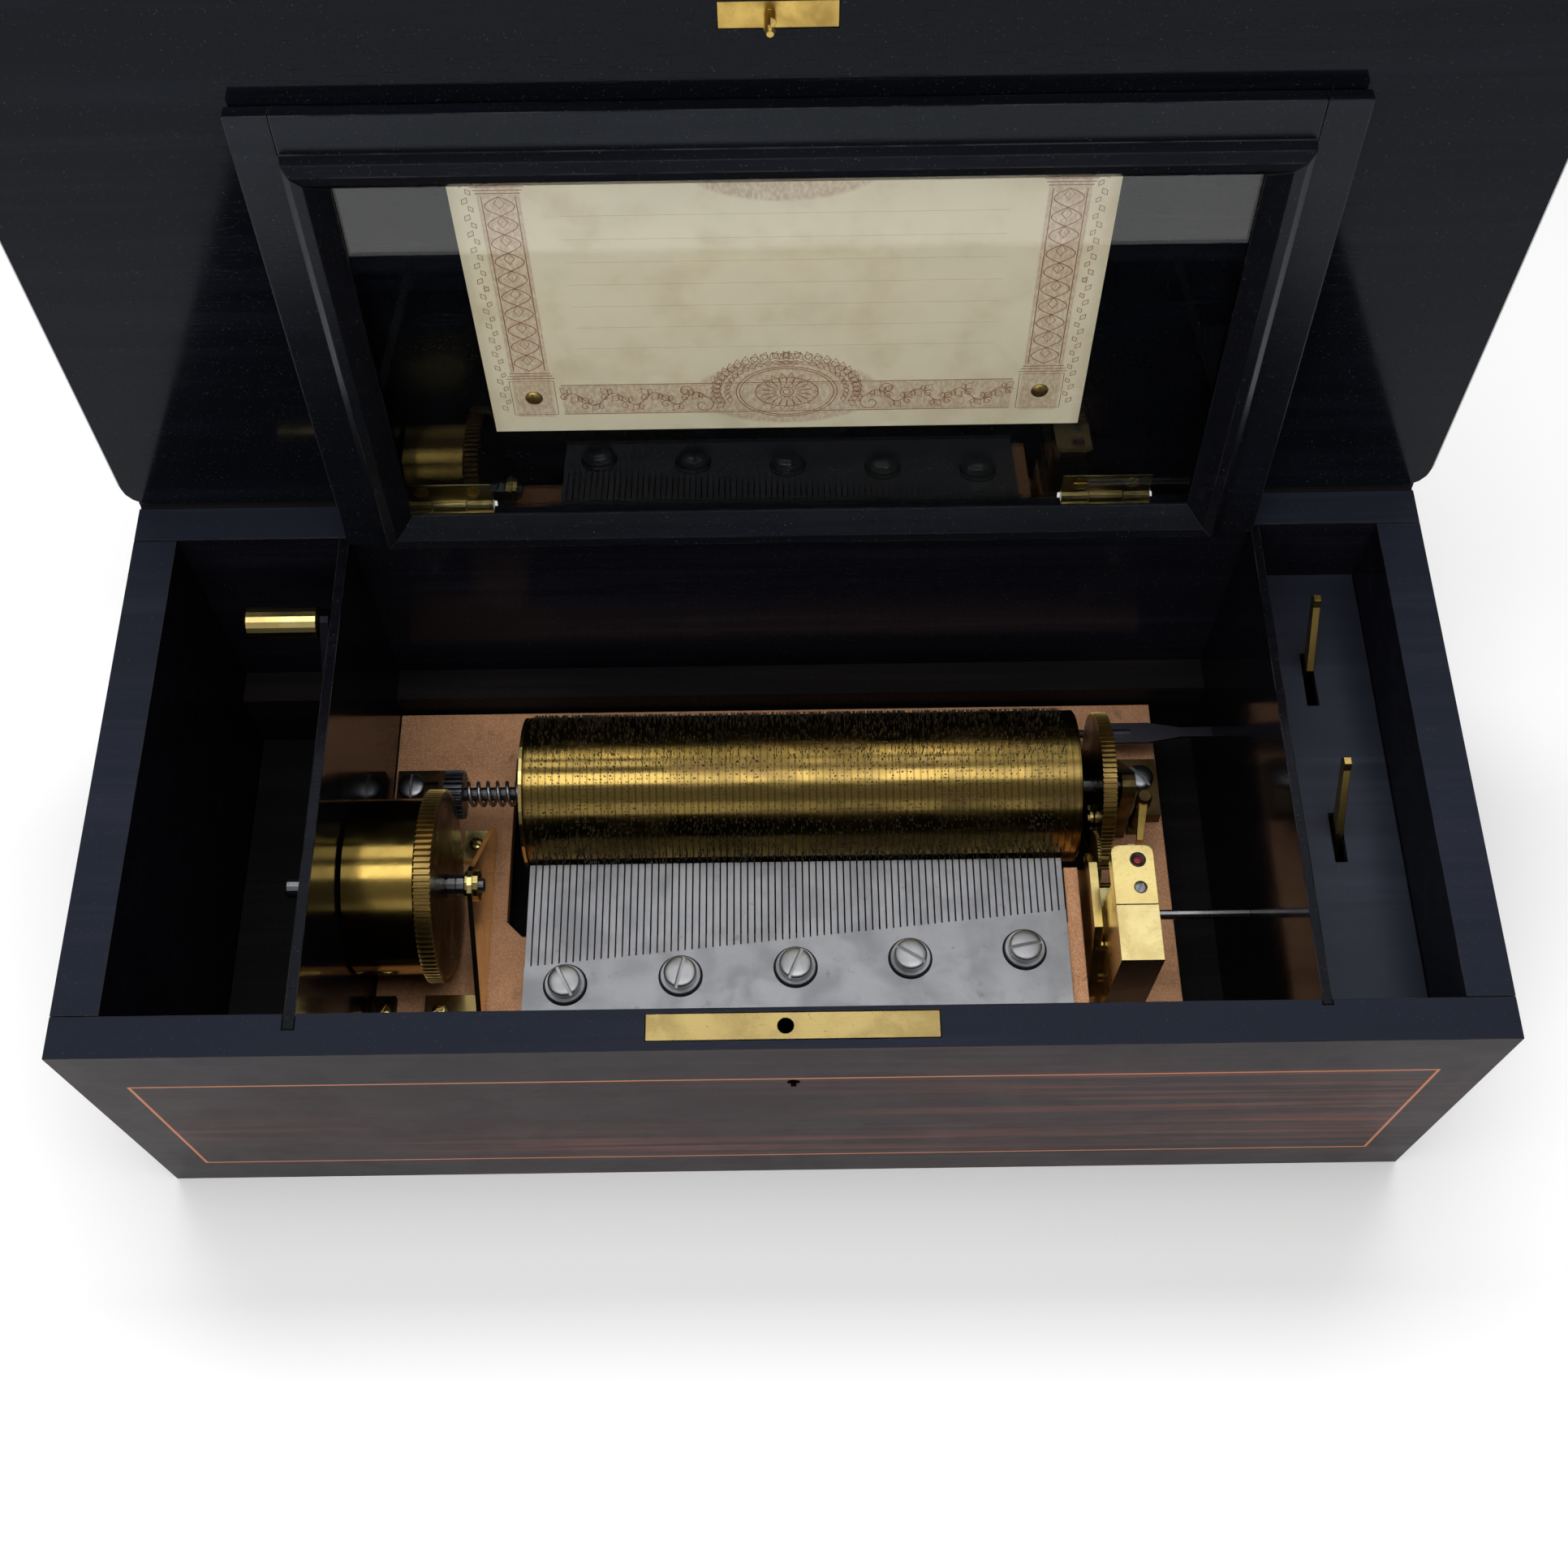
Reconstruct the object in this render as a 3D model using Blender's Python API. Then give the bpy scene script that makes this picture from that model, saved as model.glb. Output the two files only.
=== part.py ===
"""Lever-wound cylinder music box in a veneered case, with its glass inner lid and its main lid open.

Metres, +X right, +Y back, +Z up. The origin is the middle of the case's underside.
Both lids are modelled closed and stand open through the rotation of their parent empties.
"""

import math

import bmesh
import bpy
from mathutils import Matrix, Vector

# Clearances
FIT_GAP = 0.0003
RUNNING_GAP = 0.0005
BORE_CLEARANCE = 0.0003
JOIN_INSET = 0.0002
CUT_PAST = 0.01

# Case
CASE_LENGTH = 0.450
CASE_DEPTH = 0.203
CASE_HEIGHT = 0.137
END_WALL = 0.015
LONG_WALL = 0.0135
BOTTOM_THICKNESS = 0.014
LEFT_PARTITION_FACE_X = -0.1495
LEFT_PARTITION_THICKNESS = 0.0035
LEFT_HOUSING_DEPTH = 0.0050
RIGHT_PARTITION_FACE_X = 0.1658
RIGHT_PARTITION_THICKNESS = 0.0030
RIGHT_HOUSING_DEPTH = 0.0016
BED_RAIL_WIDTH = 0.013
BED_RAIL_TOP = 0.046
CONTROL_FLOOR_TOP = 0.105
CONTROL_FLOOR_THICKNESS = 0.003

# Lock in the front wall
LOCK_CENTRE_X = 0.0033
LINK_X = 0.0011
LOCK_PLATE_LENGTH = 0.090
LOCK_PLATE_WIDTH = 0.0085
LOCK_PLATE_THICKNESS = 0.0015
LOCK_PLATE_INSET = 0.0018
LOCK_CASE_LENGTH = 0.056
LOCK_CASE_DEPTH = 0.036
LOCK_CASE_THICKNESS = 0.006
BOLT_LENGTH = 0.014
BOLT_HEIGHT = 0.003
BOLT_THICKNESS = 0.0025
BOLT_TRAVEL = 0.0025
BOLT_DEPTH = 0.0015
LINK_HOLE_RADIUS = 0.0026
KEYHOLE_HEIGHT = 0.1047
KEYHOLE_RADIUS = 0.0022
KEYHOLE_SLOT_WIDTH = 0.0018
KEYHOLE_SLOT_DROP = 0.0050

# Main lid
LID_OVERHANG = 0.005
LID_THICKNESS = 0.0245
LID_CORNER_RADIUS = 0.009
LID_LEAST_CORNER = 0.003
LID_REAR_ROUNDING = 0.004
LID_OPEN_DEG = 94.0
LID_HINGE_SETBACK = 0.0004
LID_HINGE_LENGTH = 0.031
LID_HINGE_CENTRES_X = (-0.115, 0.116)
LID_KNUCKLE_RADIUS = 0.0023
LID_PIN_RADIUS = 0.0011
LID_LEAF_DEPTH = 0.0105
LEAF_SINK = 0.0001
KNUCKLE_SHARE = 0.3
LID_LEAF_THICKNESS = 0.0012
LID_SCREW_SPREAD = 0.018
LID_SCREW_HEAD_RADIUS = 0.0026
LID_SCREW_SHANK_RADIUS = 0.0012
LID_SCREW_LENGTH = 0.010
LINK_PLATE_LENGTH = 0.032
LINK_PLATE_WIDTH = 0.008
LINK_PIN_RADIUS = 0.0017
LINK_PIN_LENGTH = 0.0080
LINK_NOTCH_START = 0.0001
CARD_WIDTH = 0.1945
CARD_HEIGHT = 0.128
CARD_THICKNESS = 0.0006
CARD_CENTRE_X = 0.0043
CARD_RISE = 0.0385
CARD_PIN_ALLOWANCE = 0.0004

# Glass lid
GLASS_HINGE_Y = 0.0875
GLASS_HINGE_Z = 0.1350
GLASS_FRAME_ABOVE_HINGE = 0.0005
GLASS_FRAME_BELOW_HINGE = 0.0040
GLASS_BAND_WIDTH = 0.0125
GLASS_MOULDING_WIDTH = 0.012
GLASS_MOULDING_DROP = 0.0060
GLASS_REAR_EDGE_GAP = 0.0030
GLASS_REAR_BAND_WIDTH = 0.0010
GLASS_FRONT_GAP = 0.0010
GLASS_THICKNESS = 0.0020
GLASS_TOP_INSET = 0.0003
GLASS_REBATE = 0.0035
GLASS_HINGE_LENGTH = 0.020
GLASS_HINGE_CENTRES_X = (-0.098, 0.112)
GLASS_KNUCKLE_RADIUS = 0.0016
GLASS_PIN_RADIUS = 0.0007
GLASS_LEAF_THICKNESS = 0.0008
GLASS_LEAF_DROP = 0.0090
GLASS_LEAF_REACH = 0.0100
LID_REST_GAP = 0.0004

# The lid's edge: height above its underside, distance drawn in
LID_EDGE_PROFILE = (
    (0.0, 0.0015),
    (0.0020, 0.0),
    (0.0135, 0.0),
    (0.0185, 0.0016),
    (0.0222, 0.0052),
    (LID_THICKNESS, 0.0150),
)

# The glass frame's moulding: share of its width, share of its drop
MOULDING_PROFILE = (
    (0.00, 0.00),
    (0.07, 0.62),
    (0.27, 1.00),
    (0.52, 0.90),
    (0.78, 0.35),
    (1.00, -0.17),
)

# Bedplate and comb
BED_TOP = 0.036
BED_THICKNESS = 0.006
BED_RIGHT_X = 0.1455
BED_HALF_DEPTH = 0.073
BED_FOOT_SIZE = 0.016
BED_OPENING_LEFT_X = -0.1028
BED_OPENING_RIGHT_X = 0.1235
BED_OPENING_FRONT_Y = -0.022
BED_OPENING_REAR_Y = 0.053
BED_OPENING_CHAMFER = 0.006
BED_BOLT_RADIUS = 0.0025
BED_BOLT_HEAD_RADIUS = 0.0055
BED_BOLT_SINK = 0.0045
BED_CORNER_STEP = 0.024
COMB_LEFT_X = -0.0909
COMB_RIGHT_X = 0.1011
COMB_FRONT_Y = -0.0645
COMB_BOTTOM = 0.0630
COMB_THICKNESS = 0.0030
COMB_TEETH = 78
TOOTH_SHARE = 0.80
COMB_TIP_CLEARANCE = 0.0013
ROOT_LEFT_Y = -0.0458
ROOT_RIGHT_Y = -0.0268
COMB_BASE_RIGHT_X = 0.1070
COMB_BASE_FRONT_Y = -0.0630
COMB_BASE_SETBACK = 0.0035
COMB_BASE_CHEEK_REAR_Y = -0.0090
COMB_BASE_CHEEK_WIDTH = 0.0050
COMB_BASE_LEFT_INSET = 0.0006
COMB_SCREW_LEFT = (-0.0761, -0.0527)
COMB_SCREW_RIGHT = (0.0853, -0.0419)
COMB_SCREW_COUNT = 5
COMB_SCREW_HEAD_RADIUS = 0.0058
COMB_SCREW_HEAD_HEIGHT = 0.0036
COMB_SCREW_SHANK_RADIUS = 0.0022
COMB_SCREW_LENGTH = 0.012
COMB_WASHER_RADIUS = 0.0074
COMB_WASHER_THICKNESS = 0.0012
COMB_SLOT_TURN_DEG = 130.0
COMB_SLOT_STEP_DEG = 47.0
SLOT_WIDTH = 0.0009
SLOT_DEPTH = 0.0011

# Cylinder and its arbor
CYLINDER_Y = 0.0225
CYLINDER_Z = 0.066
CYLINDER_RADIUS = 0.0278
CYLINDER_WALL = 0.0016
CYLINDER_LEFT_X = -0.0927
CYLINDER_RIGHT_X = 0.1072
CYLINDER_CAP_THICKNESS = 0.0030
CYLINDER_ARBOR_RADIUS = 0.0025
PIVOT_SHARE = 0.6
PIVOT_SHOULDER = 0.0010
PINION_SHOULDER = 0.0015
PINION_LEFT_X = -0.1227
PINION_RIGHT_X = -0.1161
DRIVE_WHEEL_X = 0.1146
DRIVE_WHEEL_THICKNESS = 0.0048
SNAIL_ORBIT = 0.0120
SNAIL_ORBIT_DEG = 200.0
SNAIL_STEPS = 6
SNAIL_SMALL_RADIUS = 0.0030
SNAIL_LARGE_RADIUS = 0.0056
SNAIL_THICKNESS = 0.0012
SNAIL_STUD_RADIUS = 0.0010
SNAIL_HEAD_RADIUS = 0.0016
SNAIL_HEAD_RISE = 0.0006
SNAIL_STUD_REACH = 0.0014
SNAIL_STEP_GAP_DEG = 4.0
SPRING_COIL_RADIUS = 0.0042
SPRING_WIRE_RADIUS = 0.0008
SPRING_TURNS = 5.5
SPRING_POINTS_PER_TURN = 10

# Cylinder bridges
LEFT_BRIDGE_FOOT_X = (-0.1470, -0.1290)
LEFT_BRIDGE_FOOT_Y = (0.0300, 0.0450)
LEFT_BRIDGE_POST_X = (-0.1305, -0.1255)
RIGHT_BRIDGE_FOOT_X = (0.1290, 0.1440)
RIGHT_BRIDGE_FOOT_Y = (0.0215, 0.0455)
RIGHT_BRIDGE_POST_X = (0.1250, 0.1300)
BRIDGE_FOOT_HEIGHT = 0.0060
BRIDGE_HEAD_RADIUS = 0.0050
BRIDGE_POST_FRONT_Y = 0.0150
BRIDGE_SCREW_HEAD_RADIUS = 0.0052
BRIDGE_SCREW_HEAD_HEIGHT = 0.0030
BRIDGE_SCREW_SHANK_RADIUS = 0.0022
BRIDGE_SCREW_LENGTH = 0.0095
BRIDGE_SLOT_TURN_DEG = 100.0
LEFT_BRIDGE_SCREW = (-0.1412, 0.0375)
RIGHT_BRIDGE_SCREW = (0.1372, 0.0370)

# Spring barrel
BARREL_Y = -0.0185
BARREL_DRUM_RADIUS = 0.0310
BARREL_WALL = 0.0020
BARREL_LEFT_X = -0.1491
BARREL_WHEEL_LEFT_X = -0.1235
BARREL_WHEEL_RIGHT_X = -0.1180
BARREL_ARBOR_RADIUS = 0.0036
BARREL_HUB_RADIUS = 0.0060
BARREL_ARBOR_LEFT_X = -0.1749
BARREL_ARBOR_RIGHT_X = -0.1050
BARREL_BRIDGE_PLATE_X = (-0.1102, -0.1084)
BARREL_BRIDGE_BASE_Y = (-0.0580, 0.0204)
BARREL_BRIDGE_BOSS_X = (-0.1112, -0.1066)
BARREL_BRIDGE_BOSS_RADIUS = 0.0056
BARREL_PLATE_HEAD_RADIUS = 0.0071
BARREL_PLATE_STEP = 0.006
BARREL_FOOT_LENGTH = 0.020
BARREL_FOOT_WIDTH = 0.012
BARREL_FOOT_HEIGHT = 0.0035
BARREL_FOOT_SCREW_X = (-0.1246, -0.1154)
LEFT_FOOT_SCREW_X = -0.1447
BARREL_SCREW_SHANK_RADIUS = 0.0014
BARREL_SCREW_LENGTH = 0.0085
BARREL_PIVOT_SHARE = 0.7
BARREL_BEAD_RISE = 0.0007
BARREL_BEAD_GROOVE = 0.0003
BARREL_EDGE = (0.0008, 0.0006)
LEFT_PLATE_THICKNESS = 0.0014
LEFT_PLATE_SEAT_GAP = 0.0015
LEFT_FOOT_LENGTH = 0.0085

# Gears
MODULE_BARREL = 0.0007
BARREL_WHEEL_TEETH = 96
PINION_TEETH = 24
MODULE_DRIVE = 0.0006
DRIVE_WHEEL_TEETH = 88
FIRST_PINION_TEETH = 11
MODULE_GOVERNOR = 0.0004
FIRST_WHEEL_TEETH = 50
SECOND_PINION_TEETH = 10
MODULE_WORM = 0.0005
WORM_WHEEL_TEETH = 24
MESH_GAP = 0.00012
TOOTH_TIP_SHARE = 0.24
TOOTH_ROOT_SHARE = 0.56
ADDENDUM = 0.85
DEDENDUM = 1.20

# Winding lever
WINDING_RATCHET_TEETH = 14
WINDING_RATCHET_RADIUS = 0.0100
WINDING_RATCHET_ROOT = 0.0082
WINDING_RATCHET_X = (-0.1625, -0.1590)
WINDING_ARM_X = (-0.1580, -0.1550)
WINDING_HUB_RADIUS = 0.0085
WINDING_ARM_WIDTH = 0.0090
WINDING_GRIP_Y = 0.0590
WINDING_GRIP_Z = 0.1280
WINDING_GRIP_LEFT_X = -0.1843
WINDING_GRIP_RADIUS = 0.0056
WINDING_SPIGOT_RADIUS = 0.0022
CLICK_PIVOT_RADIUS = 0.0170
CLICK_PIVOT_DEG = 95.0
CLICK_STUD_RADIUS = 0.0014
CLICK_STUD_REACH = 0.0006
CLICK_EAR_RADIUS = 0.0036
CLICK_HUB_RADIUS = 0.0030
CLICK_NOSE_DEG = 46.0
CLICK_BACK_DEG = 40.0
CLICK_NOSE_RISE = 0.0022
WINDING_TOOTH_RAKE = 0.05
WINDING_HUB_SPREAD_DEG = 28.0
GRIP_SINK = 0.0020
GRIP_CHAMFER = 0.0010

# Governor
GOVERNOR_LEFT_X = 0.1136
GOVERNOR_RIGHT_X = 0.1281
GOVERNOR_FRONT_Y = -0.0580
COCK_FRONT_Y = -0.0374
COCK_REAR_Y = -0.0154
LEDGE_REAR_Y = -0.0276
GOVERNOR_TOP = 0.095
COCK_THICKNESS = 0.006
GOVERNOR_BASE_THICKNESS = 0.004
GOVERNOR_BASE_REAR_Y = -0.0060
CHEEK_LEFT_X = 0.1247
CHEEK_THICKNESS = 0.0026
FIRST_ARBOR_RADIUS = 0.0010
PIVOT_PLATE_X = (0.1093, 0.1123)
PLATE_MARGIN = 0.0016
FIRST_WHEEL_X = (0.1127, 0.1139)
FIRST_PINION_X = (0.1143, 0.1198)
WORM_X = 0.1226
WORM_Y = -0.0209
WORM_RADIUS = 0.0012
WORM_PITCH_OFFSET = 0.0079
WORM_WHEEL_THICKNESS = 0.0016
WORM_JOURNAL_RADIUS = 0.0008
FLY_RADIUS = 0.0056
FLY_BOTTOM = 0.064
FLY_TOP = 0.084
FLY_THICKNESS = 0.0008
ENDSTONE_RADIUS = 0.0028
ENDSTONE_SINK = 0.0006
COCK_SCREW_Y = -0.0312
COCK_SCREW_HEAD_RADIUS = 0.0020
COCK_SCREW_SHANK_RADIUS = 0.0012
COCK_SCREW_SINK = 0.0009
COCK_SCREW_LENGTH = 0.009
COCK_CORNER_RADIUS = 0.0028
CHEEK_REACH = 0.0040
CHEEK_STEP = 0.006
PLATE_FRONT_INSET = 0.006
PLATE_SHOULDER = (-0.0370, 0.0080)
PLATE_FRONT_STEP = 0.008
PLATE_PILLAR_RADIUS = 0.0020
PLATE_PILLARS = ((-0.0440, 0.0440), (-0.0400, 0.0640))
WORM_FOOT_DEPTH = 0.001

# Controls
START_AXIS_Y = -0.0298
START_AXIS_Z = 0.0670
START_ROD_RADIUS = 0.0018
START_ROD_PIVOT_DEPTH = 0.0035
START_LEVER_ELBOW = (-0.0155, 0.105)
START_LEVER_TOP = (-0.0010, 0.128)
START_LEVER_X = 0.1890
CHANGE_AXIS_Y = 0.0538
CHANGE_AXIS_Z = 0.0480
CHANGE_LEVER_X = 0.1880
CHANGE_SHAFT_RADIUS = 0.0020
CHANGE_INNER_SHAFT_RADIUS = 0.0016
CHANGE_LEVER_ELBOW = (0.0480, 0.105)
CHANGE_LEVER_TOP = (0.0630, 0.128)
CONTROL_LEVER_THICKNESS = 0.0024
CONTROL_LEVER_WIDTH = 0.0050
CONTROL_HUB_RADIUS = 0.0045
CONTROL_HUB_LENGTH = 0.0060
START_SLOT_Y = (-0.0275, -0.0090)
CHANGE_SLOT_Y = (0.0330, 0.0545)
CONTROL_SLOT_WIDTH = 0.0042
CHANGE_BLADE_LEFT_X = 0.1275
CHANGE_BLADE_WIDTH = 0.0084
CHANGE_BLADE_TIP_WIDTH = 0.0046
CHANGE_BLADE_THICKNESS = 0.0014
CHANGE_BLADE_STRAIGHT = 0.014
CHANGE_BLADE_NECK = 0.012
CHANGE_BLADE_END = 0.006
CHANGE_ARM_X = (0.1098, 0.1120)
CHANGE_ARM_HUB_RADIUS = 0.0034
CHANGE_ARM_REACH = 0.0090
CHANGE_ARM_RISE = 0.0060
STOP_POST_X = 0.1343
STOP_POST_Y = 0.0194
STOP_ARM_TIP_X = 0.1311
STOP_ARM_TIP_Y = 0.0025
STOP_ARM_BOTTOM = 0.0580
STOP_ARM_HEIGHT = 0.0030
STOP_ARM_WIDTH = 0.0032
STOP_POST_RADIUS = 0.0016
STOP_HUB_RADIUS = 0.0030
STOP_HUB_RISE = 0.0008

# Turned pieces have these many sides
SMALL_SIDES = 10
SCREW_SIDES = 14
PIVOT_SIDES = 8
DRUM_SIDES = 40
CYLINDER_SIDES = 36

HALF_LENGTH = CASE_LENGTH / 2
HALF_DEPTH = CASE_DEPTH / 2
INNER_X = HALF_LENGTH - END_WALL
INNER_Y = HALF_DEPTH - LONG_WALL
FLOOR_Z = BOTTOM_THICKNESS + FIT_GAP
BED_SEAT = BED_TOP + FIT_GAP
LEFT_PARTITION_X = (LEFT_PARTITION_FACE_X - LEFT_PARTITION_THICKNESS, LEFT_PARTITION_FACE_X)
RIGHT_PARTITION_X = (RIGHT_PARTITION_FACE_X, RIGHT_PARTITION_FACE_X + RIGHT_PARTITION_THICKNESS)
LID_BOTTOM = CASE_HEIGHT + FIT_GAP
LID_HINGE_Y = HALF_DEPTH + LID_HINGE_SETBACK
LID_HINGE_Z = CASE_HEIGHT + FIT_GAP / 2

PIVOT_BORE = FIRST_ARBOR_RADIUS * BARREL_PIVOT_SHARE + BORE_CLEARANCE
CYLINDER_AXIS = (CYLINDER_Y, CYLINDER_Z)
PINION_DISTANCE = MODULE_BARREL * (BARREL_WHEEL_TEETH + PINION_TEETH) / 2 + MESH_GAP
BARREL_Z = CYLINDER_Z + math.sqrt(PINION_DISTANCE ** 2 - (CYLINDER_Y - BARREL_Y) ** 2)
BARREL_AXIS = (BARREL_Y, BARREL_Z)
FIRST_DISTANCE = MODULE_DRIVE * (DRIVE_WHEEL_TEETH + FIRST_PINION_TEETH) / 2 + MESH_GAP
FIRST_AXIS = (CYLINDER_Y - FIRST_DISTANCE, CYLINDER_Z)
SECOND_DISTANCE = MODULE_GOVERNOR * (FIRST_WHEEL_TEETH + SECOND_PINION_TEETH) / 2 + MESH_GAP
SECOND_Y = WORM_Y + WORM_PITCH_OFFSET
SECOND_AXIS = (
    SECOND_Y,
    FIRST_AXIS[1] - math.sqrt(SECOND_DISTANCE ** 2 - (FIRST_AXIS[0] - SECOND_Y) ** 2),
)
COMB_TIP_Y = CYLINDER_Y - CYLINDER_RADIUS - COMB_TIP_CLEARANCE
COMB_BASE_TOP = COMB_BOTTOM - FIT_GAP
LEVER_LENGTH = math.hypot(WINDING_GRIP_Y - BARREL_Y, WINDING_GRIP_Z - BARREL_Z)

# The open glass lid leans back until its free edge meets the open main lid.
GLASS_X = (LEFT_PARTITION_FACE_X + FIT_GAP, RIGHT_PARTITION_FACE_X - FIT_GAP)
GLASS_REAR_Y = GLASS_HINGE_Y - GLASS_REAR_EDGE_GAP
GLASS_FRONT_Y = -INNER_Y + GLASS_FRONT_GAP
GLASS_REACH = GLASS_HINGE_Y - GLASS_FRONT_Y
LID_LEAN = math.radians(LID_OPEN_DEG - 90.0)
HINGE_OFFSET = (
    (LID_HINGE_Y - GLASS_HINGE_Y) * math.cos(LID_LEAN)
    - (LID_HINGE_Z - GLASS_HINGE_Z) * math.sin(LID_LEAN)
    - (LID_BOTTOM - LID_HINGE_Z)
)
GLASS_LEAN = LID_LEAN + math.asin(
    (HINGE_OFFSET - GLASS_FRAME_ABOVE_HINGE - CARD_THICKNESS - CARD_PIN_ALLOWANCE - LID_REST_GAP)
    / GLASS_REACH
)
GLASS_OPEN = math.pi / 2 + GLASS_LEAN

# Name: colour, roughness, metallic
FINISHES = {
    "rosewood": ((0.035, 0.016, 0.010), 0.30, 0.0),
    "ebonised": ((0.016, 0.017, 0.022), 0.30, 0.0),
    "dark_lining": ((0.020, 0.018, 0.017), 0.80, 0.0),
    "bed_paint": ((0.36, 0.19, 0.10), 0.55, 0.3),
    "brass": ((0.62, 0.46, 0.20), 0.28, 1.0),
    "old_brass": ((0.34, 0.25, 0.12), 0.42, 1.0),
    "steel": ((0.45, 0.46, 0.48), 0.32, 1.0),
    "blued_steel": ((0.14, 0.15, 0.18), 0.35, 1.0),
    "comb_steel": ((0.50, 0.51, 0.52), 0.38, 1.0),
    "glass": ((0.80, 0.86, 0.85), 0.05, 0.0),
    "card": ((0.70, 0.62, 0.46), 0.85, 0.0),
}


def snail_centre():
    angle = math.radians(SNAIL_ORBIT_DEG)
    return (
        CYLINDER_Y + SNAIL_ORBIT * math.cos(angle),
        CYLINDER_Z + SNAIL_ORBIT * math.sin(angle),
    )


def lever_point(radius, offset_deg=0.0):
    """A point on the winding lever, measured from the barrel's axis along the lever."""
    base = math.atan2(WINDING_GRIP_Z - BARREL_Z, WINDING_GRIP_Y - BARREL_Y)
    angle = base + math.radians(offset_deg)
    return (BARREL_Y + radius * math.cos(angle), BARREL_Z + radius * math.sin(angle))


def click_pivot():
    return lever_point(CLICK_PIVOT_RADIUS, CLICK_PIVOT_DEG)


# Body: joint position, and the rotation about X that opens it
BODIES = {
    "case": (Vector((0.0, 0.0, 0.0)), 0.0),
    "lid": (Vector((0.0, LID_HINGE_Y, LID_HINGE_Z)), -math.radians(LID_OPEN_DEG)),
    "glass_lid": (Vector((0.0, GLASS_HINGE_Y, GLASS_HINGE_Z)), -GLASS_OPEN),
    "winding_lever": (Vector((WINDING_ARM_X[0], *BARREL_AXIS)), 0.0),
    "winding_arbor": (Vector((BARREL_ARBOR_LEFT_X, *BARREL_AXIS)), 0.0),
    "barrel": (Vector((BARREL_LEFT_X, *BARREL_AXIS)), 0.0),
    "cylinder_arbor": (Vector((PINION_LEFT_X, *CYLINDER_AXIS)), 0.0),
    "cylinder": (Vector((CYLINDER_LEFT_X, *CYLINDER_AXIS)), 0.0),
    "first_arbor": (Vector((FIRST_PINION_X[0], *FIRST_AXIS)), 0.0),
    "second_arbor": (Vector((WORM_X, *SECOND_AXIS)), 0.0),
    "fly": (Vector((WORM_X, WORM_Y, BED_TOP)), 0.0),
    "start_control": (Vector((START_LEVER_X, START_AXIS_Y, START_AXIS_Z)), 0.0),
    "change_control": (Vector((CHANGE_LEVER_X, CHANGE_AXIS_Y, CHANGE_AXIS_Z)), 0.0),
    "stop_arm": (Vector((STOP_POST_X, STOP_POST_Y, STOP_ARM_BOTTOM)), 0.0),
    "lock_bolt": (Vector((LOCK_CENTRE_X, -INNER_Y, CASE_HEIGHT)), 0.0),
    "snail": (Vector((DRIVE_WHEEL_X, *snail_centre())), 0.0),
    "click": (Vector((WINDING_RATCHET_X[0], *click_pivot())), 0.0),
}

CARRIED_BY = {"cylinder": "cylinder_arbor", "snail": "cylinder_arbor", "click": "winding_lever"}

materials = {}
frames = {}


def clear_scene():
    for item in list(bpy.data.objects):
        bpy.data.objects.remove(item, do_unlink=True)


def make_materials():
    for name, (colour, roughness, metallic) in FINISHES.items():
        material = bpy.data.materials.new(name)
        material.use_nodes = True
        shader = material.node_tree.nodes["Principled BSDF"]
        shader.inputs["Base Color"].default_value = (*colour, 1.0)
        shader.inputs["Roughness"].default_value = roughness
        shader.inputs["Metallic"].default_value = metallic
        material.diffuse_color = (*colour, 1.0)
        materials[name] = material


def add_body(name, place, turn=0.0, parent=None):
    frame = bpy.data.objects.new(f"{name}_axis", None)
    bpy.context.scene.collection.objects.link(frame)
    frame.location = place
    frame.rotation_euler = (turn, 0.0, 0.0)
    frame.empty_display_size = 0.01
    if parent:
        frame.parent = frames[parent][0]
        frame.location = place - frames[parent][1]
    frames[name] = (frame, place)


def make_bodies():
    for name, (place, turn) in BODIES.items():
        add_body(name, place, turn, CARRIED_BY.get(name))


def finish(mesh_data, name, finish_name, body="case", smooth=False):
    """Turns a bmesh in the closed model's coordinates into an object on its body's axis."""
    frame, place = frames[body]
    bmesh.ops.translate(mesh_data, verts=mesh_data.verts, vec=-place)
    bmesh.ops.recalc_face_normals(mesh_data, faces=mesh_data.faces)
    mesh = bpy.data.meshes.new(name)
    mesh_data.to_mesh(mesh)
    mesh_data.free()
    if smooth:
        mesh.shade_smooth()
        mesh.set_sharp_from_angle(angle=math.radians(35))
    item = bpy.data.objects.new(name, mesh)
    bpy.context.scene.collection.objects.link(item)
    item.parent = frame
    mesh.materials.append(materials[finish_name])
    return item


def combine(item, cutters, name, body="case", operation="DIFFERENCE"):
    """Cuts a set of closed shapes out of a piece, or joins them to it, with one live modifier."""
    tool = finish(cutters, f"{name}_tool", "steel", body)
    tool.hide_render = True
    tool.display_type = "WIRE"
    modifier = item.modifiers.new(name, "BOOLEAN")
    modifier.operation = operation
    modifier.solver = "EXACT"
    modifier.use_self = False
    modifier.object = tool
    return item


def add_box(mesh_data, low, high):
    size = Vector(high) - Vector(low)
    centre = (Vector(high) + Vector(low)) / 2
    matrix = Matrix.Translation(centre) @ Matrix.Diagonal((*size, 1.0))
    bmesh.ops.create_cube(mesh_data, size=1.0, matrix=matrix)


def boxes(*corners):
    mesh_data = bmesh.new()
    for low, high in corners:
        add_box(mesh_data, low, high)
    return mesh_data


def to_space(axis, along, first, second):
    """A point of a section: for X the section holds (y, z), for Y (x, z), for Z (x, y)."""
    if axis == "X":
        return Vector((along, first, second))
    if axis == "Y":
        return Vector((first, along, second))
    return Vector((first, second, along))


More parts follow.
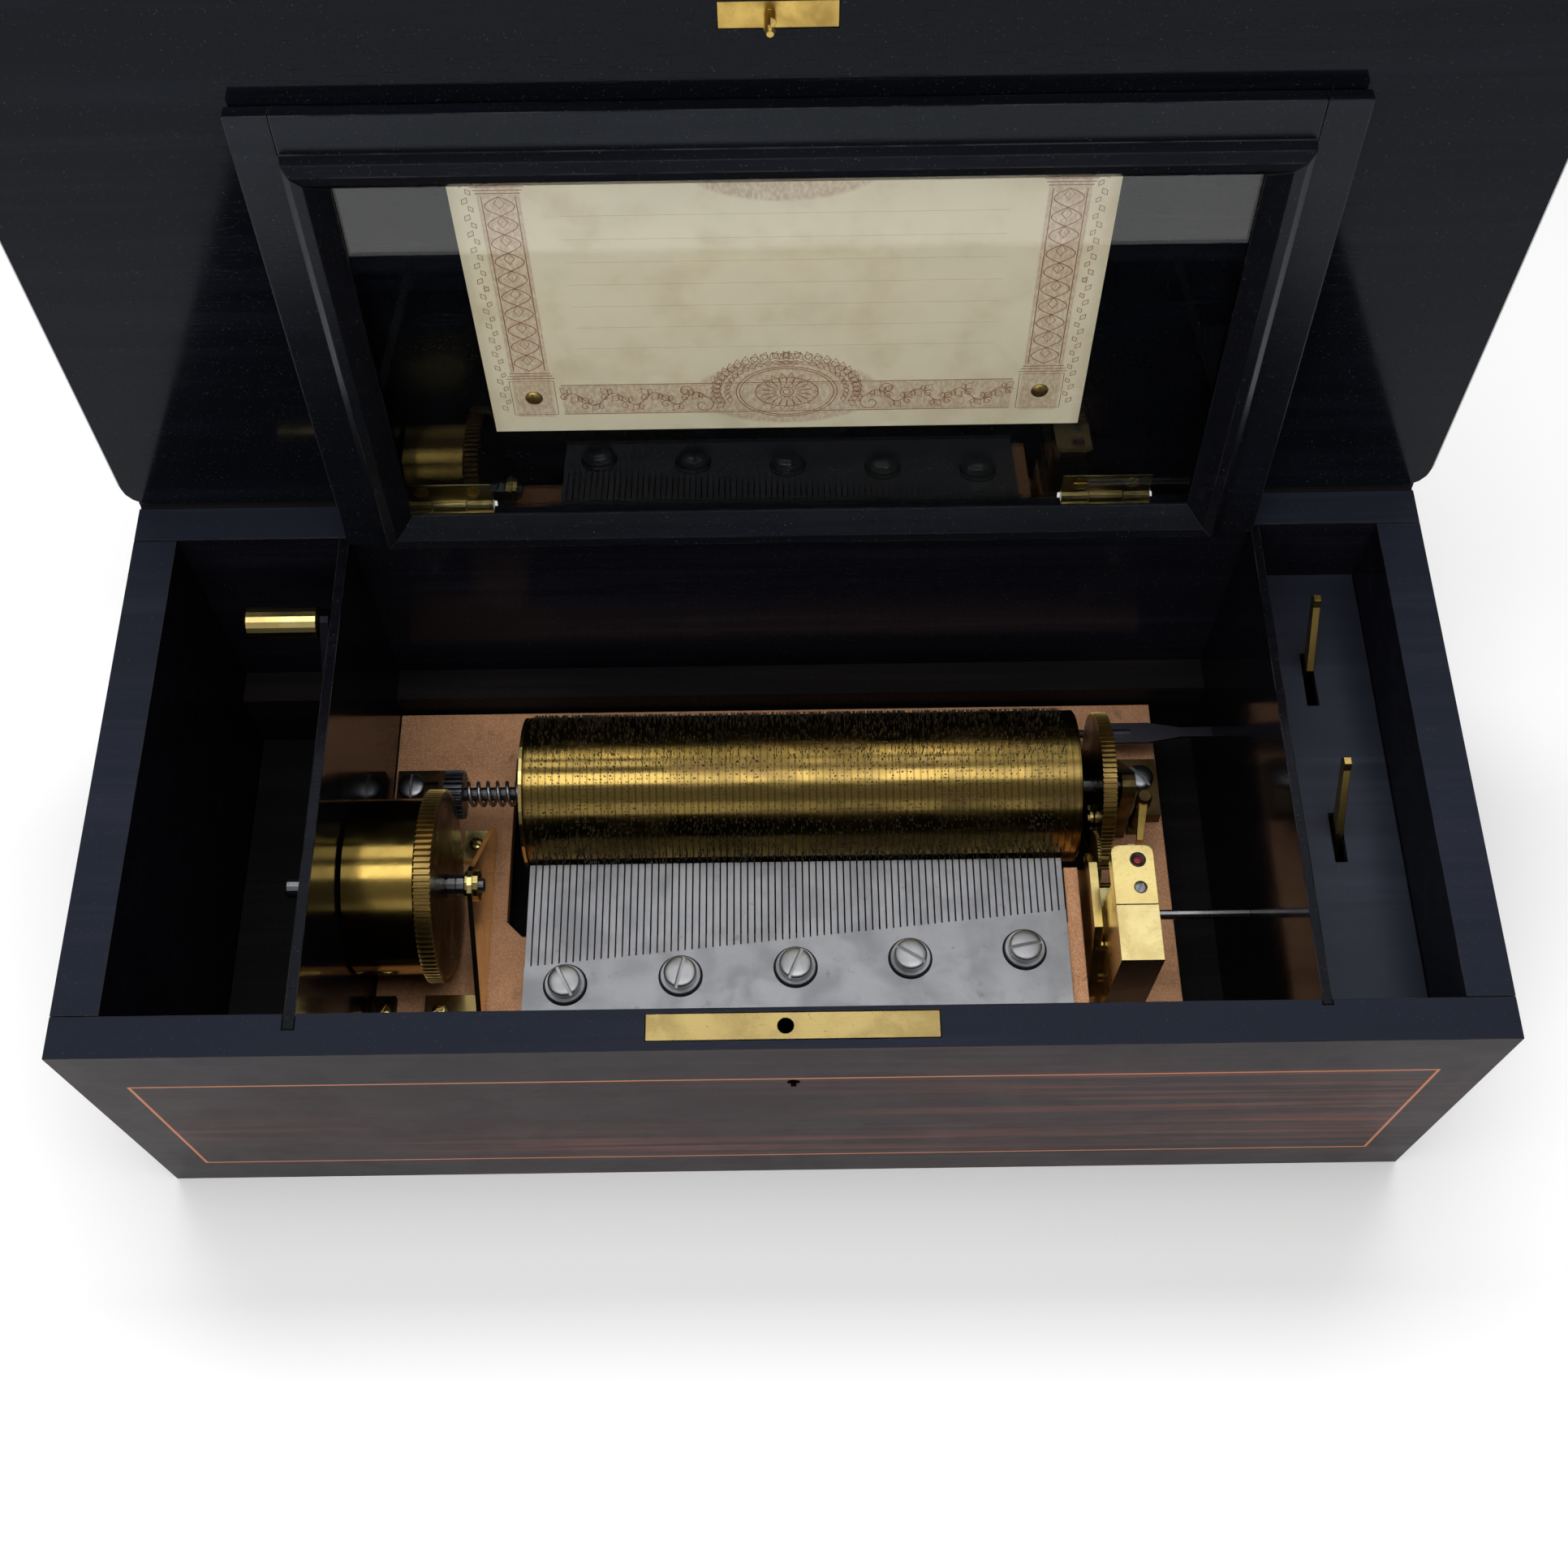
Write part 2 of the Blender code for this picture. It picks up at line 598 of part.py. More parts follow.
def add_rings(mesh_data, rings, closed=False):
    """Skins a list of equal rings of points, with flat caps or joined end to end."""
    made = [[mesh_data.verts.new(point) for point in ring] for ring in rings]
    count = len(made[0])
    pairs = list(zip(made, made[1:]))
    if closed:
        pairs.append((made[-1], made[0]))
    for lower, upper in pairs:
        for index in range(count):
            after = (index + 1) % count
            mesh_data.faces.new((lower[index], lower[after], upper[after], upper[index]))
    if not closed:
        mesh_data.faces.new(made[0])
        mesh_data.faces.new(made[-1])


def add_prism(mesh_data, axis, outline, start, end):
    add_rings(mesh_data, [[to_space(axis, along, *point) for point in outline] for along in (start, end)])


def prism(axis, outline, start, end):
    mesh_data = bmesh.new()
    add_prism(mesh_data, axis, outline, start, end)
    return mesh_data


def circle(centre, radius, sides, turn=0.0):
    return [
        (
            centre[0] + radius * math.cos(turn + 2 * math.pi * index / sides),
            centre[1] + radius * math.sin(turn + 2 * math.pi * index / sides),
        )
        for index in range(sides)
    ]


def arc(centre, radius, start_deg, end_deg, steps):
    return [
        (
            centre[0] + radius * math.cos(math.radians(start_deg + (end_deg - start_deg) * index / steps)),
            centre[1] + radius * math.sin(math.radians(start_deg + (end_deg - start_deg) * index / steps)),
        )
        for index in range(steps + 1)
    ]


def add_turned(mesh_data, axis, centre, profile, sides, turn=0.0):
    """A turned solid: profile holds (distance along the axis, radius) from one end to the other."""
    rings = [
        [to_space(axis, along, *point) for point in circle(centre, radius, sides, turn)]
        for along, radius in profile
    ]
    add_rings(mesh_data, rings)


def add_sleeve(mesh_data, axis, centre, profile, sides):
    """A turned solid with a bore: profile is the closed outline of its half section."""
    rings = [
        [to_space(axis, along, *point) for point in circle(centre, radius, sides)]
        for along, radius in profile
    ]
    add_rings(mesh_data, rings, closed=True)


def turned(axis, centre, profile, sides):
    mesh_data = bmesh.new()
    add_turned(mesh_data, axis, centre, profile, sides)
    return mesh_data


def add_bore(mesh_data, axis, centre, radius, span, sides=SMALL_SIDES):
    """A straight round cutter that reaches past both ends of its span."""
    start, end = span
    add_turned(mesh_data, axis, centre, ((start - CUT_PAST, radius), (end + CUT_PAST, radius)), sides)


def bore_cut(axis, centre, radius, span, sides=SMALL_SIDES):
    mesh_data = bmesh.new()
    add_bore(mesh_data, axis, centre, radius, span, sides)
    return mesh_data


def gear_outline(centre, teeth, module, toward=None, gap_first=False):
    """Tooth profile of a wheel whose first tooth, or first gap, points toward its mate."""
    pitch_radius = module * teeth / 2
    start = 0.0
    if toward:
        start = math.atan2(toward[1] - centre[1], toward[0] - centre[0])
    if gap_first:
        start += math.pi / teeth
    step = 2 * math.pi / teeth
    stations = (
        (pitch_radius - DEDENDUM * module, -TOOTH_ROOT_SHARE),
        (pitch_radius + ADDENDUM * module, -TOOTH_TIP_SHARE),
        (pitch_radius + ADDENDUM * module, TOOTH_TIP_SHARE),
        (pitch_radius - DEDENDUM * module, TOOTH_ROOT_SHARE),
    )
    points = []
    for tooth in range(teeth):
        for radius, share in stations:
            angle = start + step * (tooth + share / 2)
            points.append((centre[0] + radius * math.cos(angle), centre[1] + radius * math.sin(angle)))
    return points


def add_screw(mesh_data, place, head_radius, head_height, shank_radius, length, washer=None):
    """A domed screw standing in +Z, its head resting at place, on a washer where one is given."""
    x, y, z = place
    profile = [(z - length, shank_radius)]
    if washer:
        radius, thickness = washer
        profile += [(z - thickness, shank_radius), (z - thickness, radius), (z, radius)]
    else:
        profile += [(z, shank_radius)]
    profile += [
        (z, head_radius),
        (z + head_height * 0.5, head_radius * 0.96),
        (z + head_height * 0.85, head_radius * 0.70),
        (z + head_height, head_radius * 0.30),
    ]
    add_turned(mesh_data, "Z", (x, y), profile, SCREW_SIDES)


def slot_cut(place, head_radius, head_height, turn_deg):
    """A box that cuts the driver slot in a screw's head."""
    size = Vector((head_radius * 2.4, SLOT_WIDTH, SLOT_DEPTH * 2))
    centre = Vector(place) + Vector((0.0, 0.0, head_height))
    matrix = (
        Matrix.Translation(centre)
        @ Matrix.Rotation(math.radians(turn_deg), 4, "Z")
        @ Matrix.Diagonal((*size, 1.0))
    )
    mesh_data = bmesh.new()
    bmesh.ops.create_cube(mesh_data, size=1.0, matrix=matrix)
    return mesh_data


def rounded_rectangle(low, high, radius, steps=4):
    corners = (
        ((high[0] - radius, high[1] - radius), 0),
        ((low[0] + radius, high[1] - radius), 90),
        ((low[0] + radius, low[1] + radius), 180),
        ((high[0] - radius, low[1] + radius), 270),
    )
    points = []
    for centre, start in corners:
        points.extend(arc(centre, radius, start, start + 90, steps))
    return points


def make_case_walls():
    front = boxes(
        ((-HALF_LENGTH, -HALF_DEPTH, 0.0), (HALF_LENGTH, -INNER_Y, CASE_HEIGHT)),
    )
    item = finish(front, "case_front", "rosewood")
    housings = boxes(
        (
            (LEFT_PARTITION_X[0] - FIT_GAP, -INNER_Y - LEFT_HOUSING_DEPTH - FIT_GAP, BOTTOM_THICKNESS),
            (LEFT_PARTITION_X[1] + FIT_GAP, -INNER_Y + LONG_WALL, CASE_HEIGHT + LONG_WALL),
        ),
        (
            (RIGHT_PARTITION_X[0] - FIT_GAP, -INNER_Y - RIGHT_HOUSING_DEPTH - FIT_GAP, BOTTOM_THICKNESS),
            (RIGHT_PARTITION_X[1] + FIT_GAP, -INNER_Y + LONG_WALL, CASE_HEIGHT + LONG_WALL),
        ),
    )
    combine(item, housings, "partition_housings")
    combine(item, boxes(grown(lock_plate_box(), FIT_GAP, LONG_WALL)), "lock_recess")
    combine(item, boxes(grown(lock_case_box(), FIT_GAP)), "lock_mortice")
    combine(item, keyhole(), "keyhole")

    back = boxes(((-HALF_LENGTH, INNER_Y, 0.0), (HALF_LENGTH, HALF_DEPTH, CASE_HEIGHT)))
    item = finish(back, "case_back", "rosewood")
    recesses = bmesh.new()
    for centre in LID_HINGE_CENTRES_X:
        half = LID_HINGE_LENGTH / 2 + FIT_GAP
        top = CASE_HEIGHT + LONG_WALL
        leaf_floor = CASE_HEIGHT - LID_LEAF_THICKNESS - FIT_GAP
        add_box(
            recesses,
            (centre - half, LID_HINGE_Y - LID_LEAF_DEPTH - FIT_GAP, leaf_floor),
            (centre + half, HALF_DEPTH + LONG_WALL, top),
        )
    combine(item, recesses, "leaf_recesses")
    knuckle_recesses = bmesh.new()
    for centre in LID_HINGE_CENTRES_X:
        half = LID_HINGE_LENGTH / 2 + FIT_GAP
        add_box(
            knuckle_recesses,
            (
                centre - half,
                LID_HINGE_Y - LID_KNUCKLE_RADIUS - FIT_GAP,
                LID_HINGE_Z - LID_KNUCKLE_RADIUS - FIT_GAP,
            ),
            (centre + half, HALF_DEPTH + LONG_WALL, CASE_HEIGHT + LONG_WALL),
        )
    combine(item, knuckle_recesses, "knuckle_recesses")
    glass_recesses = bmesh.new()
    for centre in GLASS_HINGE_CENTRES_X:
        half = GLASS_HINGE_LENGTH / 2 + FIT_GAP
        add_box(
            glass_recesses,
            (centre - half, INNER_Y - LONG_WALL, GLASS_HINGE_Z - GLASS_KNUCKLE_RADIUS - FIT_GAP),
            (
                centre + half,
                GLASS_HINGE_Y + GLASS_KNUCKLE_RADIUS + FIT_GAP,
                CASE_HEIGHT + LONG_WALL,
            ),
        )
    combine(item, glass_recesses, "glass_leaf_recesses")

    for name, sign in (("case_left_end", -1), ("case_right_end", 1)):
        inner, outer = sorted((sign * INNER_X, sign * HALF_LENGTH))
        wall = boxes(((inner, -INNER_Y + FIT_GAP, 0.0), (outer, INNER_Y - FIT_GAP, CASE_HEIGHT)))
        finish(wall, name, "rosewood")


def make_case_inside():
    bottom = boxes(
        (
            (-INNER_X + FIT_GAP, -INNER_Y + FIT_GAP, 0.0),
            (INNER_X - FIT_GAP, INNER_Y - FIT_GAP, BOTTOM_THICKNESS),
        ),
    )
    item = finish(bottom, "case_bottom", "dark_lining")
    holes = bmesh.new()
    for x, y in bed_bolt_places():
        add_turned(
            holes,
            "Z",
            (x, y),
            (
                (-BOTTOM_THICKNESS, BED_BOLT_HEAD_RADIUS + BORE_CLEARANCE),
                (BED_BOLT_SINK, BED_BOLT_HEAD_RADIUS + BORE_CLEARANCE),
                (BED_BOLT_SINK, BED_BOLT_RADIUS + BORE_CLEARANCE),
                (2 * BOTTOM_THICKNESS, BED_BOLT_RADIUS + BORE_CLEARANCE),
            ),
            SMALL_SIDES,
        )
    combine(item, holes, "bolt_holes")

    for name, (low_x, high_x), depth, bores in (
        ("left_partition", LEFT_PARTITION_X, LEFT_HOUSING_DEPTH,
         ((BARREL_AXIS, BARREL_ARBOR_RADIUS),)),
        ("right_partition", RIGHT_PARTITION_X, RIGHT_HOUSING_DEPTH,
         (((START_AXIS_Y, START_AXIS_Z), START_ROD_RADIUS),
          ((CHANGE_AXIS_Y, CHANGE_AXIS_Z), CHANGE_BLADE_TIP_WIDTH / 2))),
    ):
        rail_front = -INNER_Y + FIT_GAP + BED_RAIL_WIDTH + FIT_GAP
        rail_top = BED_RAIL_TOP + FIT_GAP
        outline = (
            (-INNER_Y - depth, CASE_HEIGHT),
            (-INNER_Y - depth, rail_top),
            (rail_front, rail_top),
            (rail_front, FLOOR_Z),
            (-rail_front, FLOOR_Z),
            (-rail_front, rail_top),
            (INNER_Y - FIT_GAP, rail_top),
            (INNER_Y - FIT_GAP, CASE_HEIGHT),
        )
        item = finish(prism("X", outline, low_x, high_x), name, "ebonised")
        cutters = bmesh.new()
        for centre, radius in bores:
            add_bore(cutters, "X", centre, radius + RUNNING_GAP, (low_x, high_x), SCREW_SIDES)
        combine(item, cutters, f"{name}_bores")
    low_x = LEFT_PARTITION_FACE_X - LEFT_PLATE_SEAT_GAP - FIT_GAP
    pocket = prism("X", bridge_plate_outline(FIT_GAP), low_x, LEFT_PARTITION_FACE_X + LONG_WALL)
    combine(bpy.data.objects["left_partition"], pocket, "bridge_pocket")

    floor = boxes(
        (
            (RIGHT_PARTITION_X[1] + FIT_GAP, -INNER_Y + FIT_GAP, CONTROL_FLOOR_TOP - CONTROL_FLOOR_THICKNESS),
            (INNER_X - FIT_GAP, INNER_Y - FIT_GAP, CONTROL_FLOOR_TOP),
        ),
    )
    item = finish(floor, "control_floor", "ebonised")
    slots = bmesh.new()
    for centre_x, (low_y, high_y) in ((START_LEVER_X, START_SLOT_Y), (CHANGE_LEVER_X, CHANGE_SLOT_Y)):
        half = CONTROL_SLOT_WIDTH / 2
        low_z = CONTROL_FLOOR_TOP - CUT_PAST
        add_box(slots, (centre_x - half, low_y, low_z), (centre_x + half, high_y, low_z + 2 * CUT_PAST))
    combine(item, slots, "lever_slots")

    make_bed_rails()


def make_bed_rails():
    """Rails along the long walls; past the right partition they rise to carry the raised floor."""
    rail_x = INNER_X - FIT_GAP
    rail_y = INNER_Y - FIT_GAP
    riser_top = CONTROL_FLOOR_TOP - CONTROL_FLOOR_THICKNESS - FIT_GAP
    riser_x = RIGHT_PARTITION_X[1] + FIT_GAP
    outline = (
        (-rail_x, FLOOR_Z),
        (rail_x, FLOOR_Z),
        (rail_x, riser_top),
        (riser_x, riser_top),
        (riser_x, BED_RAIL_TOP),
        (-rail_x, BED_RAIL_TOP),
    )
    for name, sign in (("front_bed_rail", -1), ("rear_bed_rail", 1)):
        low_y, high_y = sorted((sign * rail_y, sign * (rail_y - BED_RAIL_WIDTH)))
        finish(prism("Y", outline, low_y, high_y), name, "dark_lining")


def lock_plate_box():
    low_y = -INNER_Y - LOCK_PLATE_INSET - LOCK_PLATE_WIDTH
    return (
        (LOCK_CENTRE_X - LOCK_PLATE_LENGTH / 2, low_y, CASE_HEIGHT - LOCK_PLATE_THICKNESS),
        (LOCK_CENTRE_X + LOCK_PLATE_LENGTH / 2, low_y + LOCK_PLATE_WIDTH, CASE_HEIGHT),
    )


def lock_case_box():
    middle = -INNER_Y - LOCK_PLATE_INSET - LOCK_PLATE_WIDTH / 2
    top = CASE_HEIGHT - LOCK_PLATE_THICKNESS - FIT_GAP
    return (
        (LOCK_CENTRE_X - LOCK_CASE_LENGTH / 2, middle - LOCK_CASE_THICKNESS / 2, top - LOCK_CASE_DEPTH),
        (LOCK_CENTRE_X + LOCK_CASE_LENGTH / 2, middle + LOCK_CASE_THICKNESS / 2, top),
    )


def grown(box, amount, rise=0.0):
    low, high = box
    return (
        tuple(value - amount for value in low),
        (high[0] + amount, high[1] + amount, high[2] + amount + rise),
    )


def keyhole():
    """A round hole with a slot below it, right through to the lock's mortice."""
    centre = (LOCK_CENTRE_X, KEYHOLE_HEIGHT)
    half = KEYHOLE_SLOT_WIDTH / 2
    side = math.degrees(math.asin(half / KEYHOLE_RADIUS))
    outline = arc(centre, KEYHOLE_RADIUS, -90 + side, 270 - side, 12)
    outline += [
        (centre[0] - half, centre[1] - KEYHOLE_SLOT_DROP),
        (centre[0] + half, centre[1] - KEYHOLE_SLOT_DROP),
    ]
    return prism("Y", outline, -HALF_DEPTH - LONG_WALL, lock_case_box()[0][1])


def bolt_box():
    low, high = lock_case_box()
    middle_y = (low[1] + high[1]) / 2
    top = high[2] - BOLT_DEPTH
    start = LINK_X + LINK_HOLE_RADIUS + FIT_GAP
    return (
        (start, middle_y - BOLT_THICKNESS / 2, top - BOLT_HEIGHT),
        (start + BOLT_LENGTH, middle_y + BOLT_THICKNESS / 2, top),
    )


def make_lock():
    middle_y = (lock_plate_box()[0][1] + lock_plate_box()[1][1]) / 2
    link_hole = (
        (CASE_HEIGHT - LOCK_CASE_DEPTH / 2, LINK_HOLE_RADIUS),
        (CASE_HEIGHT + LOCK_PLATE_THICKNESS, LINK_HOLE_RADIUS),
    )
    item = finish(boxes(lock_plate_box()), "lock", "old_brass")
    low, high = lock_case_box()
    body = boxes((low, (high[0], high[1], high[2] + FIT_GAP + LOCK_PLATE_THICKNESS / 2)))
    combine(item, body, "lock_case", operation="UNION")
    combine(item, turned("Z", (LINK_X, middle_y), link_hole, SCREW_SIDES), "link_hole")
    low, high = bolt_box()
    channel = boxes(
        (
            (low[0] - BOLT_TRAVEL - FIT_GAP, low[1] - FIT_GAP, low[2] - FIT_GAP),
            (high[0] + FIT_GAP, high[1] + FIT_GAP, high[2] + FIT_GAP),
        ),
    )
    combine(item, channel, "bolt_channel")
    key_way = prism(
        "Y",
        circle((LOCK_CENTRE_X, KEYHOLE_HEIGHT), KEYHOLE_RADIUS, SMALL_SIDES),
        lock_case_box()[0][1] - LOCK_PLATE_THICKNESS,
        lock_case_box()[1][1] - LOCK_PLATE_THICKNESS,
    )
    combine(item, key_way, "key_way")

    finish(boxes(bolt_box()), "lock_bolt", "old_brass", "lock_bolt")


def leaf_outline(axis_place, radius, near, far, reach, along, across):
    """Section of a hinge leaf and its knuckle: the leaf runs back along -along, between two offsets."""
    first = 180 - math.degrees(math.asin(near / radius))
    last = 540 - math.degrees(math.asin(far / radius))
    local = arc((0.0, 0.0), radius, first, last, SCREW_SIDES - 4)
    local += [(-reach, far), (-reach, near)]
    return [
        tuple(axis_place[index] + u * along[index] + v * across[index] for index in (0, 1))
        for u, v in local
    ]


def hinge_spans(centres, length):
    return [(centre - length / 2, centre + length / 2) for centre in centres]


def knuckle_span(span):
    """The middle part of a hinge, which belongs to the moving leaf."""
    third = (span[1] - span[0]) * KNUCKLE_SHARE
    return (span[0] + third, span[1] - third)


def between_knuckles(axis_place, span, radius, pin_radius):
    """Clears the middle of a fixed leaf's knuckle down to the pin, for the moving knuckle."""
    low, high = knuckle_span(span)
    clear = radius + FIT_GAP
    profile = ((low, clear), (high, clear), (high, pin_radius), (low, pin_radius))
    mesh_data = bmesh.new()
    add_sleeve(mesh_data, "X", axis_place, profile, SMALL_SIDES)
    return mesh_data


def beside_knuckle(axis_place, span, radius, pin_radius):
    """Clears a moving leaf's outer knuckles, and bores the middle one for the pin."""
    low, high = knuckle_span(span)
    clear = radius + FIT_GAP
    bore = pin_radius + BORE_CLEARANCE
    profile = (
        (span[0] - FIT_GAP, clear),
        (low + FIT_GAP, clear),
        (low + FIT_GAP, bore),
        (high - FIT_GAP, bore),
        (high - FIT_GAP, clear),
        (span[1] + FIT_GAP, clear),
    )
    return turned("X", axis_place, profile, SMALL_SIDES)


def make_lid_hinges():
    axis_place = (LID_HINGE_Y, LID_HINGE_Z)
    sizes = (LID_KNUCKLE_RADIUS, LID_PIN_RADIUS)
    near = LID_HINGE_Z - CASE_HEIGHT + LEAF_SINK
    far = LID_HINGE_Z - CASE_HEIGHT + LID_LEAF_THICKNESS
    down = leaf_outline(axis_place, sizes[0], near, far, LID_LEAF_DEPTH, (1, 0), (0, -1))
    near = LID_BOTTOM - LID_HINGE_Z + LEAF_SINK
    far = LID_BOTTOM - LID_HINGE_Z + LID_LEAF_THICKNESS
    up = leaf_outline(axis_place, sizes[0], near, far, LID_LEAF_DEPTH, (1, 0), (0, 1))
    spans = hinge_spans(LID_HINGE_CENTRES_X, LID_HINGE_LENGTH)
    for side, length in zip(("left", "right"), spans):
        item = finish(prism("X", down, *length), f"lid_hinge_case_leaf_{side}", "brass")
        combine(item, between_knuckles(axis_place, length, *sizes), f"case_leaf_cut_{side}")
        item = finish(prism("X", up, *length), f"lid_hinge_leaf_{side}", "brass", "lid")
        cut = beside_knuckle(axis_place, length, *sizes)
        combine(item, cut, f"lid_leaf_cut_{side}", "lid")
        screws = [place for place in lid_screw_places() if length[0] < place[0] < length[1]]
        combine(item, lid_screw_bores(screws), f"leaf_screw_holes_{side}", "lid")


def join_glass_hinges(back, rail):
    """Glass lid hinges: knuckles joined to the back wall's edge and to the rear rail."""
    axis_place = (GLASS_HINGE_Y, GLASS_HINGE_Z)
    radius = GLASS_KNUCKLE_RADIUS
    half = GLASS_LEAF_THICKNESS / 2
    wall = leaf_outline(axis_place, radius, radius / 2, radius, GLASS_LEAF_DROP, (0, 1), (1, 0))
    flat = leaf_outline(axis_place, radius, -half, half, GLASS_LEAF_REACH, (1, 0), (0, 1))
    spans = hinge_spans(GLASS_HINGE_CENTRES_X, GLASS_HINGE_LENGTH)
    for side, length in zip(("left", "right"), spans):
        combine(back, prism("X", wall, *length), f"glass_case_leaf_{side}", operation="UNION")
        cut = between_knuckles(axis_place, length, radius, GLASS_PIN_RADIUS)
        combine(back, cut, f"glass_case_cut_{side}")
        combine(rail, prism("X", flat, *length), f"glass_rail_leaf_{side}", "glass_lid", "UNION")
        cut = beside_knuckle(axis_place, length, radius, GLASS_PIN_RADIUS)
        combine(rail, cut, f"glass_rail_cut_{side}", "glass_lid")


def lid_rings():
    """The cushion-topped lid: its outline drawn in as it rounds over to the top face."""
    low = (-HALF_LENGTH - LID_OVERHANG, -HALF_DEPTH - LID_OVERHANG)
    high = (HALF_LENGTH + LID_OVERHANG, HALF_DEPTH)
    rings = []
    for rise, inset in LID_EDGE_PROFILE:
        radius = max(LID_CORNER_RADIUS - inset / 2, LID_LEAST_CORNER)
        outline = rounded_rectangle(
            (low[0] + inset, low[1] + inset),
            (high[0] - inset, high[1] - min(inset, LID_REAR_ROUNDING)),
            radius,
        )
        rings.append([Vector((x, y, LID_BOTTOM + rise)) for x, y in outline])
    return rings


def lid_screw_places():
    return [
        (centre + side * LID_SCREW_SPREAD / 2, LID_HINGE_Y - LID_LEAF_DEPTH / 2 - LID_KNUCKLE_RADIUS / 2)
        for centre in LID_HINGE_CENTRES_X
        for side in (-1, 1)
    ]


def lid_screw_bores(places):
    """Holes up through the hinge leaves into the lid, opened below for the screws' heads."""
    bores = bmesh.new()
    head = LID_SCREW_HEAD_RADIUS + BORE_CLEARANCE
    shank = LID_SCREW_SHANK_RADIUS + BORE_CLEARANCE
    sink = LID_BOTTOM + LID_LEAF_THICKNESS * 2 / 3
    for place in places:
        profile = (
            (LID_BOTTOM - LONG_WALL, head),
            (sink, head),
            (sink, shank),
            (LID_BOTTOM + LID_SCREW_LENGTH, shank),
        )
        add_turned(bores, "Z", place, profile, SMALL_SIDES)
    return bores


def make_lid():
    body = bmesh.new()
    add_rings(body, lid_rings())
    item = finish(body, "lid_panel", "ebonised", "lid")
    recesses = bmesh.new()
    knuckle_recesses = bmesh.new()
    for centre in LID_HINGE_CENTRES_X:
        half = LID_HINGE_LENGTH / 2 + FIT_GAP
        add_box(
            recesses,
            (centre - half, LID_HINGE_Y - LID_LEAF_DEPTH - FIT_GAP, LID_BOTTOM - LONG_WALL),
            (centre + half, HALF_DEPTH + LONG_WALL, LID_BOTTOM + LID_LEAF_THICKNESS + FIT_GAP),
        )
        add_box(
            knuckle_recesses,
            (centre - half, LID_HINGE_Y - LID_KNUCKLE_RADIUS - FIT_GAP, LID_BOTTOM - LONG_WALL),
            (centre + half, HALF_DEPTH + LONG_WALL, LID_HINGE_Z + LID_KNUCKLE_RADIUS + FIT_GAP),
        )
    combine(item, recesses, "lid_leaf_recesses", "lid")
    combine(item, knuckle_recesses, "lid_knuckle_recesses", "lid")

    combine(item, lid_screw_bores(lid_screw_places()), "hinge_screw_holes", "lid")
    card_low = LID_BOTTOM - FIT_GAP / 2 - CARD_THICKNESS
    card = boxes(
        (
            (
                CARD_CENTRE_X - CARD_WIDTH / 2,
                LID_HINGE_Y - CARD_RISE - CARD_HEIGHT,
                card_low,
            ),
            (CARD_CENTRE_X + CARD_WIDTH / 2, LID_HINGE_Y - CARD_RISE, card_low + CARD_THICKNESS),
        ),
    )
    finish(card, "tune_card", "card", "lid")

    middle_y = (lock_plate_box()[0][1] + lock_plate_box()[1][1]) / 2
    half_length = LINK_PLATE_LENGTH / 2
    half_width = LINK_PLATE_WIDTH / 2
    plate = boxes(
        (
            (LOCK_CENTRE_X - half_length, middle_y - half_width, LID_BOTTOM + LEAF_SINK),
            (LOCK_CENTRE_X + half_length, middle_y + half_width, LID_BOTTOM + LID_LEAF_THICKNESS),
        ),
    )
    plate_item = finish(plate, "lid_link_plate", "old_brass", "lid")
    pin = turned(
        "Z",
        (LINK_X, middle_y),
        (
            (LID_BOTTOM - LINK_PIN_LENGTH, LINK_PIN_RADIUS * 0.6),
            (LID_BOTTOM - LINK_PIN_LENGTH * 0.8, LINK_PIN_RADIUS),
            (LID_BOTTOM + LID_LEAF_THICKNESS / 2, LINK_PIN_RADIUS),
        ),
        SMALL_SIDES,
    )
    combine(plate_item, pin, "link_pin", "lid", operation="UNION")
    low, high = bolt_box()
    notch = boxes(
        (
            (LINK_X + LINK_NOTCH_START, low[1] - LINK_PIN_RADIUS, low[2] - FIT_GAP),
            (LINK_X + 2 * LINK_PIN_RADIUS, high[1] + LINK_PIN_RADIUS, high[2] + FIT_GAP),
        ),
    )
    combine(plate_item, notch, "link_notch", "lid")
    recess = boxes(
        (
            (
                LOCK_CENTRE_X - half_length - FIT_GAP,
                middle_y - half_width - FIT_GAP,
                LID_BOTTOM - LONG_WALL,
            ),
            (
                LOCK_CENTRE_X + half_length + FIT_GAP,
                middle_y + half_width + FIT_GAP,
                LID_BOTTOM + LID_LEAF_THICKNESS + FIT_GAP,
            ),
        ),
    )
    combine(item, recess, "link_plate_recess", "lid")


def frame_section(outer, inward, band):
    """Section of the glass frame from its outer edge inward: a flat band, then a raised moulding."""
    top = GLASS_HINGE_Z + GLASS_FRAME_ABOVE_HINGE
    bottom = GLASS_HINGE_Z - GLASS_FRAME_BELOW_HINGE
    points = [(outer, top), (outer, bottom)]
    for share, drop in MOULDING_PROFILE:
        reach = band + share * GLASS_MOULDING_WIDTH
        points.append((outer + inward * reach, bottom - drop * GLASS_MOULDING_DROP))
    points.append((outer + inward * (band + GLASS_MOULDING_WIDTH), top))
    return points


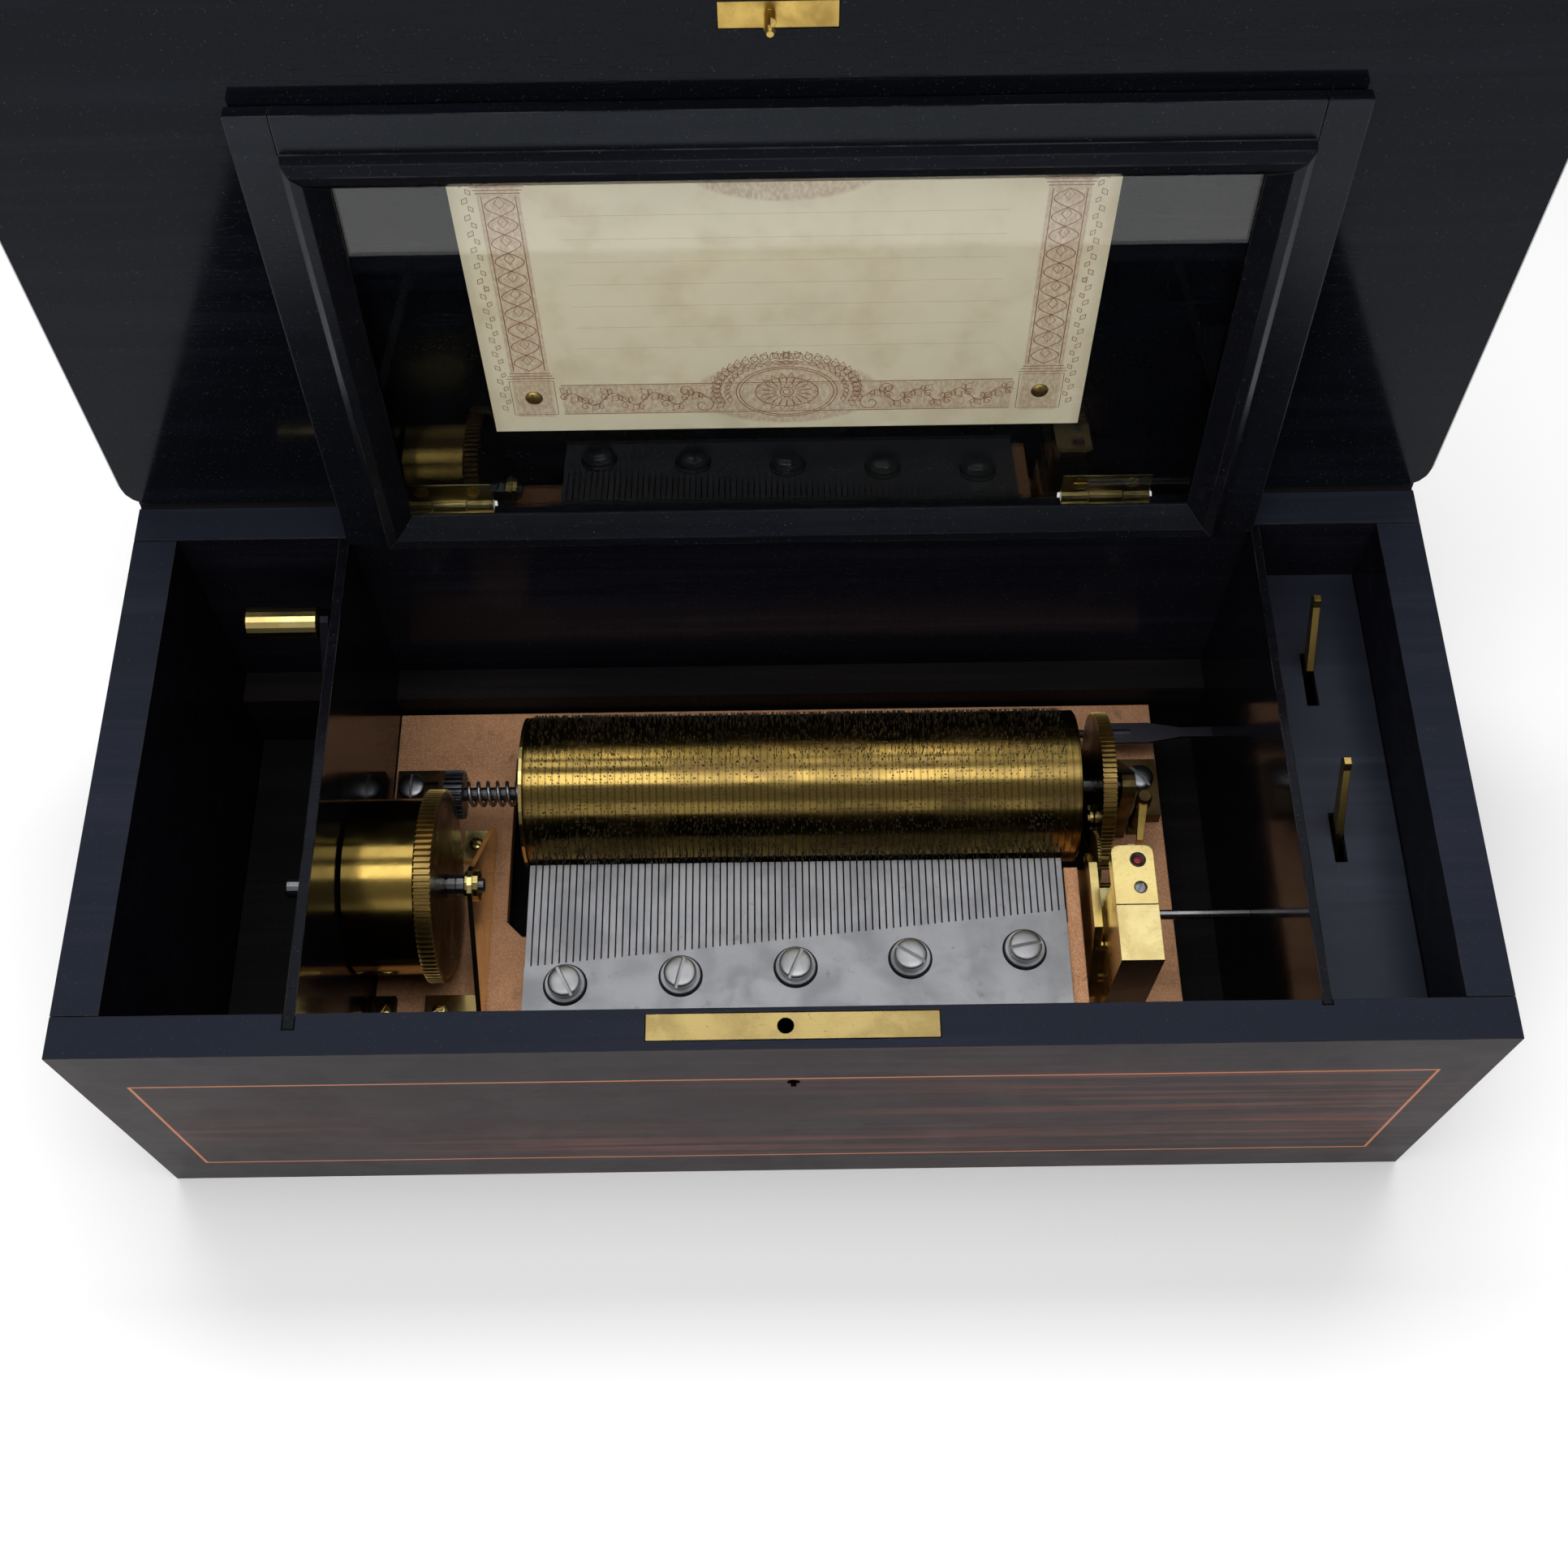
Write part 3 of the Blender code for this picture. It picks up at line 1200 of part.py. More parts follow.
def add_mitres(stile_cuts, rail_cuts, corner, inward):
    """Two wedges at a corner of the frame that trim the stile's and the rail's moulding to 45 degrees."""
    x, y = corner
    across, along = inward
    reach = GLASS_MOULDING_WIDTH + FIT_GAP
    far_x = x + across * reach
    outside = y - along * 2 * GLASS_BAND_WIDTH
    low = GLASS_HINGE_Z - 2 * GLASS_BAND_WIDTH
    high = GLASS_HINGE_Z + GLASS_BAND_WIDTH
    stile = (
        (x, outside),
        (far_x, outside),
        (far_x, y + along * (reach + FIT_GAP)),
        (x, y + along * FIT_GAP),
    )
    add_prism(stile_cuts, "Z", stile, low, high)
    rail = ((x, y), (far_x, y + along * reach), (x, y + along * reach))
    add_prism(rail_cuts, "Z", rail, low, high)


def make_glass_lid():
    low_x, high_x = GLASS_X
    member = GLASS_BAND_WIDTH + GLASS_MOULDING_WIDTH
    rear_member = GLASS_REAR_BAND_WIDTH + GLASS_MOULDING_WIDTH
    pane_top = GLASS_HINGE_Z + GLASS_FRAME_ABOVE_HINGE - GLASS_TOP_INSET
    pane_low = (
        low_x + member - GLASS_REBATE,
        GLASS_FRONT_Y + member - GLASS_REBATE,
        pane_top - GLASS_THICKNESS,
    )
    pane_high = (
        high_x - member + GLASS_REBATE,
        GLASS_REAR_Y - rear_member + GLASS_REBATE,
        pane_top,
    )
    rebate = boxes(grown((pane_low, pane_high), FIT_GAP, GLASS_BAND_WIDTH))
    stile_cuts = bmesh.new()
    rail_cuts = bmesh.new()
    for x, across in ((low_x + GLASS_BAND_WIDTH, 1), (high_x - GLASS_BAND_WIDTH, -1)):
        rear_corner = (x, GLASS_REAR_Y - GLASS_REAR_BAND_WIDTH)
        add_mitres(stile_cuts, rail_cuts, rear_corner, (across, -1))
        front_corner = (x, GLASS_FRONT_Y + GLASS_BAND_WIDTH)
        add_mitres(stile_cuts, rail_cuts, front_corner, (across, 1))

    for side, outer, inward in (("left", low_x, 1), ("right", high_x, -1)):
        section = frame_section(outer, inward, GLASS_BAND_WIDTH)
        stile = prism("Y", section, GLASS_FRONT_Y, GLASS_REAR_Y)
        item = finish(stile, f"glass_{side}_stile", "ebonised", "glass_lid")
        combine(item, rebate.copy(), f"{side}_rebate", "glass_lid")
        combine(item, stile_cuts.copy(), f"{side}_mitres", "glass_lid")
    stile_cuts.free()

    start = low_x + GLASS_BAND_WIDTH + FIT_GAP
    end = high_x - GLASS_BAND_WIDTH - FIT_GAP
    for side, outer, inward, band in (
        ("front", GLASS_FRONT_Y, 1, GLASS_BAND_WIDTH),
        ("rear", GLASS_REAR_Y, -1, GLASS_REAR_BAND_WIDTH),
    ):
        rail = prism("X", frame_section(outer, inward, band), start, end)
        item = finish(rail, f"glass_{side}_rail", "ebonised", "glass_lid")
        combine(item, rebate.copy(), f"{side}_rebate", "glass_lid")
        combine(item, rail_cuts.copy(), f"{side}_mitres", "glass_lid")
    rail_cuts.free()
    rebate.free()
    join_glass_hinges(bpy.data.objects["case_back"], item)
    finish(boxes((pane_low, pane_high)), "glass_pane", "glass", "glass_lid")


def bed_bolt_places():
    inset = BED_FOOT_SIZE / 2
    low_x = LEFT_PARTITION_FACE_X + FIT_GAP + inset
    high_x = BED_RIGHT_X - inset
    y = BED_HALF_DEPTH - inset
    return [(x, side * y) for x in (low_x, high_x) for side in (-1, 1)]


def make_bedplate():
    low_x = LEFT_PARTITION_FACE_X + FIT_GAP
    bed_bottom = BED_TOP - BED_THICKNESS
    plate = boxes(((low_x, -BED_HALF_DEPTH, bed_bottom), (BED_RIGHT_X, BED_HALF_DEPTH, BED_TOP)))
    item = finish(plate, "bedplate", "bed_paint")
    feet = bmesh.new()
    half = BED_FOOT_SIZE / 2
    for x, y in bed_bolt_places():
        add_box(
            feet,
            (x - half + JOIN_INSET, y - half + JOIN_INSET, FLOOR_Z),
            (x + half - JOIN_INSET, y + half - JOIN_INSET, BED_TOP - BED_THICKNESS / 2),
        )
    combine(item, feet, "bed_feet", operation="UNION")
    chamfer = BED_OPENING_CHAMFER
    opening = (
        (BED_OPENING_LEFT_X, BED_OPENING_REAR_Y),
        (BED_OPENING_LEFT_X, BED_OPENING_FRONT_Y + chamfer),
        (BED_OPENING_LEFT_X + chamfer, BED_OPENING_FRONT_Y),
        (BED_OPENING_RIGHT_X - BED_CORNER_STEP, BED_OPENING_FRONT_Y),
        (BED_OPENING_RIGHT_X - BED_CORNER_STEP, BED_OPENING_FRONT_Y + BED_CORNER_STEP),
        (BED_OPENING_RIGHT_X, BED_OPENING_FRONT_Y + BED_CORNER_STEP),
        (BED_OPENING_RIGHT_X, BED_OPENING_REAR_Y),
    )
    combine(item, prism("Z", opening, bed_bottom - CUT_PAST, BED_TOP + CUT_PAST), "cylinder_opening")
    tapped = bmesh.new()
    top = BED_TOP - BED_THICKNESS / 2
    for x, y in bed_bolt_places():
        bore = BED_BOLT_RADIUS + BORE_CLEARANCE
        add_turned(tapped, "Z", (x, y), ((0.0, bore), (top, bore)), SMALL_SIDES)
    combine(item, tapped, "bed_bolt_bores")
    combine(item, screw_bores(), "bed_screw_bores")


def comb_screw_places():
    left = Vector(COMB_SCREW_LEFT)
    right = Vector(COMB_SCREW_RIGHT)
    last = COMB_SCREW_COUNT - 1
    return [tuple(left.lerp(right, index / last)) for index in range(COMB_SCREW_COUNT)]


def root_y(x):
    share = (x - COMB_LEFT_X) / (COMB_RIGHT_X - COMB_LEFT_X)
    return ROOT_LEFT_Y + (ROOT_RIGHT_Y - ROOT_LEFT_Y) * share


def make_comb():
    """One steel plate, slit into teeth back to a slanting root line."""
    pitch = (COMB_RIGHT_X - COMB_LEFT_X) / COMB_TEETH
    margin = pitch * (1 - TOOTH_SHARE) / 2
    outline = [(COMB_LEFT_X, COMB_FRONT_Y), (COMB_RIGHT_X, COMB_FRONT_Y)]
    for index in reversed(range(COMB_TEETH)):
        left = COMB_LEFT_X + index * pitch + margin
        right = COMB_LEFT_X + (index + 1) * pitch - margin
        outline += [
            (right, root_y(right)),
            (right, COMB_TIP_Y),
            (left, COMB_TIP_Y),
            (left, root_y(left)),
        ]
    outline.insert(2, (COMB_RIGHT_X, root_y(COMB_RIGHT_X)))
    outline.append((COMB_LEFT_X, root_y(COMB_LEFT_X)))
    item = finish(prism("Z", outline, COMB_BOTTOM, COMB_BOTTOM + COMB_THICKNESS), "comb", "comb_steel")
    bores = bmesh.new()
    for place in comb_screw_places():
        radius = COMB_SCREW_SHANK_RADIUS + BORE_CLEARANCE
        add_bore(bores, "Z", place, radius, (COMB_BOTTOM, COMB_BOTTOM + COMB_THICKNESS))
    combine(item, bores, "comb_bores")

    low_z = BED_SEAT
    base_left = COMB_LEFT_X + COMB_BASE_LEFT_INSET
    setback = COMB_BASE_SETBACK
    base_outline = (
        (base_left, COMB_BASE_FRONT_Y),
        (COMB_BASE_RIGHT_X, COMB_BASE_FRONT_Y),
        (COMB_BASE_RIGHT_X, COMB_BASE_CHEEK_REAR_Y),
        (COMB_BASE_RIGHT_X - COMB_BASE_CHEEK_WIDTH, COMB_BASE_CHEEK_REAR_Y),
        (COMB_BASE_RIGHT_X - COMB_BASE_CHEEK_WIDTH, root_y(COMB_RIGHT_X) - setback),
        (base_left, root_y(COMB_LEFT_X) - setback),
    )
    base = finish(prism("Z", base_outline, low_z, COMB_BASE_TOP), "comb_base", "bed_paint")
    base_bores = bmesh.new()
    for place in comb_screw_places():
        bore = COMB_SCREW_SHANK_RADIUS + BORE_CLEARANCE
        add_turned(
            base_bores,
            "Z",
            place,
            (
                (COMB_BASE_TOP - COMB_SCREW_LENGTH, bore),
                (COMB_BASE_TOP + CUT_PAST, bore),
            ),
            SMALL_SIDES,
        )
    combine(base, base_bores, "base_bores")

    washer_low = COMB_BOTTOM + COMB_THICKNESS + FIT_GAP
    head_low = washer_low + COMB_WASHER_THICKNESS
    for index, place in enumerate(comb_screw_places()):
        screw = bmesh.new()
        add_screw(
            screw,
            (*place, head_low),
            COMB_SCREW_HEAD_RADIUS,
            COMB_SCREW_HEAD_HEIGHT,
            COMB_SCREW_SHANK_RADIUS,
            COMB_SCREW_LENGTH,
            washer=(COMB_WASHER_RADIUS, COMB_WASHER_THICKNESS),
        )
        item = finish(screw, f"comb_screw_{index + 1}", "steel", smooth=True)
        turn = COMB_SLOT_TURN_DEG + COMB_SLOT_STEP_DEG * index
        slot = slot_cut((*place, head_low), COMB_SCREW_HEAD_RADIUS, COMB_SCREW_HEAD_HEIGHT, turn)
        combine(item, slot, f"comb_screw_slot_{index + 1}")


def make_cylinder():
    axis = CYLINDER_AXIS
    bore = CYLINDER_ARBOR_RADIUS + BORE_CLEARANCE
    inner = CYLINDER_RADIUS - CYLINDER_WALL
    cap = CYLINDER_CAP_THICKNESS
    left = CYLINDER_LEFT_X
    right = CYLINDER_RIGHT_X
    tube_profile = (
        (left + cap / 2, CYLINDER_RADIUS),
        (right, CYLINDER_RADIUS),
        (right, bore),
        (right - cap, bore),
        (right - cap, inner),
        (left + cap / 2, inner),
    )
    tube = bmesh.new()
    add_sleeve(tube, "X", axis, tube_profile, CYLINDER_SIDES)
    finish(tube, "cylinder_tube", "brass", "cylinder", smooth=True)

    cap_profile = (
        (left, CYLINDER_RADIUS),
        (left + cap / 2 - FIT_GAP, CYLINDER_RADIUS),
        (left + cap / 2 - FIT_GAP, inner - FIT_GAP),
        (left + 2 * cap, inner - FIT_GAP),
        (left + 2 * cap, bore),
        (left, bore),
    )
    plug = bmesh.new()
    add_sleeve(plug, "X", axis, cap_profile, CYLINDER_SIDES)
    finish(plug, "cylinder_left_cap", "brass", "cylinder", smooth=True)

    drive = DRIVE_WHEEL_X
    radius = CYLINDER_ARBOR_RADIUS
    pivot = radius * PIVOT_SHARE
    left_shoulder = PINION_LEFT_X - PINION_SHOULDER
    right_shoulder = RIGHT_BRIDGE_POST_X[0] - PIVOT_SHOULDER
    arbor = turned(
        "X",
        axis,
        (
            (LEFT_BRIDGE_POST_X[0], pivot),
            (left_shoulder, pivot),
            (left_shoulder, radius),
            (right_shoulder, radius),
            (right_shoulder, pivot),
            (RIGHT_BRIDGE_POST_X[1], pivot),
        ),
        SCREW_SIDES,
    )
    item = finish(arbor, "cylinder_arbor", "steel", "cylinder_arbor", smooth=True)
    leaves = prism(
        "X",
        gear_outline(axis, PINION_TEETH, MODULE_BARREL, BARREL_AXIS, gap_first=True),
        PINION_LEFT_X,
        PINION_RIGHT_X,
    )
    combine(item, leaves, "pinion_leaves", "cylinder_arbor", operation="UNION")

    span = (drive, drive + DRIVE_WHEEL_THICKNESS)
    wheel = prism("X", gear_outline(axis, DRIVE_WHEEL_TEETH, MODULE_DRIVE, FIRST_AXIS), *span)
    item = finish(wheel, "cylinder_drive_wheel", "old_brass", "cylinder_arbor")
    wheel_cuts = bore_cut("X", axis, bore, span, SCREW_SIDES)
    add_bore(wheel_cuts, "X", snail_centre(), SNAIL_STUD_RADIUS + BORE_CLEARANCE, span)
    combine(item, wheel_cuts, "drive_wheel_bores", "cylinder_arbor")
    make_spring()
    make_snail()


def make_snail():
    """The stepped tune cam on its stud, riding on the drive wheel's inner face."""
    centre = snail_centre()
    outline = []
    for step in range(SNAIL_STEPS):
        radius = SNAIL_SMALL_RADIUS + (SNAIL_LARGE_RADIUS - SNAIL_SMALL_RADIUS) * step / (SNAIL_STEPS - 1)
        start = 360 * step / SNAIL_STEPS
        outline += arc(centre, radius, start, start + 360 / SNAIL_STEPS - SNAIL_STEP_GAP_DEG, 3)
    right = DRIVE_WHEEL_X - FIT_GAP
    item = finish(prism("X", outline, right - SNAIL_THICKNESS, right), "tune_snail", "brass", "snail")
    stud = turned(
        "X",
        centre,
        (
            (right - SNAIL_THICKNESS - SNAIL_HEAD_RISE, SNAIL_HEAD_RADIUS),
            (right - SNAIL_THICKNESS / 2, SNAIL_HEAD_RADIUS),
            (right - SNAIL_THICKNESS / 2, SNAIL_STUD_RADIUS),
            (DRIVE_WHEEL_X + SNAIL_STUD_REACH, SNAIL_STUD_RADIUS),
        ),
        SMALL_SIDES,
    )
    combine(item, stud, "snail_stud", "snail", operation="UNION")


def spring_points():
    """Centre line of the cylinder's return spring, with a closed turn at each end."""
    start = PINION_RIGHT_X + FIT_GAP + SPRING_WIRE_RADIUS
    end = CYLINDER_LEFT_X - FIT_GAP - SPRING_WIRE_RADIUS
    count = round(SPRING_TURNS * SPRING_POINTS_PER_TURN)
    points = []
    for index in range(count + 1):
        share = index / count
        angle = 2 * math.pi * index / SPRING_POINTS_PER_TURN
        points.append(
            Vector(
                (
                    start + (end - start) * share,
                    CYLINDER_Y + SPRING_COIL_RADIUS * math.cos(angle),
                    CYLINDER_Z + SPRING_COIL_RADIUS * math.sin(angle),
                )
            )
        )
    return points


def least_self_gap(points, wire_radius):
    """Least clear distance between points of the wire that are at least half a turn apart."""
    apart = SPRING_POINTS_PER_TURN // 2
    distances = [
        (points[first] - points[second]).length
        for first in range(len(points))
        for second in range(first + apart, len(points))
    ]
    return min(distances) - 2 * wire_radius


def make_spring():
    points = spring_points()
    gap = least_self_gap(points, SPRING_WIRE_RADIUS)
    print(f"cylinder spring: least gap between turns {gap * 1000:.2f} mm")
    frame, place = frames["cylinder_arbor"]
    curve = bpy.data.curves.new("cylinder_spring", "CURVE")
    curve.dimensions = "3D"
    curve.bevel_depth = SPRING_WIRE_RADIUS
    curve.bevel_resolution = 1
    curve.use_fill_caps = True
    spline = curve.splines.new("POLY")
    spline.points.add(len(points) - 1)
    for target, point in zip(spline.points, points):
        target.co = (*(point - place), 1.0)
    item = bpy.data.objects.new("cylinder_spring", curve)
    bpy.context.scene.collection.objects.link(item)
    item.parent = frame
    curve.materials.append(materials["steel"])


def bridge_post(post_x, foot_y):
    """Upright of a cylinder bridge, with a round head about the arbor."""
    head = CYLINDER_AXIS
    outline = [(foot_y[1], BED_SEAT), (foot_y[1], BED_SEAT + BRIDGE_FOOT_HEIGHT)]
    outline += arc(head, BRIDGE_HEAD_RADIUS, 15, 180, 6)
    outline += [(BRIDGE_POST_FRONT_Y, BED_SEAT)]
    return prism("X", outline, *post_x)


def bridge_screw_places():
    height = BED_SEAT + BRIDGE_FOOT_HEIGHT + FIT_GAP
    foot = BED_SEAT + BARREL_FOOT_HEIGHT + FIT_GAP
    front_y = BARREL_BRIDGE_BASE_Y[0] + BARREL_FOOT_WIDTH / 2
    rear_y = BARREL_BRIDGE_BASE_Y[1] - BARREL_FOOT_WIDTH / 2
    return {
        "bridge": [
            (*LEFT_BRIDGE_SCREW, height),
            (*RIGHT_BRIDGE_SCREW, height),
        ],
        "barrel": [
            (BARREL_FOOT_SCREW_X[0], front_y, foot),
            (BARREL_FOOT_SCREW_X[1], rear_y, foot),
            (LEFT_FOOT_SCREW_X, front_y, foot),
            (LEFT_FOOT_SCREW_X, rear_y, foot),
        ],
    }


def screw_bores():
    """Holes down through the bridge feet and into the bedplate for every mechanism screw."""
    bores = bmesh.new()
    places = bridge_screw_places()
    for kind, radius, length in (
        ("bridge", BRIDGE_SCREW_SHANK_RADIUS, BRIDGE_SCREW_LENGTH),
        ("barrel", BARREL_SCREW_SHANK_RADIUS, BARREL_SCREW_LENGTH),
    ):
        bore = radius + BORE_CLEARANCE
        for x, y, z in places[kind]:
            profile = ((z - length - FIT_GAP, bore), (z + CUT_PAST, bore))
            add_turned(bores, "Z", (x, y), profile, SMALL_SIDES)
    return bores


def make_cylinder_bridges():
    pivot = CYLINDER_ARBOR_RADIUS * PIVOT_SHARE + BORE_CLEARANCE
    for name, foot_x, foot_y, post_x in (
        ("cylinder_left_bridge", LEFT_BRIDGE_FOOT_X, LEFT_BRIDGE_FOOT_Y, LEFT_BRIDGE_POST_X),
        ("cylinder_right_bridge", RIGHT_BRIDGE_FOOT_X, RIGHT_BRIDGE_FOOT_Y, RIGHT_BRIDGE_POST_X),
    ):
        foot = boxes(
            ((foot_x[0], foot_y[0], BED_SEAT), (foot_x[1], foot_y[1], BED_SEAT + BRIDGE_FOOT_HEIGHT)),
        )
        item = finish(foot, name, "old_brass")
        post = bridge_post(post_x, (foot_y[0], foot_y[1] - JOIN_INSET))
        combine(item, post, f"{name}_post", operation="UNION")
        if name == "cylinder_right_bridge":
            reach = STOP_HUB_RADIUS
            lug_top = BED_SEAT + BRIDGE_FOOT_HEIGHT / 2
            lug = boxes(
                (
                    (STOP_POST_X - reach, STOP_POST_Y - reach, BED_SEAT),
                    (STOP_POST_X + reach, foot_y[0] + reach, lug_top),
                ),
            )
            combine(item, lug, "stop_post_lug", operation="UNION")
            combine(item, stop_post(), "stop_post", operation="UNION")
        combine(item, bore_cut("X", CYLINDER_AXIS, pivot, post_x), f"{name}_bore")
        combine(item, screw_bores(), f"{name}_screw_bores")


def bridge_plate_outline(grow=0.0):
    """The tapering side view that both barrel bridges share: wide at the bed, round at the arbor."""
    low, high = BARREL_BRIDGE_BASE_Y
    bottom = BED_SEAT - grow
    step = BED_SEAT + BARREL_PLATE_STEP
    outline = [(high + grow, bottom), (high + grow, step)]
    outline += arc(BARREL_AXIS, BARREL_PLATE_HEAD_RADIUS + grow, 20, 160, 6)
    outline += [(low - grow, step), (low - grow, bottom)]
    return outline


def make_barrel_bridges():
    """Right bridge: a thin arched plate with a boss and two feet. Left bridge: a flat plate."""
    boss = BARREL_BRIDGE_BOSS_RADIUS
    base = BARREL_BRIDGE_BASE_Y
    outline = bridge_plate_outline()
    item = finish(prism("X", outline, *BARREL_BRIDGE_PLATE_X), "barrel_right_bridge", "brass")
    hub = turned(
        "X",
        BARREL_AXIS,
        ((BARREL_BRIDGE_BOSS_X[0], boss), (BARREL_BRIDGE_BOSS_X[1], boss)),
        SCREW_SIDES,
    )
    combine(item, hub, "barrel_bridge_boss", operation="UNION")
    foot_top = BED_SEAT + BARREL_FOOT_HEIGHT
    inside = BARREL_BRIDGE_PLATE_X[1] - JOIN_INSET
    feet = boxes(
        (
            (BARREL_BRIDGE_PLATE_X[0] - BARREL_FOOT_LENGTH, base[0], BED_SEAT),
            (inside, base[0] + BARREL_FOOT_WIDTH, foot_top),
        ),
        (
            (BARREL_BRIDGE_PLATE_X[0] - BARREL_FOOT_LENGTH * 0.5, base[1] - BARREL_FOOT_WIDTH, BED_SEAT),
            (inside, base[1], foot_top),
        ),
    )
    combine(item, feet, "barrel_bridge_feet", operation="UNION")
    pivot = BARREL_ARBOR_RADIUS * BARREL_PIVOT_SHARE + BORE_CLEARANCE
    combine(item, bore_cut("X", BARREL_AXIS, pivot, BARREL_BRIDGE_BOSS_X, SCREW_SIDES), "barrel_bridge_bore")
    combine(item, screw_bores(), "barrel_bridge_screw_bores")

    low_x = LEFT_PARTITION_FACE_X - LEFT_PLATE_SEAT_GAP
    plate_x = (low_x, low_x + LEFT_PLATE_THICKNESS)
    foot_x = LEFT_PARTITION_FACE_X + LEFT_FOOT_LENGTH
    item = finish(prism("X", outline, *plate_x), "barrel_left_bridge", "old_brass")
    feet = boxes(
        (
            (plate_x[0] + JOIN_INSET, base[0], BED_SEAT),
            (foot_x, base[0] + BARREL_FOOT_WIDTH, foot_top),
        ),
        (
            (plate_x[0] + JOIN_INSET, base[1] - BARREL_FOOT_WIDTH, BED_SEAT),
            (foot_x, base[1], foot_top),
        ),
    )
    combine(item, feet, "left_bridge_feet", operation="UNION")
    bore_radius = BARREL_ARBOR_RADIUS + BORE_CLEARANCE
    combine(item, bore_cut("X", BARREL_AXIS, bore_radius, plate_x, SCREW_SIDES), "left_bridge_bore")
    combine(item, screw_bores(), "left_bridge_screw_bores")


def make_bridge_screws():
    sizes = (BRIDGE_SCREW_HEAD_RADIUS, BRIDGE_SCREW_HEAD_HEIGHT)
    for side, place in zip(("left", "right"), bridge_screw_places()["bridge"]):
        screw = bmesh.new()
        add_screw(screw, place, *sizes, BRIDGE_SCREW_SHANK_RADIUS, BRIDGE_SCREW_LENGTH)
        item = finish(screw, f"{side}_bridge_screw", "steel", smooth=True)
        combine(item, slot_cut(place, *sizes, BRIDGE_SLOT_TURN_DEG), f"{side}_bridge_slot")


def make_barrel():
    axis = BARREL_AXIS
    left = BARREL_LEFT_X
    right = BARREL_WHEEL_LEFT_X - FIT_GAP
    bore = BARREL_ARBOR_RADIUS + RUNNING_GAP
    inner = BARREL_DRUM_RADIUS - BARREL_WALL
    drum = bmesh.new()
    profile = (
        (left, BARREL_DRUM_RADIUS - BARREL_EDGE[1]),
        (left + BARREL_EDGE[0], BARREL_DRUM_RADIUS),
        (right, BARREL_DRUM_RADIUS),
        (right, inner),
        (left + BARREL_WALL, inner),
        (left + BARREL_WALL, bore),
        (left, bore),
    )
    add_sleeve(drum, "X", axis, profile, DRUM_SIDES)
    finish(drum, "barrel_drum", "brass", "barrel", smooth=True)

    span = (BARREL_WHEEL_LEFT_X, BARREL_WHEEL_RIGHT_X)
    wheel = prism("X", gear_outline(axis, BARREL_WHEEL_TEETH, MODULE_BARREL, CYLINDER_AXIS), *span)
    item = finish(wheel, "barrel_wheel", "old_brass", "barrel")
    combine(item, bore_cut("X", axis, bore, span, SCREW_SIDES), "barrel_wheel_bore", "barrel")

    hub_left = left + BARREL_WALL + RUNNING_GAP
    hub_right = BARREL_WHEEL_LEFT_X - RUNNING_GAP
    pivot = BARREL_ARBOR_RADIUS * BARREL_PIVOT_SHARE
    bead = BARREL_ARBOR_RADIUS + BARREL_BEAD_RISE
    stop = BARREL_BRIDGE_BOSS_X[0] - RUNNING_GAP
    wheel_end = BARREL_WHEEL_RIGHT_X + RUNNING_GAP
    middle = (wheel_end + stop) / 2
    edge, inset = BARREL_EDGE
    arbor = turned(
        "X",
        axis,
        (
            (BARREL_ARBOR_LEFT_X, BARREL_ARBOR_RADIUS - inset),
            (BARREL_ARBOR_LEFT_X + edge, BARREL_ARBOR_RADIUS),
            (hub_left, BARREL_ARBOR_RADIUS),
            (hub_left, BARREL_HUB_RADIUS),
            (hub_right, BARREL_HUB_RADIUS),
            (hub_right, BARREL_ARBOR_RADIUS),
            (wheel_end, BARREL_ARBOR_RADIUS),
            (wheel_end, bead),
            (middle - BARREL_BEAD_GROOVE, bead),
            (middle, BARREL_ARBOR_RADIUS),
            (middle + BARREL_BEAD_GROOVE, bead),
            (stop, bead),
            (stop, pivot),
            (BARREL_ARBOR_RIGHT_X, pivot),
        ),
        SCREW_SIDES,
    )
    item = finish(arbor, "barrel_arbor", "steel", "winding_arbor", smooth=True)
    teeth = []
    for index in range(WINDING_RATCHET_TEETH):
        start = 2 * math.pi * index / WINDING_RATCHET_TEETH
        for radius, turn in ((WINDING_RATCHET_RADIUS, 0.0), (WINDING_RATCHET_ROOT, WINDING_TOOTH_RAKE)):
            angle = start + turn
            teeth.append((axis[0] + radius * math.cos(angle), axis[1] + radius * math.sin(angle)))
    ratchet = prism("X", teeth, *WINDING_RATCHET_X)
    combine(item, ratchet, "winding_ratchet", "winding_arbor", operation="UNION")


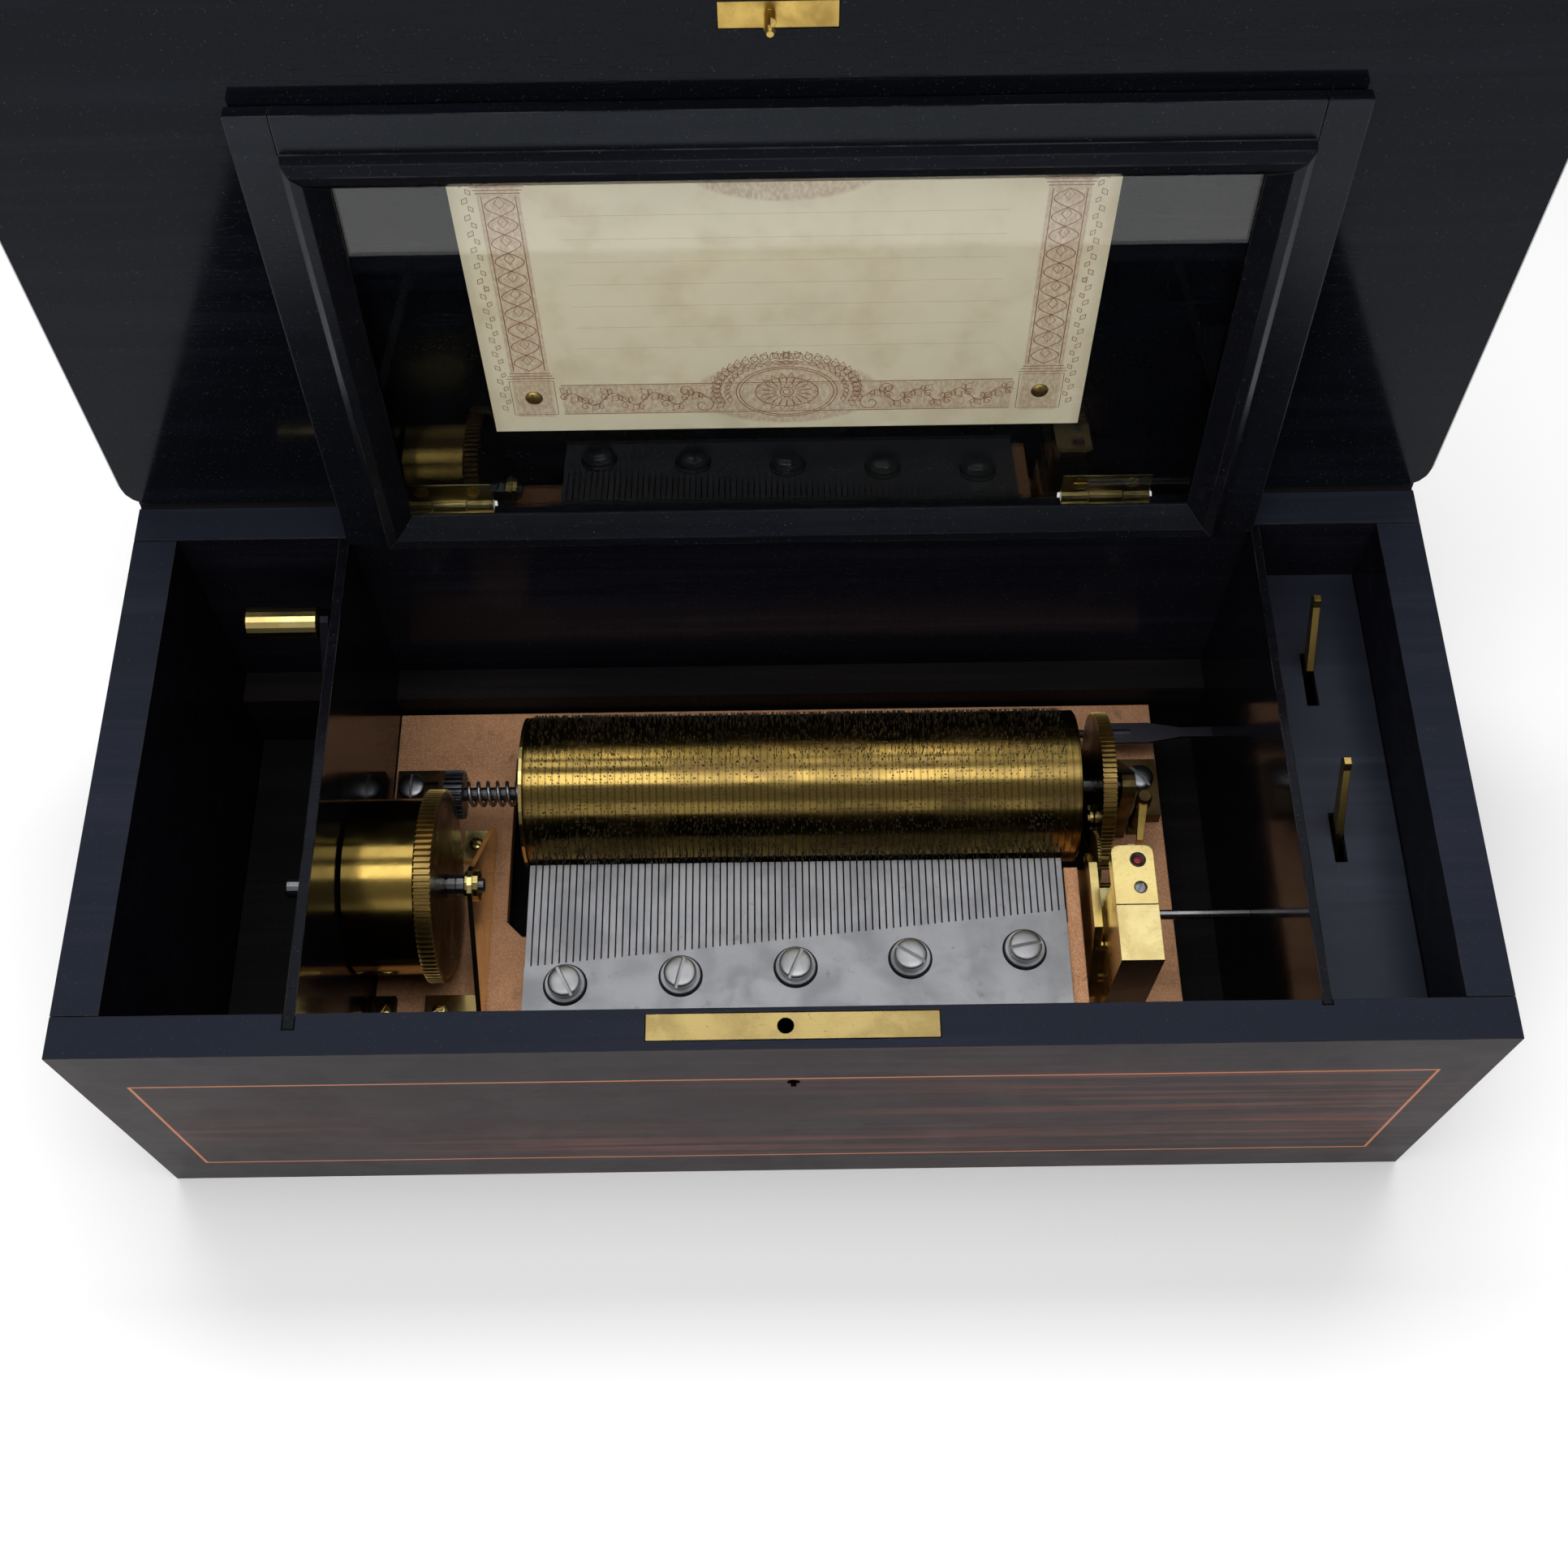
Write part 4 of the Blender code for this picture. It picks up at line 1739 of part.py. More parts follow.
def make_winding_lever():
    axis = BARREL_AXIS
    base_deg = math.degrees(math.atan2(WINDING_GRIP_Z - BARREL_Z, WINDING_GRIP_Y - BARREL_Y))
    end_radius = WINDING_ARM_WIDTH / 2
    spread = WINDING_HUB_SPREAD_DEG
    outline = arc(axis, WINDING_HUB_RADIUS, base_deg + spread, base_deg + 360 - spread, 14)
    grip_centre = lever_point(LEVER_LENGTH)
    outline += arc(grip_centre, end_radius, base_deg - 90, base_deg + 90, 6)
    item = finish(prism("X", outline, *WINDING_ARM_X), "winding_arm", "blued_steel", "winding_lever")
    ear = circle(click_pivot(), CLICK_EAR_RADIUS, SMALL_SIDES)
    low, high = WINDING_ARM_X
    ear_part = prism("X", ear, low + JOIN_INSET, high - JOIN_INSET)
    inner = WINDING_HUB_RADIUS * 0.7
    neck = [
        lever_point(inner, CLICK_PIVOT_DEG - 22),
        lever_point(CLICK_PIVOT_RADIUS, CLICK_PIVOT_DEG - 8),
        lever_point(CLICK_PIVOT_RADIUS, CLICK_PIVOT_DEG + 8),
        lever_point(inner, CLICK_PIVOT_DEG + 22),
    ]
    combine(item, ear_part, "click_ear", "winding_lever", operation="UNION")
    neck_part = prism("X", neck, low + 2 * JOIN_INSET, high - 2 * JOIN_INSET)
    combine(item, neck_part, "click_neck", "winding_lever", operation="UNION")
    stud = turned(
        "X",
        click_pivot(),
        (
            (WINDING_RATCHET_X[0] - CLICK_STUD_REACH, CLICK_STUD_RADIUS),
            ((low + high) / 2, CLICK_STUD_RADIUS),
        ),
        SMALL_SIDES,
    )
    combine(item, stud, "click_stud", "winding_lever", operation="UNION")
    spigot = turned(
        "X",
        grip_centre,
        (
            (WINDING_GRIP_LEFT_X + GRIP_SINK, WINDING_SPIGOT_RADIUS),
            ((low + high) / 2, WINDING_SPIGOT_RADIUS),
        ),
        SMALL_SIDES,
    )
    combine(item, spigot, "grip_spigot", "winding_lever", operation="UNION")
    bore = BARREL_ARBOR_RADIUS + BORE_CLEARANCE
    hub_bore = bore_cut("X", axis, bore, WINDING_ARM_X, SCREW_SIDES)
    combine(item, hub_bore, "lever_hub_bore", "winding_lever")
    make_grip(grip_centre)
    make_click()


def make_grip(centre):

    grip = WINDING_GRIP_RADIUS
    low = WINDING_GRIP_LEFT_X
    high = WINDING_ARM_X[0] - FIT_GAP
    grip_bore = WINDING_SPIGOT_RADIUS + BORE_CLEARANCE
    mesh_data = bmesh.new()
    add_sleeve(
        mesh_data,
        "X",
        centre,
        (
            (low, grip - GRIP_CHAMFER),
            (low + GRIP_CHAMFER, grip),
            (high - GRIP_CHAMFER, grip),
            (high, grip - GRIP_CHAMFER),
            (high, grip_bore),
            (low, grip_bore),
        ),
        SCREW_SIDES + 4,
    )
    finish(mesh_data, "winding_grip", "brass", "winding_lever", smooth=True)


def make_click():
    pivot = click_pivot()
    tip_radius = WINDING_RATCHET_RADIUS + FIT_GAP
    tip = lever_point(tip_radius, CLICK_PIVOT_DEG - CLICK_NOSE_DEG)
    back = lever_point(tip_radius + CLICK_NOSE_RISE, CLICK_PIVOT_DEG - CLICK_BACK_DEG)
    heading = math.degrees(math.atan2(tip[1] - pivot[1], tip[0] - pivot[0]))
    outline = arc(pivot, CLICK_HUB_RADIUS, heading + 70, heading + 290, 8)
    outline += [tip, back]
    click_x = (WINDING_RATCHET_X[0] + FIT_GAP, WINDING_RATCHET_X[1] - FIT_GAP)
    item = finish(prism("X", outline, *click_x), "winding_click", "steel", "click")
    hole = bore_cut("X", pivot, CLICK_STUD_RADIUS + BORE_CLEARANCE, click_x)
    combine(item, hole, "click_bore", "click")


def make_governor():
    left, right = GOVERNOR_LEFT_X, GOVERNOR_RIGHT_X
    front = GOVERNOR_FRONT_Y
    ledge_top = GOVERNOR_TOP - COCK_THICKNESS - FIT_GAP
    profile = (
        (front, BED_SEAT),
        (front, GOVERNOR_TOP),
        (COCK_FRONT_Y - FIT_GAP, GOVERNOR_TOP),
        (COCK_FRONT_Y - FIT_GAP, ledge_top),
        (LEDGE_REAR_Y, ledge_top),
        (LEDGE_REAR_Y, BED_SEAT + GOVERNOR_BASE_THICKNESS),
        (GOVERNOR_BASE_REAR_Y, BED_SEAT + GOVERNOR_BASE_THICKNESS),
        (GOVERNOR_BASE_REAR_Y, BED_SEAT),
    )
    item = finish(prism("X", profile, left, right), "governor_block", "brass")
    floor = BED_SEAT + GOVERNOR_BASE_THICKNESS - JOIN_INSET
    cheek = (
        (SECOND_AXIS[0] - CHEEK_REACH, floor),
        (SECOND_AXIS[0] - CHEEK_REACH, SECOND_AXIS[1] + CHEEK_REACH),
        (FIRST_AXIS[0] - CHEEK_REACH, FIRST_AXIS[1] + CHEEK_REACH),
        (FIRST_AXIS[0] + CHEEK_REACH, FIRST_AXIS[1] + CHEEK_REACH),
        (FIRST_AXIS[0] + CHEEK_REACH, floor + CHEEK_STEP),
        (GOVERNOR_BASE_REAR_Y - JOIN_INSET, floor),
    )
    cheek_x = (CHEEK_LEFT_X, CHEEK_LEFT_X + CHEEK_THICKNESS)
    combine(item, prism("X", cheek, *cheek_x), "governor_cheek", operation="UNION")
    worm_bore = WORM_JOURNAL_RADIUS + BORE_CLEARANCE
    screw_bore = COCK_SCREW_SHANK_RADIUS + BORE_CLEARANCE
    foot_low = BED_SEAT + WORM_FOOT_DEPTH
    screw_low = GOVERNOR_TOP - COCK_SCREW_SINK - COCK_SCREW_LENGTH
    cuts = bmesh.new()
    for axis in (FIRST_AXIS, SECOND_AXIS):
        add_bore(cuts, "X", axis, PIVOT_BORE, cheek_x, PIVOT_SIDES)
    worm_foot = ((foot_low, worm_bore), (foot_low + CUT_PAST, worm_bore))
    add_turned(cuts, "Z", (WORM_X, WORM_Y), worm_foot, PIVOT_SIDES)
    screw_hole = ((screw_low, screw_bore), (GOVERNOR_TOP + CUT_PAST, screw_bore))
    add_turned(cuts, "Z", (WORM_X, COCK_SCREW_Y), screw_hole, SMALL_SIDES)
    combine(item, cuts, "governor_bores")
    rod_bore = START_ROD_RADIUS / 2 + BORE_CLEARANCE
    rod_hole = ((right - START_ROD_PIVOT_DEPTH - FIT_GAP, rod_bore), (right + CUT_PAST, rod_bore))
    combine(item, turned("X", (START_AXIS_Y, START_AXIS_Z), rod_hole, PIVOT_SIDES), "start_rod_bore")
    make_side_plate()
    make_cock(worm_bore, screw_bore)


def make_side_plate():
    front = GOVERNOR_FRONT_Y + PLATE_FRONT_INSET
    shoulder_y, shoulder_rise = PLATE_SHOULDER
    plate = (
        (front, BED_SEAT),
        (front, BED_SEAT + PLATE_FRONT_STEP),
        (shoulder_y, FIRST_AXIS[1] + shoulder_rise),
        (FIRST_AXIS[0] - 3 * PLATE_MARGIN, FIRST_AXIS[1] + shoulder_rise),
        (FIRST_AXIS[0] + PLATE_MARGIN, FIRST_AXIS[1] + PLATE_MARGIN),
        (FIRST_AXIS[0] + PLATE_MARGIN, BED_SEAT),
    )
    item = finish(prism("X", plate, *PIVOT_PLATE_X), "governor_side_plate", "brass")
    middle = sum(PIVOT_PLATE_X) / 2
    pillars = bmesh.new()
    for place in PLATE_PILLARS:
        profile = ((middle, PLATE_PILLAR_RADIUS), (GOVERNOR_LEFT_X - FIT_GAP, PLATE_PILLAR_RADIUS))
        add_turned(pillars, "X", place, profile, SMALL_SIDES)
    combine(item, pillars, "plate_pillars", operation="UNION")
    plate_cuts = bmesh.new()
    for axis in (FIRST_AXIS, SECOND_AXIS):
        add_bore(plate_cuts, "X", axis, PIVOT_BORE, (PIVOT_PLATE_X[0], middle), PIVOT_SIDES)
    combine(item, plate_cuts, "plate_bores")


def make_cock(worm_bore, screw_bore):
    """The cock's rear corners are round; its front edge meets the block square."""
    left, right = GOVERNOR_LEFT_X, GOVERNOR_RIGHT_X
    rounded = rounded_rectangle((left, COCK_FRONT_Y), (right, COCK_REAR_Y), COCK_CORNER_RADIUS, 3)
    middle_y = (COCK_FRONT_Y + COCK_REAR_Y) / 2
    outline = [point for point in rounded if point[1] > middle_y]
    outline += [(left, COCK_FRONT_Y), (right, COCK_FRONT_Y)]
    low = GOVERNOR_TOP - COCK_THICKNESS
    middle_z = GOVERNOR_TOP - COCK_THICKNESS / 2
    item = finish(prism("Z", outline, low, GOVERNOR_TOP), "governor_cock", "brass")
    holes = bmesh.new()
    worm_hole = ((low - CUT_PAST, worm_bore), (middle_z - ENDSTONE_SINK, worm_bore))
    add_turned(holes, "Z", (WORM_X, WORM_Y), worm_hole, PIVOT_SIDES)
    head = COCK_SCREW_HEAD_RADIUS + BORE_CLEARANCE
    seat = GOVERNOR_TOP - COCK_SCREW_SINK
    screw_hole = ((low - CUT_PAST, screw_bore), (seat, screw_bore), (seat, head), (seat + CUT_PAST, head))
    add_turned(holes, "Z", (WORM_X, COCK_SCREW_Y), screw_hole, SCREW_SIDES)
    stone = turned(
        "Z",
        (WORM_X, WORM_Y),
        ((GOVERNOR_TOP - ENDSTONE_SINK * 2, ENDSTONE_RADIUS), (GOVERNOR_TOP + CUT_PAST, ENDSTONE_RADIUS)),
        SCREW_SIDES,
    )
    combine(item, holes, "cock_holes")
    combine(item, stone, "endstone_seat")


def make_governor_train():
    radius = FIRST_ARBOR_RADIUS
    pivot = radius * BARREL_PIVOT_SHARE
    left_end = PIVOT_PLATE_X[0] + FIT_GAP
    right_end = CHEEK_LEFT_X + CHEEK_THICKNESS - FIT_GAP
    shoulder_left = PIVOT_PLATE_X[1] + JOIN_INSET
    shoulder_right = CHEEK_LEFT_X - RUNNING_GAP

    arbor = (
        (left_end, pivot),
        (shoulder_left, pivot),
        (shoulder_left, radius),
        (shoulder_right, radius),
        (shoulder_right, pivot),
        (right_end, pivot),
    )
    item = finish(turned("X", FIRST_AXIS, arbor, PIVOT_SIDES), "first_wheel", "brass", "first_arbor")
    leaves = prism(
        "X",
        gear_outline(FIRST_AXIS, FIRST_PINION_TEETH, MODULE_DRIVE, CYLINDER_AXIS, gap_first=True),
        *FIRST_PINION_X,
    )
    combine(item, leaves, "first_pinion_leaves", "first_arbor", operation="UNION")
    wheel = prism(
        "X",
        gear_outline(FIRST_AXIS, FIRST_WHEEL_TEETH, MODULE_GOVERNOR, SECOND_AXIS),
        *FIRST_WHEEL_X,
    )
    combine(item, wheel, "first_wheel_disc", "first_arbor", operation="UNION")

    item = finish(turned("X", SECOND_AXIS, arbor, PIVOT_SIDES), "second_wheel", "brass", "second_arbor")
    leaves = prism(
        "X",
        gear_outline(SECOND_AXIS, SECOND_PINION_TEETH, MODULE_GOVERNOR, FIRST_AXIS, gap_first=True),
        FIRST_WHEEL_X[0] - LEAF_SINK,
        FIRST_WHEEL_X[1] + LEAF_SINK,
    )
    combine(item, leaves, "second_pinion_leaves", "second_arbor", operation="UNION")
    half = WORM_WHEEL_THICKNESS / 2
    wheel = prism(
        "X",
        gear_outline(SECOND_AXIS, WORM_WHEEL_TEETH, MODULE_WORM, (WORM_Y, SECOND_AXIS[1])),
        WORM_X - half,
        WORM_X + half,
    )
    combine(item, wheel, "second_wheel_disc", "second_arbor", operation="UNION")

    base_top = BED_SEAT + GOVERNOR_BASE_THICKNESS
    cock_low = GOVERNOR_TOP - COCK_THICKNESS
    journal = WORM_JOURNAL_RADIUS
    spindle = turned(
        "Z",
        (WORM_X, WORM_Y),
        (
            (BED_SEAT + WORM_FOOT_DEPTH + FIT_GAP, journal),
            (base_top + RUNNING_GAP, journal),
            (base_top + RUNNING_GAP, WORM_RADIUS),
            (cock_low - RUNNING_GAP, WORM_RADIUS),
            (cock_low - RUNNING_GAP, journal),
            (GOVERNOR_TOP - COCK_THICKNESS / 2 - ENDSTONE_SINK - FIT_GAP, journal),
        ),
        SMALL_SIDES,
    )
    item = finish(spindle, "governor_fly", "steel", "fly")
    blades = boxes(
        (
            (WORM_X - FLY_RADIUS, WORM_Y - FLY_THICKNESS / 2, FLY_BOTTOM),
            (WORM_X + FLY_RADIUS, WORM_Y + FLY_THICKNESS / 2, FLY_TOP),
        ),
    )
    combine(item, blades, "fly_wings", "fly", operation="UNION")


def make_lever(name, body, place, elbow, top):
    """A flat bent lever from its hub up through the raised floor to a rounded finger."""
    x, *axis = place
    half = CONTROL_LEVER_THICKNESS / 2
    wide = CONTROL_LEVER_WIDTH / 2
    outline = arc(axis, CONTROL_HUB_RADIUS, 130, 410, 10)
    outline += [
        (elbow[0] + wide, elbow[1]),
        (top[0] + wide, top[1] - wide),
        (top[0] + wide / 2, top[1]),
        (top[0] - wide / 2, top[1]),
        (top[0] - wide, top[1] - wide),
        (elbow[0] - wide, elbow[1] + wide),
    ]
    item = finish(prism("X", outline, x - half, x + half), name, "brass", body)
    hub_radius = CONTROL_HUB_RADIUS - FIT_GAP
    reach = CONTROL_HUB_LENGTH / 2
    hub = turned("X", axis, ((x - reach, hub_radius), (x + reach, hub_radius)), SCREW_SIDES)
    combine(item, hub, f"{name}_hub", body, operation="UNION")
    return item


def make_start_control():
    place = (START_LEVER_X, START_AXIS_Y, START_AXIS_Z)
    item = make_lever("start_lever", "start_control", place, START_LEVER_ELBOW, START_LEVER_TOP)
    shoulder = GOVERNOR_RIGHT_X + RUNNING_GAP
    rod = turned(
        "X",
        place[1:],
        (
            (GOVERNOR_RIGHT_X - START_ROD_PIVOT_DEPTH, START_ROD_RADIUS / 2),
            (shoulder, START_ROD_RADIUS / 2),
            (shoulder, START_ROD_RADIUS),
            (START_LEVER_X + CONTROL_HUB_LENGTH / 2, START_ROD_RADIUS),
        ),
        SMALL_SIDES,
    )
    combine(item, rod, "start_rod", "start_control", operation="UNION")


def make_change_control():
    change_axis = (CHANGE_AXIS_Y, CHANGE_AXIS_Z)
    place = (CHANGE_LEVER_X, *change_axis)
    item = make_lever("change_lever", "change_control", place, CHANGE_LEVER_ELBOW, CHANGE_LEVER_TOP)
    bore = CHANGE_SHAFT_RADIUS + BORE_CLEARANCE
    shaft_hole = bore_cut("X", change_axis, bore, (CHANGE_LEVER_X, CHANGE_LEVER_X), SCREW_SIDES)
    combine(item, shaft_hole, "change_bore", "change_control")
    flat = CHANGE_BLADE_THICKNESS / 2
    tip = CHANGE_BLADE_TIP_WIDTH / 2 - FIT_GAP
    root = CHANGE_BLADE_WIDTH / 2
    blade_end = RIGHT_PARTITION_X[1] + CHANGE_BLADE_END
    neck = RIGHT_PARTITION_X[0] - CHANGE_BLADE_NECK
    outline = (
        (CHANGE_BLADE_LEFT_X, CHANGE_AXIS_Y - root),
        (CHANGE_BLADE_LEFT_X + CHANGE_BLADE_STRAIGHT, CHANGE_AXIS_Y - root),
        (neck, CHANGE_AXIS_Y - tip),
        (blade_end, CHANGE_AXIS_Y - tip),
        (blade_end, CHANGE_AXIS_Y + tip),
        (neck, CHANGE_AXIS_Y + tip),
        (CHANGE_BLADE_LEFT_X + CHANGE_BLADE_STRAIGHT, CHANGE_AXIS_Y + root),
        (CHANGE_BLADE_LEFT_X, CHANGE_AXIS_Y + root),
    )
    blade = prism("Z", outline, CHANGE_AXIS_Z - flat, CHANGE_AXIS_Z + flat)
    item = finish(blade, "change_blade", "steel", "change_control")
    right_shaft = turned(
        "X",
        change_axis,
        (
            (RIGHT_PARTITION_X[1] + CHANGE_BLADE_END / 4, CHANGE_SHAFT_RADIUS),
            (CHANGE_LEVER_X + CONTROL_HUB_LENGTH / 2, CHANGE_SHAFT_RADIUS),
        ),
        SMALL_SIDES,
    )
    combine(item, right_shaft, "change_right_shaft", "change_control", operation="UNION")
    shaft_start = CHANGE_ARM_X[0] + JOIN_INSET
    shaft_end = CHANGE_BLADE_LEFT_X + CHANGE_BLADE_STRAIGHT / 2
    shaft_radius = CHANGE_INNER_SHAFT_RADIUS
    left_shaft = turned(
        "X",
        change_axis,
        ((shaft_start, shaft_radius), (shaft_end, shaft_radius)),
        SMALL_SIDES,
    )
    combine(item, left_shaft, "change_left_shaft", "change_control", operation="UNION")
    arm = arc(change_axis, CHANGE_ARM_HUB_RADIUS, 180, 330, 5) + [
        (CHANGE_AXIS_Y + CHANGE_ARM_REACH, CHANGE_AXIS_Z + CHANGE_ARM_RISE / 2),
        (CHANGE_AXIS_Y + CHANGE_ARM_REACH * 0.8, CHANGE_AXIS_Z + CHANGE_ARM_RISE),
        (CHANGE_AXIS_Y, CHANGE_AXIS_Z + CHANGE_ARM_HUB_RADIUS),
    ]
    combine(item, prism("X", arm, *CHANGE_ARM_X), "change_arm", "change_control", operation="UNION")


def make_stop_arm():
    tip_place = Vector((STOP_ARM_TIP_X, STOP_ARM_TIP_Y))
    post = Vector((STOP_POST_X, STOP_POST_Y))
    along = (tip_place - post).normalized()
    side = Vector((-along.y, along.x)) * STOP_ARM_WIDTH / 2
    tip_side = side * 0.7
    corners = (post + side, post - side, tip_place - tip_side, tip_place + tip_side)
    outline = [tuple(corner) for corner in corners]
    low = STOP_ARM_BOTTOM
    item = finish(prism("Z", outline, low, low + STOP_ARM_HEIGHT), "stop_arm", "brass", "stop_arm")
    hub = turned(
        "Z",
        tuple(post),
        (
            (low - STOP_HUB_RISE, STOP_HUB_RADIUS),
            (low + STOP_ARM_HEIGHT + STOP_HUB_RISE, STOP_HUB_RADIUS),
        ),
        SMALL_SIDES,
    )
    combine(item, hub, "stop_arm_hub", "stop_arm", operation="UNION")
    bore = STOP_POST_RADIUS + BORE_CLEARANCE
    hub_bore = bore_cut("Z", tuple(post), bore, (low, low + STOP_ARM_HEIGHT))
    combine(item, hub_bore, "stop_arm_bore", "stop_arm")


def stop_post():
    """The post the stop arm turns on, which stands on a lug of the cylinder's right bridge."""
    hub_low = STOP_ARM_BOTTOM - STOP_HUB_RISE
    hub_high = STOP_ARM_BOTTOM + STOP_ARM_HEIGHT + STOP_HUB_RISE
    shoulder = STOP_POST_RADIUS + STOP_HUB_RISE
    return turned(
        "Z",
        (STOP_POST_X, STOP_POST_Y),
        (
            (BED_SEAT + BRIDGE_FOOT_HEIGHT / 4, shoulder),
            (hub_low - FIT_GAP, shoulder),
            (hub_low - FIT_GAP, STOP_POST_RADIUS),
            (hub_high + FIT_GAP, STOP_POST_RADIUS),
            (hub_high + FIT_GAP, STOP_HUB_RADIUS),
            (hub_high + 2 * STOP_HUB_RISE, STOP_HUB_RADIUS * 0.8),
        ),
        SMALL_SIDES,
    )


def build():
    clear_scene()
    make_materials()
    make_bodies()
    make_case_walls()
    make_case_inside()
    make_lock()
    make_lid_hinges()
    make_lid()
    make_glass_lid()
    make_bedplate()
    make_comb()
    make_cylinder_bridges()
    make_cylinder()
    make_barrel_bridges()
    make_bridge_screws()
    make_barrel()
    make_winding_lever()
    make_governor()
    make_governor_train()
    make_start_control()
    make_change_control()
    make_stop_arm()


build()
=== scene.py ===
import math
import random

import bpy
from mathutils import Euler, Matrix, Vector


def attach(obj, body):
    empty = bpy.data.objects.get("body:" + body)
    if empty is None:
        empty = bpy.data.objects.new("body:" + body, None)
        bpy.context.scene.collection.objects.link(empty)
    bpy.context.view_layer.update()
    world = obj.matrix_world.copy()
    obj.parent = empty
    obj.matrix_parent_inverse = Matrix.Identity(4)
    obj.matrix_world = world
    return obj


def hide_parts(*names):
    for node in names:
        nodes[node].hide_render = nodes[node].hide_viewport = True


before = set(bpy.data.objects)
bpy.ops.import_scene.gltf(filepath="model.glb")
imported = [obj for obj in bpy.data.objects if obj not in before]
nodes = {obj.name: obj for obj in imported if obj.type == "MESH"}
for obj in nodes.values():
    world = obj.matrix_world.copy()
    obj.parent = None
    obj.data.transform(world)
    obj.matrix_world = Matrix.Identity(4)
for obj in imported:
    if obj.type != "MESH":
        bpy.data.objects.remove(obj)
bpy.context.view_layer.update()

print("frame loaded with", len(nodes), "nodes")


# Working habits: selection, finishing and copies

def deselectAll():
    for item in bpy.context.selected_objects:
        item.select_set(False)


def pickUp(piece):
    deselectAll()
    piece.select_set(True)
    bpy.context.view_layer.objects.active = piece


def selectAll():
    bpy.ops.mesh.select_all(action="SELECT")


def editAll():
    bpy.ops.object.mode_set(mode="EDIT")
    bpy.ops.mesh.select_mode(type="VERT")
    selectAll()


def objectMode():
    bpy.ops.object.mode_set(mode="OBJECT")


def turnNormalsOut():
    selectAll()
    bpy.ops.mesh.normals_make_consistent(inside=False)
    objectMode()


def applyPlace(piece):
    pickUp(piece)
    bpy.ops.object.transform_apply(location=True, rotation=True, scale=True)


def finishPiece(piece, name, body, finish, smoothDegrees=35):
    applyPlace(piece)
    piece.name = name
    piece.data.name = name
    piece.data.materials.clear()
    piece.data.materials.append(finishes[finish])
    if smoothDegrees:
        bpy.ops.object.shade_smooth_by_angle(angle=math.radians(smoothDegrees))
    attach(piece, body)


def addObject(name, data):
    item = bpy.data.objects.new(name, data)
    bpy.context.scene.collection.objects.link(item)
    return item


def copyPiece(piece, place):
    twin = addObject(piece.name, piece.data.copy())
    twin.matrix_world = place
    return twin


def upright(place, degrees=0):
    return Matrix.Translation(place) @ Matrix.Rotation(math.radians(degrees), 4, "Z")


def discard(piece):
    bpy.data.objects.remove(piece)


# A closed outline of (along, radius) points, spun once round the X or Z axis through centre
def turnedPiece(outline, centre, axis, sides):
    deselectAll()
    bpy.ops.mesh.primitive_circle_add(vertices=len(outline), radius=0.01, fill_type="NOTHING")
    piece = bpy.context.active_object
    for vertex, (along, radius) in zip(piece.data.vertices, outline):
        if axis == "X":
            vertex.co = (along, centre[1], centre[2] + radius)
        else:
            vertex.co = (centre[0] + radius, centre[1], along)
    editAll()
    direction = (1, 0, 0) if axis == "X" else (0, 0, 1)
    bpy.ops.mesh.spin(steps=sides, dupli=False, angle=math.tau, center=centre, axis=direction)
    selectAll()
    bpy.ops.mesh.remove_doubles(threshold=0.000001)
    turnNormalsOut()
    return piece


# An outline meets its axis at poleRadius; the poles are merged afterwards and the wire between them dropped
poleRadius = 0.00001


def closePoles(piece):
    pickUp(piece)
    editAll()
    bpy.ops.mesh.remove_doubles(threshold=3 * poleRadius)
    selectAll()
    bpy.ops.mesh.delete_loose(use_verts=True, use_edges=True, use_faces=False)
    turnNormalsOut()


def cutWith(piece, cutter):
    modifier = piece.modifiers.new("cut", "BOOLEAN")
    modifier.operation = "DIFFERENCE"
    modifier.solver = "EXACT"
    modifier.object = cutter
    pickUp(piece)
    bpy.ops.object.modifier_apply(modifier="cut")
    discard(cutter)


def slabAt(low, high):
    deselectAll()
    bpy.ops.mesh.primitive_cube_add(size=1)
    piece = bpy.context.active_object
    piece.scale = [high[i] - low[i] for i in range(3)]
    piece.location = [(high[i] + low[i]) / 2 for i in range(3)]
    applyPlace(piece)
    return piece


# A round wire along each stroke, given as (points, width, closed), turned into a mesh
def wirePiece(name, lines, depth, resolution):
    curve = bpy.data.curves.new(name, "CURVE")
    curve.dimensions = "3D"
    curve.bevel_depth = depth
    curve.bevel_resolution = resolution
    curve.use_fill_caps = True
    for points, width, closed in lines:
        spline = curve.splines.new("POLY")
        spline.points.add(len(points) - 1)
        spline.use_cyclic_u = closed
        for point, place in zip(spline.points, points):
            point.co = (*place, 1)
            point.radius = width
    pickUp(addObject(name, curve))
    bpy.ops.object.convert(target="MESH")
    return bpy.context.active_object


# A colour as a paint chart gives it, turned into the shader's light values
def tint(red, green, blue):
    def level(value):
        value = value / 255
        return value / 12.92 if value <= 0.04045 else ((value + 0.055) / 1.055) ** 2.4
    return (level(red), level(green), level(blue), 1.0)


def feed(tree, socket, value):
    if isinstance(value, bpy.types.NodeSocket):
        tree.links.new(value, socket)
    elif value is not None:
        socket.default_value = value


def calc(tree, operation, first, second=None, third=None):
    node = tree.nodes.new("ShaderNodeMath")
    node.operation = operation
    for socket, value in zip(node.inputs, (first, second, third)):
        feed(tree, socket, value)
    return node.outputs[0]


def times(tree, first, second):
    return calc(tree, "MULTIPLY", first, second)


def minus(tree, first, second):
    return calc(tree, "SUBTRACT", first, second)


def scaled(tree, value, factor, base):
    return calc(tree, "MULTIPLY_ADD", value, factor, base)


